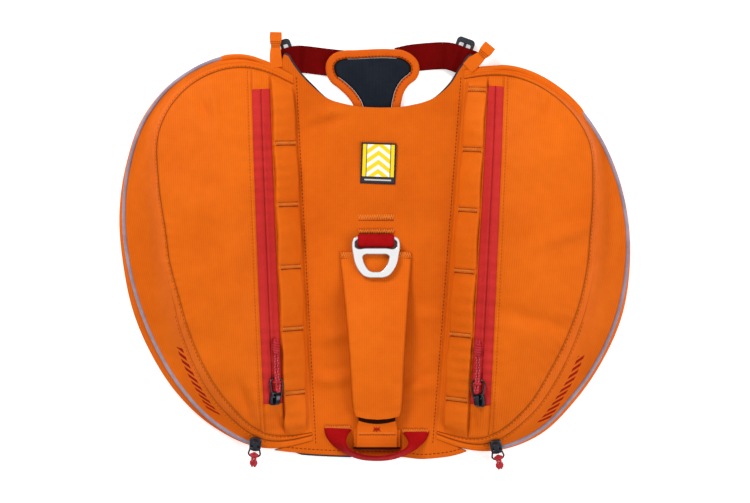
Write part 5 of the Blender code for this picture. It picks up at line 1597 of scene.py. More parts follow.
    def daisy_chain(self) -> Made:
        """The webbing with its row of gear loops, which bows up between bartacks as a squared sine.

        Returns:
            The object and its outside grid.
        """
        share = packed(14)
        edges = []
        for line in self.web_lines:
            v = np.linspace(self.along_at(line[0], False) - 0.3, self.along_at(line[1], True) + 0.3, 260)
            edges.append(np.stack([self.lane(line, v), v], axis=1))
        plan = self.between(*edges, share)
        v = plan[..., 1]
        stops = np.array([v.max() + 0.01, *self.tacks, v.min() - 0.01])
        place = np.clip(np.searchsorted(-stops, -v, side="right") - 1, 0, len(stops) - 2)
        part = (stops[place] - v) / (stops[place] - stops[place + 1])
        nearest = np.abs(v[..., None] - np.array(self.tacks)).min(axis=-1)
        from_end = np.minimum(v[:1] - v, v - v[-1:])
        high = 1.9 + 1.3 * np.sin(math.pi * part) ** 2 - 0.35 * bell(nearest, 1.6)
        lift = 0.1 + (high + 0.25 * np.sin(math.pi * share)) * ease(from_end / 7.0)
        shade = 0.4 * bell(nearest - 2.2, 0.9)
        return self.panel(
            "daisy_chain", plan, TRIM, lift, WEBBING, roll=0.35, reach=0.8, plan_uv=False,
            shade=shade, shade_share=0.5,
        )

    def sew(self) -> None:
        """Adds the bag's stitching: beside the pocket zip, round the flap, and each bartack."""
        v = np.linspace(self.along_at(self.zip_lines[1][0], False) - 1.5,
                        self.along_at(self.zip_lines[1][1], True) + 2.5, 300)
        beside = np.stack([self.lane(self.zip_lines[1], v) + self.stitch_in, v], axis=1)
        FINE_THREAD.seam(*self.line_on(beside, -0.10))
        angles = self.even_angles(500)[12:-12]
        line = self.ring_line("face_edge", SEAM + 1.0, angles)
        HOLE_THREAD.seam(*self.line_on(line, 0.05), pitch=2.9, length=1.5, radius=0.22)
        angles = angles[(angles > 112) & (angles < 166)]
        line = self.ring_line("zip_seam", 1.1, angles)
        HOLE_THREAD.seam(*self.line_on(line, -0.12), pitch=2.9, length=1.5, radius=0.22)
        for garage_end, rear in ((self.zip_ends[0], False), (self.zip_ends[1], True)):
            stop = self.along_at(self.zip_lines[0][1 if rear else 0], rear)
            v = np.linspace(garage_end, stop, 12)[1:-1]
            near = np.stack([self.lane(self.zip_lines[0], v) - 1.2, v], axis=1)
            HOLE_THREAD.seam(*self.line_on(near, 0.0), length=1.5)
        for at in self.tacks:
            ends = [self.lane(line, at) for line in self.web_lines]
            across = np.stack([np.linspace(ends[0] + 0.5, ends[1] - 0.5, 14), np.full(14, at)], axis=1)
            TACK_THREAD.tack(*self.line_on(across, 2.25), height=2.2)
            # The dark row on the rear side paints the shadow under the raised bartack.
            for shift, lift, sewing in ((-1.6, 2.1, HOLE_THREAD), (1.5, 2.15, FINE_THREAD)):
                row = across + np.array([0.0, shift])
                sewing.seam(*self.line_on(row, lift), pitch=1.35, length=1.25, radius=0.3)

    def build(self) -> None:
        """Makes every cloth piece of the bag and its sewing."""
        face, face_grid = self.face_panel()
        flap, flap_grid = self.zip_flap()
        garages = (self.zip_garage(False), self.zip_garage(True))
        self.name("gusset")
        self.name("face_panel")
        for make, held in ((self.gusset, Held.STRETCHED), (self.inner_strip, Held.STRETCHED),
                           (self.pocket_zip, Held.LAID), (self.back_wall, Held.LAID),
                           (self.daisy_chain, Held.LAID)):
            made, grid = make()
            self.name("face_panel")
        self.piping()
        self.sew()


@dataclass
class ZipPull:
    """A zip slider with its wire loop and knotted cord, in the frame of the slider.

    bail_size is the loop's length, and its half widths near the hinge and far from it. rows are the
    cord's middle line by distance and height, knot is where its knot starts and ends, and bar is how
    far the hinge is along and above the slider.
    """

    bag: Saddlebag
    kind: str
    matrix: Matrix
    bail_size: tuple[float, float, float]
    droop: float
    rows: tuple
    knot: tuple[float, float]
    bar: tuple[float, float] = (2.2, 4.6)
    wire: float = 0.65
    strand: float = 0.95
    apart: float = 1.02

    def turned(self, points: Grid, hinge: bool) -> Grid:
        """Points of the slider's frame, or of its hinge's, as points of the pack."""
        points = np.asarray(points, float)
        if hinge:
            points = points + np.array([0.0, self.bar[0], self.bar[1]])
        grid = np.array(self.matrix)
        return points @ grid[:3, :3].T + grid[:3, 3]

    def slider(self) -> None:
        """The slider: a squared ball, a nose plate and an arched bridge swept along its side view."""
        body = squared_ball((8.6, 9.8, 2.7), (0, 0, GAP + 1.35), 0.42)
        nose = squared_ball((7.0, 3.4, 2.2), (0, 3.6, GAP + 2.0), 0.5)
        arch = smooth_line(
            ((-3.4, 2.0), (-3.3, 4.6), (-2.6, 5.8), (-1.2, 6.1), (2.4, 6.1), (3.6, 5.7), (4.1, 4.6), (4.2, 2.0)), 40
        )
        path = np.column_stack([np.zeros(40), arch])
        bridge = loft(strap_rings(path, 0.95, 3.1, up=(1.0, 0.0, 0.0)))
        points, faces = joined([body, nose, bridge])
        name = self.bag.name(f"{self.kind}_slider")
        as_piece(name, (self.turned(points, False), faces), ENAMEL, sharp=60.0)

    def bail(self) -> None:
        """The wire loop: a circle carried round a teardrop, smoothed by a running mean."""
        length, near, far = self.bail_size
        turn = np.radians(np.linspace(90, -90, 13)[1:-1])
        arc = np.stack([far * np.sin(turn), length - far * (1 - np.cos(turn)) * 0.8], axis=1)
        plan = np.concatenate([
            [(-near + 0.8, 0), (near - 0.8, 0), (near, 0.9), (far, length * 0.62)], arc,
            [(-far, length * 0.62), (-near, 0.9), (-near + 0.8, 0)],
        ])
        plan = evenly(plan, 161)[:-1]
        plan = sum(np.roll(plan, k, axis=0) for k in range(-3, 4)) / 7
        path = np.column_stack([plan, -plan[:, 1] * math.tan(math.radians(self.droop))])
        points, faces = tube(path, self.wire, 12, closed=True)
        name = self.bag.name(f"{self.kind}_bail")
        as_piece(name, (self.turned(points, True), faces), ENAMEL, self.bag.name(f"{self.kind}_pull"))

    def cord(self) -> None:
        """The cord: a doubled strand from the loop to its knot, the knot's turns, and two short ends.

        A strand follows the pull's middle line at a side; the knot is a helix on an oval; each is a
        circle carried along its path.
        """
        rows = np.array(self.rows, float)
        start, stop = self.knot

        def middle(along: Grid) -> Grid:
            """The height of the cord's middle at a distance along the pull."""
            return np.interp(along, rows[:, 0], rows[:, 1])

        first = rows[0, 0] + 2.1
        reach = np.linspace(start + 1.0, first, 40)
        bend = np.linspace(0, math.pi, 12)[1:-1]
        x = np.concatenate([np.full(40, self.apart), self.apart * np.cos(bend), np.full(40, -self.apart)])
        y = np.concatenate([reach, first - 0.9 * np.sin(bend), reach[::-1]])
        strands = tube(np.column_stack([x, y, middle(y)]), self.strand, 12)
        turns = max(3.0, (stop - start) / 2.0)
        angle = np.linspace(0, 2 * math.pi * turns, int(28 * turns))
        y = np.linspace(start + 0.6, stop - 0.8, len(angle))
        fat = np.sin(np.linspace(0.35, math.pi - 0.35, len(angle))) ** 0.4
        helix = np.column_stack([2.0 * fat * np.cos(angle), y, middle(y) + 1.15 * fat * np.sin(angle)])
        knot = tube(helix, 0.98, 10, up=(0.0, 1.0, 0.0))
        end = np.linspace(stop - 1.6, stop + 1.3, 12)
        radius = self.strand * np.sqrt(np.clip(1.02 - np.linspace(-0.2, 1, 12) ** 6, 0.02, 1))
        ends = [tube(np.column_stack([np.full(12, side), end, middle(end)]), radius, 12)
                for side in (-self.strand, self.strand)]
        wrap_y = self.bail_size[0] - 2.6
        oval = np.linspace(0, 2 * math.pi, 41)[:-1]
        wrap = np.column_stack([
            2.35 * np.cos(oval), wrap_y + 0.25 * np.sin(oval), middle(wrap_y) + 1.3 * np.sin(oval)
        ])
        wrap = tube(wrap, 0.85, 10, up=(0.0, 1.0, 0.0), closed=True)
        points, faces = joined([strands, knot, *ends, wrap])
        points = self.turned(points, True)
        name = self.bag.name(f"{self.kind}_pull_cord")
        body = self.bag.name(f"{self.kind}_pull")
        as_piece(name, (points, faces), PULL_BRAID, body, sharp=70.0)
        self.flecks(reach, middle, body)

    def flecks(self, reach: Grid, middle: object, body: str) -> None:
        """The pale threads in the braid: short slanted stitches on top of each strand.

        Args:
            reach: distances along the pull.
            middle: gives the height of the cord's middle there.
            body: the body that they ride on.
        """
        y = np.arange(reach.min() + 0.8, reach.max() - 0.6, 1.9)
        fleck = Sewing(self.bag.name(f"{self.kind}_pull_flecks"), FLECK)
        for side in (-self.apart, self.apart):
            lean = np.where(np.arange(len(y)) % 2, 0.3, -0.35)
            points = np.column_stack([side + lean, y + (0.5 if side > 0 else 0.0), middle(y) + 0.83])
            grid = np.array(self.matrix)[:3, :3]
            ways = np.array([0.7, 1.0, 0.0]) @ grid.T
            fleck.add(self.turned(points, True), ways, grid[:, 2], 1.1, 0.2)
        fleck.make(body)

    def build(self) -> None:
        """Makes the slider, its loop and its cord."""
        self.slider()
        self.bail()
        self.cord()


# The cords' middle lines, by the distance from the hinge: the pocket's by the gap over the cloth and the
# half thickness above that gap, the main's by the height over the slope of the wire loop.
POCKET_CORD = (
    (3.2, 4.6, 0.8), (5.5, 4.3, 1.0), (9.5, 3.0, 1.0), (13.2, 1.9, 1.0), (16.5, 1.2, 1.0), (20.0, 0.4, 1.0),
    (28.5, 0.4, 1.0), (31.0, 0.3, 1.9), (36.0, 0.3, 1.9), (39.5, 0.4, 1.6), (41.0, 0.9, 0.8),
)
MAIN_CORD = (
    (3.0, 0.5), (4.6, 1.1), (6.0, 1.7), (8.0, 2.1), (9.8, 1.4), (12.2, -0.2), (14.8, -1.0), (17.2, -1.8),
)


def frame_at(origin: Grid, along: Grid, up: object) -> Matrix:
    """A placing in millimetres whose Y runs along a direction and whose Z is as near to up as it can be.

    Args:
        origin: its origin.
        along: the direction of its Y.
        up: the direction that its Z keeps to.

    Returns:
        The placing.
    """
    along = unit(np.asarray(along, float))
    across = unit(np.cross(along, up))
    normal = np.cross(across, along)
    rows = np.column_stack([across, along, normal, origin])
    return Matrix([*rows.tolist(), [0, 0, 0, 1]])


def cloth_under(bag: Saddlebag, placing: Matrix, along: float) -> float:
    """The height of the cloth in a hinge's frame, found by stepping down to it six times.

    Args:
        bag: the bag that the pull lies on.
        placing: the hinge's placing.
        along: the distance along the pull.

    Returns:
        The height.
    """
    z = 0.0
    for _ in range(6):
        point = np.array(placing @ Vector((0, along, z)))
        plan = point[:2] - np.array(bag.pole)
        height = float(bag.height(plan @ bag.outward, plan @ bag.forward))
        z -= (point[2] - height) / placing[2][2]
    return z


def pocket_pull(bag: Saddlebag, spot: tuple[float, float], lean: float) -> ZipPull:
    """The pocket zip's slider and pull.

    Args:
        bag: its bag.
        spot: where the slider is on the bag's plan.
        lean: how far it leans from the seam's direction.

    Returns:
        The pull.
    """
    u, v = np.array(spot[0]), np.array(spot[1])
    way = bag.outwards(u, v)
    origin = bag.place(u, v, bag.height(u, v)) - way * 0.35
    along = np.array([*(lean * bag.outward + bag.forward), 0.0])
    along -= way * np.dot(along, way)
    matrix = frame_at(origin, along, way)
    hinge = matrix @ Matrix.Translation((0, *ZipPull.bar))
    length, clearance = 13.2, 0.5
    low = cloth_under(bag, hinge, length) + clearance + ZipPull.wire
    droop = math.degrees(math.atan2(-low, length))
    rows = tuple((at, cloth_under(bag, hinge, at) + off + thick) for at, off, thick in POCKET_CORD)
    return ZipPull(bag, "pocket", matrix, (length, 3.4, 4.9), droop, rows, (30.2, 40.0))


def main_pull(bag: Saddlebag, spot: tuple[float, float], way: tuple[float, float]) -> ZipPull:
    """The main zip's slider and pull, past the rear end of the gusset.

    Args:
        bag: its bag.
        spot: where the slider is on the bag's plan.
        way: the plan direction that the pull points in.

    Returns:
        The pull.
    """
    origin = bag.place(*spot, 11.8)
    plan = way[0] * bag.outward + way[1] * bag.forward
    along = np.array([*plan, -math.tan(math.radians(22.0)) * np.linalg.norm(plan)])
    matrix = frame_at(origin, along, UP)
    droop = 14.0
    fall = math.tan(math.radians(droop))
    rows = tuple((at, z - at * fall) for at, z in MAIN_CORD)
    return ZipPull(bag, "main", matrix, (8.0, 3.4, 4.3), droop, rows, (10.6, 16.6))


# Plan places along the panel's front and rear edges, from left to right, and its folds.
NECKLINE = (
    (-65.4, 140.3), (-62.9, 139.6), (-60.0, 135.1), (-54.1, 126.9), (-45.1, 117.6), (-34.5, 109.2),
    (-20.0, 104.6), (4.0, 102.3), (24.0, 103.7), (42.5, 109.4), (53.6, 118.4), (62.8, 132.2),
    (69.6, 139.5), (72.2, 137.6),
)
HEM = (
    (-72.4, -143.9), (-61.2, -145.2), (-44.6, -146.6), (-21.6, -147.6), (4.0, -148.2), (21.6, -149.0),
    (32.4, -150.2), (43.2, -149.6), (54.0, -148.2), (62.4, -146.0), (66.0, -144.6),
)
CENTRE_FOLDS = (
    (-33.0, 99.0, 70, 16, 4.0, 1.1), (-34.0, -93.0, 88, 15, 4.5, 1.5), (36.0, -98.0, 82, 15, 4.5, 1.5),
    (-49.7, -136.6, 66, 7, 1.8, 1.0), (-33.0, -62.0, 84, 14, 5.0, 1.0), (38.0, -48.0, 96, 14, 5.5, 0.9),
    (2.0, 40.0, 90, 34, 16.0, 0.9), (-34.0, -86.5, 84, 13, 2.6, -0.6), (38.0, -90.0, 88, 13, 2.6, -0.6),
    (-30.0, 92.0, 74, 18, 3.0, -0.7),
)


@dataclass
class CentrePanel:
    """The panel along the dog's back, its lining and its patch.

    wings and horns are the angles of each bag's rear and front end that the outline follows, and tuck
    is how far it reaches under a bag along the seam.
    """

    left: Saddlebag
    right: Saddlebag
    wings: tuple = ((171.5, 174.5, 177.5), (174.0, 176.0, 178.0))
    horns: tuple = ((2.0, 4.0), (2.4, 4.4))
    clear: float = -0.3
    tuck: float = 0.4
    sewn_in: float = 2.1
    hem_in: float = 3.4
    fold_gain: float = 2.0
    rumple: float = 0.6
    pucker: float = 0.48
    label_at: tuple[float, float] = (2.4, 62.2)
    label_turn: float = -2.0

    def on_label(self, plan: Grid) -> Grid:
        """Places on the patch as places on the pack."""
        turn = np.array(Matrix.Rotation(math.radians(self.label_turn), 2))
        return plan @ turn.T + np.array(self.label_at)

    def side(self, bag: Saddlebag, wing: tuple, horn: tuple) -> Grid:
        """One side of the outline: round the bag's rear end, up the seam, round its front end.

        Args:
            bag: the bag on that side.
            wing: angles round the rear end.
            horn: angles round the front end.

        Returns:
            The plan points.
        """
        rear = -float(bag.column("outline", 180.0)) - self.clear
        front = float(bag.column("outline", 0.0)) + self.clear
        v = np.linspace(rear, front, 110)
        seam = np.stack([np.full(110, self.tuck), v], axis=1)
        plan = np.concatenate([
            bag.ring_line("outline", self.clear, np.array(wing)), seam,
            bag.ring_line("outline", self.clear, np.array(horn)),
        ])
        return bag.place(plan[:, 0], plan[:, 1], 0.0)[:, :2]

    def outline(self, grow: float) -> Grid:
        """The whole outline, grown at the shoulders of the neckline and at the left of the hem."""
        neck, hem = smooth_line(NECKLINE, 90), smooth_line(HEM, 70)
        shoulder = ease((np.abs(neck[:, :1] - 4.0) - 30.0) / 22.0)
        tail = ease((-10.0 - hem[:, :1]) / 8.0) * ease((hem[:, :1] + 60.0) / 8.0)
        neck = neck + across_line(neck) * (grow * shoulder - 0.4 * (grow > 0))
        hem = hem - across_line(hem) * (grow * tail - 0.4 * (grow > 0))
        left = self.side(self.left, self.wings[0], self.horns[0])
        right = self.side(self.right, self.wings[1], self.horns[1])
        return np.concatenate([left, neck, right[::-1], hem[::-1]])

    def inside(self, outline: Grid, x: Grid, y: Grid) -> Grid:
        """Whether plan places lie inside the outline: an odd number of its edges cross their row."""
        ax, ay = outline[:, :1], outline[:, 1:]
        bx, by = np.roll(ax, -1, axis=0), np.roll(ay, -1, axis=0)
        rise = np.where(by == ay, 1.0, by - ay)
        crosses = ((ay > y) != (by > y)) & (x < ax + (y - ay) * (bx - ax) / rise)
        return crosses.sum(axis=0) % 2 == 1

    def away(self, outline: Grid, x: Grid, y: Grid) -> Grid:
        """The distance from plan places to the nearest edge, by projecting onto every edge."""
        nearest = np.full(x.shape, np.inf)
        for a, b in zip(outline, np.roll(outline, -1, axis=0)):
            run = b - a
            share = np.clip(((x - a[0]) * run[0] + (y - a[1]) * run[1]) / max(run @ run, 1e-9), 0, 1)
            nearest = np.minimum(nearest, np.hypot(x - a[0] - share * run[0], y - a[1] - share * run[1]))
        return nearest

    def cushion(self, name: str, outline: Grid, spacing: float, upper: object, lower: object,
                finish: Finish, nodes: tuple[str, ...] | None = None) -> tuple[Item, float]:
        """A flat piece of any outline between two heights.

        The outline and a staggered grid inside it are joined into triangles; each point goes up to
        one height and down to the other, and the rim is closed.

        Args:
            name: the node's name.
            outline: the plan outline.
            spacing: the distance between inner points.
            upper: gives the outside's height at a plan place and its distance from the edge.
            lower: gives the inside's.
            finish: the finish.
            nodes: the nodes that it stands for, if not just the one of its name.

        Returns:
            The object and its plan area in square metres.
        """
        low, high = outline.min(axis=0), outline.max(axis=0)
        x, y = np.meshgrid(np.arange(low[0], high[0], spacing), np.arange(low[1], high[1], spacing))
        x = (x + np.where(np.arange(len(x)) % 2, spacing / 2, 0)[:, None]).ravel()
        y = y.ravel()
        keep = self.inside(outline, x, y)
        x, y = x[keep], y[keep]
        away = self.away(outline, x, y)
        grid = np.stack([x, y], axis=1)[away > 0.6 * spacing]
        edge = unit(np.roll(outline, -1, axis=0) - np.roll(outline, 1, axis=0))
        inward = np.stack([edge[:, 1], -edge[:, 0]], axis=1)
        ring = outline + inward * 0.7
        kept = self.inside(outline, *ring.T)
        ring = ring[kept & (self.away(outline, *ring.T) > 0.5)]
        plan = np.concatenate([outline, ring, grid])
        edges = [(k, (k + 1) % len(outline)) for k in range(len(outline))]
        made = delaunay_2d_cdt([Vector(place) for place in plan.tolist()], edges, [], 1, 1e-4)
        plan = np.array([tuple(place) for place in made[0]])
        top = np.array([tuple(face) for face in made[2]])
        away = self.away(outline, *plan.T)
        both = [np.column_stack([plan, shape(plan[:, 0], plan[:, 1], away)]) for shape in (upper, lower)]
        count = len(plan)
        pairs = np.concatenate([top[:, [0, 1]], top[:, [1, 2]], top[:, [2, 0]]])
        code = pairs[:, 0] * count + pairs[:, 1]
        rim = pairs[~np.isin(code, pairs[:, 1] * count + pairs[:, 0])]
        rim = np.column_stack([rim[:, 1], rim[:, 0], rim[:, 0] + count, rim[:, 1] + count])
        faces = [top, top[:, ::-1] + count, rim]
        # Painted shade along the rim.
        seam = np.concatenate([0.3 * (1 - ease(away / 1.4))] * 2)
        piece = as_piece(name, (np.concatenate(both), faces), finish, seam=seam, replaces=nodes)
        a, b, c = (plan[top[:, k]] for k in range(3))
        area = 0.5 * np.abs(np.cross(b - a, c - a)).sum() * MM * MM
        return piece, float(area)

    def surface(self, x: Grid, y: Grid, away: Grid) -> Grid:
        """The top of the panel: level cloth with folds, rumples, puckers and a rolled edge."""
        fade = ease(away / 9.0)
        height = PANEL_TOP + TOP_SHARE * shoulder_lift(x, y)
        height = height + self.fold_gain * folds(CENTRE_FOLDS, x, y) * fade
        height = height + self.rumple * rumples(x, y, 2.1) * fade
        height = height + self.pucker * puckers(y, away, 1.1) * ease(away / 3.0)
        return height - 0.2 * (1 - ease(away / 1.5))

    def panel(self) -> None:
        """The orange panel."""
        outline = self.outline(0.0)

        def lower(x: Grid, y: Grid, away: Grid) -> Grid:
            """The inside, a cloth's thickness below."""
            return np.maximum(self.surface(x, y, away) - CLOTH, LINING_TOP + TOP_SHARE * shoulder_lift(x, y) + 0.2)

        made, area = self.cushion("centre_panel", outline, 2.6, self.surface, lower, PANEL_CLOTH)

    def lining(self) -> None:
        """The padded lining, grooved underneath for the straps that run below it."""
        outline = self.outline(1.7)

        def upper(x: Grid, y: Grid, away: Grid) -> Grid:
            """The top, rounded off at the edge."""
            return LINING_TOP + TOP_SHARE * shoulder_lift(x, y) - 0.5 * (1 - ease(away / 1.2))

        def lower(x: Grid, y: Grid, away: Grid) -> Grid:
            """The underside: on the floor, but over the pad's neck, the strap and the buckle."""
            rise = shoulder_lift(x, y)
            neck = 3.9 * ease((19.6 - np.abs(x - 1.6)) / 1.2) * ease((y + 86.0) / 1.5)
            strap = 2.9 * ease((13.9 - np.abs(y - GIRTH_Y)) / 1.2)
            keeper = 4.6 * ease((11.6 - np.abs(x - 0.5)) / 1.2) * ease((16.2 - np.abs(y - GIRTH_Y)) / 1.2)
            buckle = 4.6 * ease((15.1 - np.abs(x - BUCKLE_X)) / 1.2) * ease((14.6 - np.abs(y - GIRTH_Y)) / 1.2)
            for groove in (neck, strap, keeper, buckle):
                rise = np.maximum(rise, groove)
            return rise + 0.5 * (1 - ease(away / 1.2))

        nodes = ("lining", "lining_shoulder_left", "lining_shoulder_right")
        made, _ = self.cushion("lining", outline, 2.9, upper, lower, LINING_CLOTH, nodes)

    def patch(self) -> None:
        """The woven patch: a thin slab with rounded edges, on the panel's own shape."""
        half_x, half_y = LABEL_SIZE[0] / 2, LABEL_SIZE[1] / 2
        x, y = np.meshgrid(half_x * (2 * packed(40) - 1), half_y * (2 * packed(46) - 1), indexing="ij")
        edge = np.minimum(half_x - np.abs(x), half_y - np.abs(y))
        low = np.full(x.shape, PANEL_TOP + 1.3)
        high = low + 0.8 - 0.35 * (1 - ease(edge / 0.6)) + 0.06 * np.sin(x / 2.3) * np.cos(y / 3.1)
        plan = self.on_label(np.stack([x, y], axis=-1))
        outer, inner = np.dstack([plan, high]), np.dstack([plan, low])
        made = wall_piece("label_patch", outer, inner, PATCH, np.stack([x, y], axis=-1))

    def sew(self) -> None:
        """The stitches beside each bag's seam, along the hem and round the patch."""
        for bag in (self.left, self.right):
            v = np.linspace(-136.0, 128.0, 200)
            line = bag.place(np.full(200, -self.sewn_in), v, 0.0)
            line[:, 2] = self.surface(line[:, 0], line[:, 1], np.full(200, self.sewn_in)) + 0.05
            HOLE_THREAD.seam(line, UP, pitch=2.6, length=1.7, radius=0.24)
        hem = smooth_line(HEM, 200)
        line = hem + across_line(hem) * self.hem_in
        line = line[np.abs(line[:, 0]) < 64]
        height = self.surface(line[:, 0], line[:, 1], np.full(len(line), self.hem_in)) + 0.05
        HOLE_THREAD.seam(np.column_stack([line, height]), UP, pitch=3.0, length=2.0, radius=0.26)
        x, y = LABEL_SIZE[0] / 2 - 0.6, LABEL_SIZE[1] / 2 - 0.6
        box = np.array([(-x, -y), (x, -y), (x, y), (-x, y), (-x, -y)])
        box = self.on_label(evenly(box, 160))
        patch = Sewing("patch_stitching", PAD_CLOTH)
        patch.seam(np.column_stack([box, np.full(160, PANEL_TOP + 2.1)]), UP, 1.6, 1.2, 0.16)
        patch.make()

    def build(self) -> None:
        """Makes the panel, its lining, its patch and its sewing."""
        self.panel()
        self.lining()
        self.patch()
        self.sew()


@dataclass
class CarryHandle:
    """The padded handle, its tab, its anchor and the loop at the tail.

    The sleeve's rows are y, middle, half width, underside and thickness; the tab's are y, underside and
    width; the loop's are the places of its outer and inner edge, and the height between them.
    """

    table: tuple = (
        (-1.4, 0.4, 25.7, 8.05, 1.8), (-6.0, 0.4, 25.6, 8.05, 2.0), (-12.0, 0.6, 25.2, 8.1, 2.4),
        (-22.0, 0.8, 24.2, 8.8, 3.4), (-34.0, 1.0, 23.2, 11.4, 5.2), (-50.0, 1.2, 21.9, 14.0, 6.0),
        (-72.0, 1.4, 20.2, 15.2, 6.2), (-95.0, 1.6, 19.0, 13.8, 6.2), (-110.0, 1.7, 18.2, 11.6, 6.2),
        (-117.0, 1.8, 17.6, 10.6, 6.0), (-121.0, 1.8, 16.6, 10.2, 5.8),
    )
    tab: tuple = (
        (-106.0, 14.2, 26.5), (-116.0, 13.0, 26.5), (-122.0, 12.4, 26.5), (-128.0, 10.4, 29.0),
        (-134.0, 9.8, 29.5), (-143.0, 9.8, 29.5),
    )
    loop: tuple = (
        (-36.6, -128.5, -16.8, -129.5, 0.0), (-35.0, -134.0, -19.6, -132.8, 8.0),
        (-30.6, -139.4, -20.6, -136.8, 13.5), (-21.6, -145.0, -17.6, -142.2, 16.5),
        (-13.0, -148.8, -10.8, -145.4, 17.0), (-0.2, -150.5, 0.0, -146.8, 17.0),
        (13.0, -149.4, 11.0, -145.8, 17.0), (21.6, -146.4, 18.8, -143.2, 16.5),
        (31.0, -141.4, 23.6, -138.6, 14.0), (36.4, -136.6, 22.8, -135.0, 8.0),
        (38.9, -131.3, 20.0, -131.4, 0.0),
    )
    wall: float = 1.4

    def rings(self, first: float, shrink: float, count: int) -> Grid:
        """Rings of the sleeve: a squared circle for each place along it, with a low crown on top.

        Args:
            first: the row of the table to start from.
            shrink: how far inside the sleeve's outside the rings lie.
            count: how many rings.

        Returns:
            The rings' points.
        """
        at = first + (len(self.table) - 1 - first) * packed(count, 0.4)
        y, middle, half, under, thick = (
            smooth_values(np.arange(len(self.table)), column, at) for column in np.array(self.table).T
        )
        turn = np.arange(72) * 2 * math.pi / 72
        across = squared(np.cos(turn), 0.35)
        up = squared(np.sin(turn), 0.55)
        half_z = thick / 2 - shrink
        x = middle[:, None] + (half - shrink)[:, None] * across
        crown = 0.5 * (1 - across**2) * (up > 0)
        z = (under + thick / 2)[:, None] + half_z[:, None] * up + crown
        ripple = 0.18 * rumples(x, y[:, None], 4.0) + 0.22 * puckers(y[:, None], half[:, None] - np.abs(x), 3.0)
        z = z + np.where(up > 0.2, ripple, 0.0) * ease((-6.0 - y) / 6.0)[:, None]
        lip = ease((-106.0 - y) / 15.0)[:, None]
        y = y[:, None] + lip * (2.2 * across**2 - 0.5 * (1 - across**2))
        return np.stack([x, np.broadcast_to(y, x.shape), z], axis=-1)

    def sleeve(self) -> None:
        """The sleeve: an outer and an inner skin, joined round its open rear end."""
        outside, inside = self.rings(0.0, 0.0, 110), self.rings(4.0, self.wall, 60)
        sides = outside.shape[1]
        outer = np.arange(len(outside) * sides).reshape(len(outside), sides)
        inner = outer.size + np.arange(len(inside) * sides).reshape(len(inside), sides)
        outer_round = np.concatenate([outer, outer[:, :1]], axis=1)
        inner_round = np.concatenate([inner, inner[:, :1]], axis=1)
        faces = [quads(outer_round), quads(inner_round[::-1]), outer[:1], inner[:1, ::-1]]
        faces.append(quads(np.stack([outer_round[-1], inner_round[-1]])))
        points = np.concatenate([outside.reshape(-1, 3), inside.reshape(-1, 3)])
        # Painted shade: darker towards the sleeve's sides, and the whole inner skin dark, as the inside is in
        # shadow.
        edge = np.abs(outside[..., 0] - outside[..., 0].mean(axis=1, keepdims=True))
        half = edge.max(axis=1, keepdims=True)
        seam = np.concatenate([(1 - ease((half - edge) / 2.4)).ravel() * 0.8, np.full(inside.size // 3, 1.0)])
        made = as_piece("handle_sleeve", (points, faces), SHELL, seam=seam)

    def strip(self, name: str, rows: Grid) -> None:
        """A flat strip along Y: a wall over its rows, eased down at its edges, with painted shadow in the sleeve's
        mouth and at its rear end.

        Args:
            name: the node's name.
            rows: y, underside height and width.
        """
        line = smooth_line(rows, 150)
        share = packed(30)
        x = 1.4 + line[:, 2:] * (share - 0.5)
        y, low = (np.broadcast_to(line[:, [k]], x.shape) for k in (0, 1))
        edge = np.minimum(x - x[:, :1], x[:, -1:] - x)
        high = low + WEBBING - 0.45 * (1 - ease(edge / 0.6))
        # Painted shadow under the sleeve's lip and at the rear end under the loop, and painted shade at the edges.
        lip = -121.4 - 3.4 * (1 - ((x - 1.7) / 16.4) ** 2)
        shadow = np.maximum(ease((y - lip) / 0.5 + 0.5), ease((-140.6 - y) / 1.4))
        seam = np.maximum(0.25 * (1 - ease(edge / 1.2)), shadow)
        made = wall_piece(name, np.dstack([x, y, high]), np.dstack([x, y, low]), TAB_WEB, seam=seam)

    def rear_loop(self) -> None:
        """The red loop: flat where sewn, on edge behind the tab; rows between its two edge lines."""
        rows = smooth_line(self.loop, 170)
        outer = np.column_stack([rows[:, 0], rows[:, 1], np.full(170, 8.25)])
        inner = np.column_stack([rows[:, 2], rows[:, 3], 8.25 + rows[:, 4]])
        normal = unit(np.cross(np.gradient((outer + inner) / 2, axis=0), inner - outer))
        share = packed(12)
        lower = outer[:, None] * (1 - share[:, None]) + inner[:, None] * share[:, None]
        thick = 0.55 + 0.85 * ease(np.minimum(share, 1 - share) / 0.08)
        upper = lower + normal[:, None] * thick[:, None]
        width = np.linalg.norm(inner - outer, axis=1)
        run = run_along((outer + inner) / 2)
        uv = np.stack([width[:, None] * share, np.broadcast_to(run[:, None], (170, 12))], axis=-1)
        # Painted shade along the loop's edges.
        seam = np.broadcast_to(0.5 * (1 - ease(np.minimum(share, 1 - share) / 0.15)), (170, 12))
        made = wall_piece("rear_loop", lower, upper, RED_WEB, uv, seam)

    def sew(self) -> None:
        """The bartacks at the handle's ends and the loop's, and the small cross-stitch on the tab."""
        boxed_tack(-24.4, 25.4, -3.5, 10.1, 4.0)
        boxed_tack(-35.6, -17.6, -127.4, 8.9, 3.0)
        boxed_tack(19.6, 38.0, -129.9, 8.9, 3.0)
        line = np.column_stack([np.linspace(-11.6, 14.2, 20), np.full(20, -132.6), np.full(20, 11.35)])
        HOLE_THREAD.seam(line, UP, 1.9, 1.5, 0.26)
        TACK_THREAD.tack(line + np.array([0.0, 1.0, -0.05]), UP, 1.4, 0.7, 0.24)
        centre = np.array([1.3, -128.4, 11.95])
        for angle, length in ((32, 6.6), (-32, 6.6), (90, 4.4), (0, 5.2)):
            way = np.array([math.cos(math.radians(angle)), math.sin(math.radians(angle)), 0.0])
            CROSS_THREAD.add(centre[None], way, np.array(UP), length, 0.32)

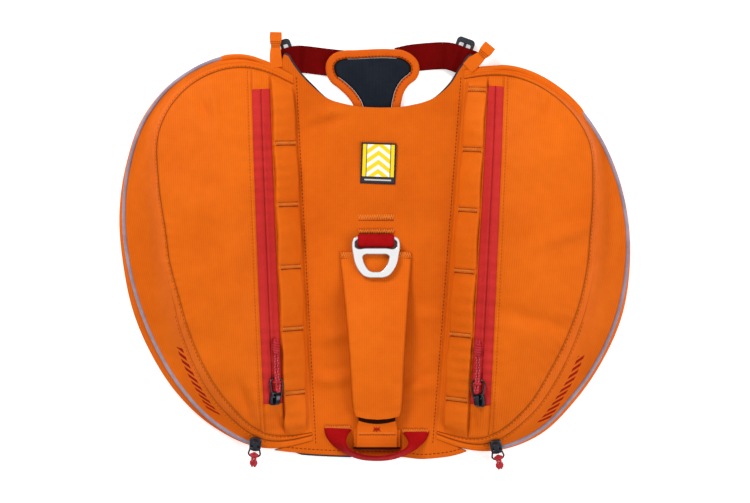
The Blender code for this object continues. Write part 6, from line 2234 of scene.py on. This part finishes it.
    def build(self) -> None:
        """Makes the sleeve, the tab, the anchor, the loop and their sewing."""
        self.sleeve()
        self.strip("handle_tab", np.array(self.tab))
        anchor = np.array([(-129.0, 8.05, 33.6), (-136.0, 8.05, 33.6), (-142.6, 8.05, 33.6)])
        self.strip("handle_anchor", anchor)
        self.rear_loop()
        self.sew()


def plate_parts(outlines: list[Grid], thickness: float, edge: float) -> Parts:
    """A flat plate from an outer outline and its holes, with rounded edges.

    Args:
        outlines: the outer outline and then the holes.
        thickness: the plate's thickness, about z 0.
        edge: the radius of its edges.

    Returns:
        The points in millimetres and the faces.
    """
    curve = bpy.data.curves.new("plate", "CURVE")
    curve.dimensions = "2D"
    curve.fill_mode = "BOTH"
    curve.extrude = (thickness / 2 - edge) * MM
    curve.bevel_depth = edge * MM
    curve.bevel_resolution = 4
    curve.offset = -edge * MM
    for outline in outlines:
        spline = curve.splines.new("POLY")
        spline.points.add(len(outline) - 1)
        flat = np.column_stack([outline * MM, np.zeros(len(outline)), np.ones(len(outline))])
        spline.points.foreach_set("co", flat.astype(np.float32).ravel())
        spline.use_cyclic_u = True
    holder = bpy.data.objects.new("plate", curve)
    bpy.context.scene.collection.objects.link(holder)
    graph = bpy.context.evaluated_depsgraph_get()
    mesh = bpy.data.meshes.new_from_object(holder.evaluated_get(graph))
    bpy.data.objects.remove(holder)
    points = np.array([vertex.co for vertex in mesh.vertices]) / MM
    points, index = np.unique(np.round(points, 4), axis=0, return_inverse=True)
    index = index.ravel()
    groups: dict[int, list] = {}
    for face in mesh.polygons:
        corners = list(dict.fromkeys(int(index[k]) for k in face.vertices))
        if len(corners) > 2:
            groups.setdefault(len(corners), []).append(corners)
    return points, [np.array(group) for group in groups.values()]


def closed_line(points: object, count: int) -> Grid:
    """A smooth closed curve through points: the points repeated round, and one turn kept.

    Args:
        points: the points, not repeated at the end.
        count: how many places.

    Returns:
        The places.
    """
    points = np.asarray(points, float)
    wrapped = np.concatenate([points[-3:], points, points[:4]])
    knots = run_along(wrapped)
    fine = np.linspace(knots[3], knots[3 + len(points)], 60 * len(points))
    dense = np.stack([smooth_values(knots, column, fine) for column in wrapped.T], axis=1)
    return evenly(dense, count + 1)[:-1]


@dataclass
class LeashPoint:
    """The leash ring and the webbing that holds it; eye_back is how far its eye lies behind the bar."""

    pivot: tuple[float, float, float] = (0.7, 8.2, 11.9)
    tilt: float = 6.0
    half_width: float = 13.1
    eye_back: float = 1.55
    plate: float = 3.0
    soft_edge: float = 0.62

    def webbing(self) -> None:
        """The eye of webbing round the ring's bar: two ovals, one inside the other, along X."""
        turn = np.arange(64) * 2 * math.pi / 64
        across = squared(np.cos(turn), 0.85)
        up = squared(np.sin(turn), 0.75)
        share = packed(26)
        x = self.pivot[0] + self.half_width * (2 * share - 1)
        thin = 1 - 0.12 * (1 - ease(np.minimum(share, 1 - share) / 0.06))
        grids = []
        for half_y, half_z in ((4.6, 3.75), (3.25, 2.35)):
            y = self.pivot[1] - self.eye_back + half_y * across[None] * thin[:, None]
            z = self.pivot[2] - 0.1 + half_z * up[None] * thin[:, None]
            grids.append(np.stack([np.broadcast_to(x[:, None], y.shape), y, z], axis=-1))
        run = np.cumsum(np.linalg.norm(np.diff(grids[0][12], axis=0, append=grids[0][12, :1]), axis=-1))
        uv = np.stack([np.broadcast_to(x[:, None], (26, 64)), np.broadcast_to(run, (26, 64))], axis=-1)
        # Painted shade towards the webbing's two ends.
        edge = np.broadcast_to((0.6 * (1 - ease(np.minimum(share, 1 - share) / 0.1)))[:, None], (26, 64))
        made = as_piece(
            "ring_webbing", tunnel(*grids), RED_WEB,
            uv=np.concatenate([uv.reshape(-1, 2)] * 2), seam=np.concatenate([edge.ravel()] * 2),
        )

    def ring(self) -> None:
        """The ring: a plate cut from smooth outlines, with painted shade on its side walls and a dark plate in its
        slot that paints the shadow there.
        """
        # Half outlines: places across and along the ring, from its middle round to its middle.
        outer = (
            (0.0, 1.4), (7.0, 1.4), (13.4, 1.4), (15.6, 0.4), (17.1, -2.6), (17.3, -5.4), (16.5, -11.4),
            (15.0, -18.2), (11.7, -24.2), (8.6, -27.2), (5.6, -28.2), (0.0, -28.4),
        )
        slot = ((0.0, -1.4), (7.0, -1.4), (13.7, -1.4), (14.9, -2.4), (15.0, -4.25), (14.9, -6.1),
                (13.7, -7.1), (7.0, -7.1), (0.0, -7.1))
        hole = ((0.0, -11.5), (4.0, -11.5), (7.8, -11.7), (9.4, -12.8), (9.2, -15.0), (7.0, -20.4),
                (4.6, -23.2), (2.6, -24.0), (0.0, -24.1))
        inside = ((0.0, -1.3), (7.0, -1.3), (12.6, -1.3), (13.3, -2.2), (13.4, -4.1), (13.3, -6.0),
                  (12.6, -6.8), (7.0, -6.8), (0.0, -6.8))
        outer, slot, hole, inside = (
            closed_line(list(line) + [(-x, y) for x, y in reversed(line[1:-1])], count)
            for line, count in ((outer, 150), (slot, 110), (hole, 90), (inside, 110))
        )
        points, faces = plate_parts([outer, slot, hole], self.plate, self.soft_edge)
        # A dark plate just inside the slot's edge paints the shadow on the slot's walls.
        middle = np.array([0.0, -4.25])
        plate = len(points)
        slot_shadow = plate_parts([(slot - middle) * 1.02 + middle, inside], 2.2, 0.08)
        points, faces = joined([(points, faces), slot_shadow])
        # Painted shade: the slot's dark plate fully, the plate's side walls by half.
        wall = np.where(np.arange(len(points)) >= plate, 1.0, 0.5 * (np.abs(points[:, 2]) < self.plate / 2 - 0.01))
        turn = np.array(Matrix.Rotation(math.radians(-self.tilt), 3, "X"))
        points = points @ turn.T + np.array(self.pivot)
        as_piece("leash_ring", (points, faces), ALLOY, "leash_ring", seam=wall, sharp=50.0)

    def sew(self) -> None:
        """The two bartacks in front of the ring, each boxed by darker rows."""
        boxed_tack(-12.0, 13.2, 23.7, 8.55, 4.0)
        boxed_tack(-12.0, 13.2, 13.5, 9.05, 3.2)

    def build(self) -> None:
        """Makes the webbing, the ring and the bartacks."""
        self.webbing()
        self.ring()
        self.sew()


# Plan places along the chest pad's two sides and along the middles of its straps.
PAD_LEFT = (
    (-14.4, 143.8), (-23.8, 143.3), (-31.0, 140.4), (-34.9, 135.2), (-35.4, 128.4), (-32.4, 121.4),
    (-25.6, 115.8), (-19.6, 110.0), (-15.4, 103.6), (-13.8, 94.0), (-13.4, 60.0), (-13.2, 0.0), (-13.0, -83.2),
)
PAD_RIGHT = (
    (12.2, 144.5), (19.8, 143.8), (26.6, 140.4), (31.2, 135.0), (32.0, 128.6), (29.6, 122.8), (24.4, 118.6),
    (21.0, 113.6), (19.2, 107.6), (17.4, 94.0), (16.6, 60.0), (16.2, 0.0), (16.0, -83.2),
)
LEFT_STRAP = (
    (-20.0, 133.6), (-30.0, 134.6), (-40.0, 135.8), (-50.0, 137.0), (-54.5, 137.2), (-58.8, 136.6),
    (-63.4, 135.2), (-68.0, 133.8), (-72.6, 132.2),
)
RIGHT_STRAP = (
    (16.0, 135.8), (26.0, 138.0), (34.0, 138.9), (43.0, 139.6), (48.0, 139.8), (52.0, 139.5), (56.2, 138.5),
    (60.8, 136.8), (65.4, 135.1), (71.6, 132.8),
)


@dataclass
class ChestHarness:
    """The chest pad with its binding, its two straps with their sliders, and the shoulder tabs.

    binding is the tape's width on top of the pad, and slid how far forward the sliders are drawn.
    """

    binding: float = 6.3
    steps: int = 300
    strap_width: float = 19.6
    slid: float = 3.4

    def outline(self) -> Grid:
        """The pad's outer edge, from the end of its neck round its front and back."""
        return smooth_line(np.concatenate([np.array(PAD_LEFT)[::-1], np.array(PAD_RIGHT)]), self.steps)

    def thickness(self, y: Grid, full: float, neck: float) -> Grid:
        """The pad's thickness, which falls where it runs under the centre panel."""
        return neck + (full - neck) * ease((y - 102.0) / 16.0)

    def groove(self, points: Grid) -> Grid:
        """How far the pad's underside is raised over the two straps: an eased wall by each strap.

        Args:
            points: the underside's points.

        Returns:
            The height of the groove at each.
        """
        rise = np.zeros(points.shape[:-1])
        for strap in (LEFT_STRAP, RIGHT_STRAP):
            line = smooth_line(strap, 60)
            away = np.linalg.norm(points[..., None, :2] - line[:, :2], axis=-1).min(axis=-1)
            rise = np.maximum(rise, 1.9 * ease((10.6 - away) / 0.8))
        return rise

    def pad(self) -> None:
        """The pad: rows across its outline, with a low dome that is a half sine from side to side."""
        outline = self.outline()
        inner = outline - across_line(outline) * (self.binding + GAP)
        half = self.steps // 2
        left, right = inner[:half], inner[: half - 1: -1]
        share = packed(40, 0.5)[None, :, None]
        plan = left[:, None] * (1 - share) + right[:, None] * share
        thick = self.thickness(plan[..., 1], 4.4, 2.9)
        front = ease((plan[..., 1] - 110.0) / 14.0)
        dome = 0.5 * np.sin(math.pi * share[..., 0]) * front
        soft = 0.16 * rumples(plan[..., 0] * 1.7, plan[..., 1] * 1.7, 5.0) * front
        edge = np.minimum(share[..., 0], 1 - share[..., 0]) * np.linalg.norm(left - right, axis=1)[:, None]
        upper = np.dstack([plan, thick + dome + soft - 0.6 * (1 - ease(edge / 1.6))])
        lower = np.dstack([plan, np.zeros_like(thick)])
        lower[..., 2] = self.groove(lower)
        # Painted shade along the pad's sides.
        made = wall_piece("chest_pad", upper, lower, PAD_CLOTH, seam=1 - ease(edge / 2.6))

    def bind(self) -> None:
        """The tape bound round the pad: a flattened round section carried along the outline."""
        outline = self.outline()
        side = across_line(outline)
        thick = self.thickness(outline[:, 1], 5.0, 3.3)
        turn = np.arange(26) * 2 * math.pi / 26
        inwards = 0.5 - 0.5 * squared(np.cos(turn), 0.7)
        up = 0.5 + 0.5 * squared(np.sin(turn), 0.7)
        run = run_along(outline)
        gather = 0.14 * np.sin(run * 1.9)[:, None] * (inwards[None] > 0.5) * (up[None] > 0.5)
        plan = outline[:, None] - side[:, None] * (self.binding * inwards)[None, :, None]
        rings = np.dstack([plan, thick[:, None] * up[None] + gather])
        rings[..., 2] = np.maximum(rings[..., 2], np.where(up[None] < 0.5, self.groove(rings), 0.0))
        uv = np.stack([
            np.broadcast_to(inwards * 8, rings.shape[:2]), np.broadcast_to(run[:, None], rings.shape[:2])
        ], axis=-1)
        # Painted shade at the tape's inner edge.
        seam = np.broadcast_to(ease((inwards - 0.8) / 0.2) * 0.9, rings.shape[:2])
        made = as_piece("chest_pad_binding", loft(rings), BINDING, uv=uv.reshape(-1, 2), seam=seam.ravel())
        sewn = outline - side * (self.binding - 1.1)
        height = thick * 0.98 + 0.02
        shown = outline[:, 1] > 104.0
        HOLE_THREAD.seam(np.column_stack([sewn, height])[shown], UP, 2.4, 1.7, 0.24)

    def strap(self, name: str, points: tuple, slider: tuple[float, float]) -> None:
        """A chest strap: on the floor but where it climbs over its slider.

        Args:
            name: the node's name.
            points: the strap's middle line.
            slider: the slider's middle.
        """
        line = smooth_line(points, 220)
        away = np.hypot(*(line - np.array(slider)).T)
        climb = ease(1 - (away - 7.2) / 6.5)
        dip = 0.5 * bell(away, 1.8) - 0.25 * bell(away - 3.4, 1.2)
        low = 0.2 + 4.05 * climb - dip
        path = np.column_stack([line, low + WEBBING / 2])
        side = np.column_stack([across_line(line), np.zeros(220)])
        section = strap_section()
        rings = (
            path[:, None] + side[:, None] * section[:, :1] * self.strap_width / 2
            + np.array(UP) * section[:, 1:] * WEBBING / 2
        )
        run = run_along(line)
        uv = np.stack(np.broadcast_arrays(section[:, 0] * 10, run[:, None]), axis=-1)
        # Painted shade along the strap's two edges.
        seam = np.broadcast_to(0.8 * ease((np.abs(section[:, 0]) - 0.88) / 0.12), (220, STRAP_SIDES))
        made = as_piece(name, loft(rings), CHEST_WEB, uv=uv.reshape(-1, 2), seam=seam.ravel())

    def fold_row(self) -> None:
        """The row of stitches across the right strap, where its end is folded back."""
        sewn = Sewing("strap_stitching", CHEST_WEB)
        for x in (51.8, 53.3):
            line = np.column_stack([np.full(12, x), np.linspace(131.0, 147.6, 12), np.full(12, 1.72)])
            sewn.seam(line, UP, 1.8, 1.4, 0.24)
        sewn.make()

    def slider(self, name: str, centre: tuple[float, float], turn: float) -> None:
        """A strap slider: a soft-edged frame with a low round bar across its middle.

        Args:
            name: the node's name.
            centre: its middle.
            turn: how far it is turned, in degrees.
        """
        def rounded(half_x: float, half_y: float, radius: float) -> Grid:
            """A rectangle with round corners, as a closed line."""
            angle = np.linspace(0, math.pi / 2, 9)
            corners = []
            for k, (x, y) in enumerate(((1, 1), (-1, 1), (-1, -1), (1, -1))):
                turned = angle + k * math.pi / 2
                middle = np.array([x * (half_x - radius), y * (half_y - radius)])
                corners.append(middle + radius * np.stack([np.cos(turned), np.sin(turned)], axis=1))
            return np.concatenate(corners)

        frame_parts = plate_parts([rounded(6.7, 13.0, 3.0), rounded(4.3, 9.0, 1.2)], 2.2, 0.7)
        frame_parts = (frame_parts[0] + np.array([0.0, 0.0, 3.0]), frame_parts[1])
        bar_path = np.column_stack([np.zeros(30), np.linspace(-11.0, 11.0, 30), np.full(30, 2.5)])
        bar = loft(strap_rings(bar_path, 2.2, 1.2))
        points, faces = joined([frame_parts, bar])
        spin = np.array(Matrix.Rotation(math.radians(turn), 3, "Z"))
        points = (points + np.array([0.0, self.slid, 0.0])) @ spin.T + np.array([*centre, 0.0])
        as_piece(name, (points, faces), PLASTIC, sharp=50.0)

    def tab(self, name: str, points: tuple, width: float, crease: float) -> None:
        """A folded pull tab: a strap that lies on the shoulder, doubled towards its free end.

        Args:
            name: the node's name.
            points: its middle line, from its sewn root to its free end, with heights.
            width: its width.
            crease: the share of the way along at which it is creased.
        """
        line = smooth_line(points, 90)
        share = np.linspace(0, 1, 90)
        thick = 1.2 + 0.9 * ease((share - 0.55) / 0.06)
        crumple = 0.6 * np.sin(share * 17.0 + 1.0) * bell(share - crease, 0.22)
        line[:, 2] += thick / 2 + crumple
        grown = width * (1 + 0.06 * np.sin(share * 9.0) - 0.16 * bell(share - crease, 0.09))
        rings = strap_rings(line, grown, thick)
        # Painted shade in the crease.
        seam = np.broadcast_to((0.7 * bell(share - crease, 0.05))[:, None], rings.shape[:2])
        as_piece(name, loft(rings), TRIM, uv=strap_uv(rings), seam=seam.ravel())
        for at in (crease + 0.07, crease + 0.12):
            k = int(at * 89)
            run = unit(line[k + 1] - line[k])
            across = np.array([-run[1], run[0], 0.0])
            row = line[k] + across * np.linspace(-0.42, 0.42, 10)[:, None] * width
            HOLE_THREAD.seam(row + np.array([0.0, 0.0, thick[k] / 2]), UP, 1.5, 1.2, 0.24)

    def build(self) -> None:
        """Makes the pad, its binding, the straps, the sliders and the tabs."""
        self.pad()
        self.bind()
        self.strap("chest_strap_left", LEFT_STRAP, SLIDER_SPOTS[0])
        self.strap("chest_strap_right", RIGHT_STRAP, SLIDER_SPOTS[1])
        self.fold_row()
        self.slider("strap_slider_left", SLIDER_SPOTS[0], 17.0)
        self.slider("strap_slider_right", SLIDER_SPOTS[1], -20.0)
        left = ((-70.4, 131.0, 9.6), (-71.2, 137.0, 9.4), (-71.4, 146.0, 7.6), (-71.2, 156.4, 6.2))
        right = ((66.4, 130.6, 10.1), (71.4, 135.0, 10.2), (77.2, 140.2, 8.9), (82.8, 146.9, 7.0))
        self.tab("shoulder_tab_left", left, 8.2, 0.62)
        self.tab("shoulder_tab_right", right, 8.8, 0.58)


@dataclass
class GirthBelt:
    """The girth strap that crosses under the pack, with its keeper and its fastened buckle."""

    width: float = 25.0
    thick: float = 1.2
    rise: float = 1.35

    def strap(self, name: str, start: float, end: float) -> None:
        """Half of the strap, straight across, a little off the floor near the buckle.

        Args:
            name: the node's name.
            start: where it starts along X.
            end: where it ends.
        """
        x = np.linspace(start, end, 120)
        low = self.rise * ease((46.0 - np.abs(x)) / 6.0)
        path = np.column_stack([x, np.full(120, GIRTH_Y), low + self.thick / 2])
        rings = strap_rings(path, self.width, self.thick)
        made = as_piece(name, loft(rings), RED_WEB, uv=strap_uv(rings))

    def keeper(self) -> None:
        """The flat loop round the strap: a squared oval ring, swept along X."""
        turn = np.arange(64) * 2 * math.pi / 64
        wave = np.stack([np.cos(turn), np.sin(turn)], axis=1)
        oval = squared(wave, 0.2)
        share = packed(24)
        x = 0.5 + 10.0 * (2 * share - 1)
        grids = []
        for half_y, half_z in ((14.4, 1.97), (13.0, 0.9)):
            y = GIRTH_Y + half_y * oval[:, 0]
            z = 1.97 + half_z * oval[:, 1]
            grids.append(np.stack(np.broadcast_arrays(x[:, None], y[None], z[None]), axis=-1))
        points, faces = tunnel(*grids)
        as_piece("sternum_keeper", (points, faces), CHEST_WEB, uv=points[:, [1, 0]])

    def buckle(self) -> None:
        """The fastened buckle: a squared block with two raised prong ends and a parting line."""
        body = squared_ball((15.0, 25.4, 4.2), (BUCKLE_X - 6.0, GIRTH_Y, 2.1), 0.22)
        socket = squared_ball((12.4, 23.0, 3.8), (BUCKLE_X + 7.3, GIRTH_Y, 2.1), 0.22)
        prongs = [squared_ball((9.0, 4.0, 3.2), (BUCKLE_X + 1.5, GIRTH_Y + side * 10.2, 2.1), 0.4)
                  for side in (-1, 1)]
        tongue = squared_ball((10.0, 8.0, 2.6), (BUCKLE_X + 1.0, GIRTH_Y, 2.1), 0.3)
        parts = joined([body, socket, tongue, *prongs])
        as_piece("girth_buckle", parts, PLASTIC, sharp=50.0)

    def build(self) -> None:
        """Makes both halves of the strap, the keeper and the buckle."""
        self.strap("girth_strap_left", -112.0, BUCKLE_X - 13.8)
        self.strap("girth_strap_right", BUCKLE_X + 13.8, 112.0)
        self.keeper()
        self.buckle()


@dataclass
class Studio:
    """The floor, the soft lights and the camera."""

    height: float = 3.0
    lens: float = 200.0

    def floor(self) -> None:
        """A pale plain floor."""
        mesh = bpy.data.meshes.new("floor")
        corners = [(x, y, -0.0006) for x, y in ((-4, -4), (4, -4), (4, 4), (-4, 4))]
        mesh.from_pydata(corners, [], [(0, 1, 2, 3)])
        made, bench, shader, solid = bare_material("floor_paper")
        tone = bench.use(GROUPS["tone"], Vector=solid, Size=400.0).outputs[0]
        bench.join(bench.mix(tone, (0.93, 0.93, 0.93), (0.95, 0.95, 0.95)), shader.inputs["Base Color"])
        shader.inputs["Roughness"].default_value = 0.9
        shader.inputs["Emission Color"].default_value = (1.0, 1.0, 1.0, 1.0)
        shader.inputs["Emission Strength"].default_value = 0.5
        mesh.materials.append(made)
        paper = bpy.data.objects.new("floor", mesh)
        bpy.context.scene.collection.objects.link(paper)

    def light(self, name: str, place: tuple[float, float, float], size: float, power: float) -> None:
        """A square soft light that faces the pack.

        Args:
            name: its name.
            place: where it is, in metres.
            size: its width.
            power: its power in watts.
        """
        lamp = bpy.data.lights.new(name, "AREA")
        lamp.size = size
        lamp.energy = power
        holder = bpy.data.objects.new(name, lamp)
        holder.location = place
        holder.rotation_euler = (-Vector(place)).to_track_quat("-Z", "Y").to_euler()
        bpy.context.scene.collection.objects.link(holder)

    def build(self) -> None:
        """Makes the floor, the lights, the sky and the camera."""
        self.floor()
        self.light("key_light", (-1.0, 1.5, 1.5), 0.8, 31.0)
        self.light("fill_light", (1.6, -0.6, 1.5), 1.4, 20.0)
        world = bpy.data.worlds.new("studio")
        world.use_nodes = True
        sky = world.node_tree.nodes["Background"]
        bench = Bench(world.node_tree)
        split = bench.add("SeparateXYZ")
        bench.join(bench.add("TexCoord").outputs["Generated"], split.inputs[0])
        height = bench.math("MULTIPLY_ADD", split.outputs[2], 1.6, -0.1, clamp=True)
        bench.join(bench.mix(height, (0.16, 0.16, 0.17), (1.0, 1.0, 1.0)), sky.inputs["Color"])
        sky.inputs["Strength"].default_value = 0.60
        scene = bpy.context.scene
        scene.world = world
        scene.view_settings.view_transform = "Standard"
        lens = bpy.data.cameras.new("camera")
        lens.sensor_width = 36.0
        lens.lens = self.lens
        lens.clip_end = 50.0
        camera = bpy.data.objects.new("camera", lens)
        camera.location = (0.0001, -0.0005, self.height)
        scene.collection.objects.link(camera)
        scene.camera = camera


def corners(box: tuple[Vector, Vector]) -> list[list[float]]:
    """A box's two corners as plain lists of numbers."""
    return [[float(value) for value in corner] for corner in box]


def main() -> None:
    """Builds the pack piece by piece, then the studio round it."""
    logging.basicConfig(level=logging.INFO, format="%(name)s: %(message)s")
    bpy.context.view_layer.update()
    left = Saddlebag(
        "left", -1, (-51.8, -3.6), 3.05, LEFT_SECTIONS, LEFT_FOLDS, ((16.7, 19.4), (29.9, 33.6)),
        ((1.2, 4.6), (16.2, 19.6)), (120.2, -105.0), (80.6, 36.8, -7.9, -52.0, -97.6), SHELL_BARS_LEFT, 22.0,
    )
    right = Saddlebag(
        "right", 1, (54.0, -3.6), 4.4, RIGHT_SECTIONS, RIGHT_FOLDS, ((17.3, 22.2), (28.9, 36.9)),
        ((3.6, 5.6), (17.0, 21.6)), (123.2, -105.2), (119.6, 76.4, 33.2, -10.6, -56.2, -102.2),
        SHELL_BARS_RIGHT, 41.0, seed=2.9,
    )
    left.build()
    right.build()
    pocket_pull(left, (25.6, -101.0), 0.02).build()
    pocket_pull(right, (29.0, -101.4), -0.02).build()
    main_pull(left, (41.0, -132.6), (0.16, -1.0)).build()
    main_pull(right, (43.0, -133.6), (0.28, -1.0)).build()
    CentrePanel(left, right).build()
    CarryHandle().build()
    LeashPoint().build()
    ChestHarness().build()
    GirthBelt().build()
    for sewing in (FINE_THREAD, HOLE_THREAD, TACK_THREAD, TACK_EDGE, CROSS_THREAD):
        sewing.make()
    Studio().build()


if __name__ == "__main__":
    main()
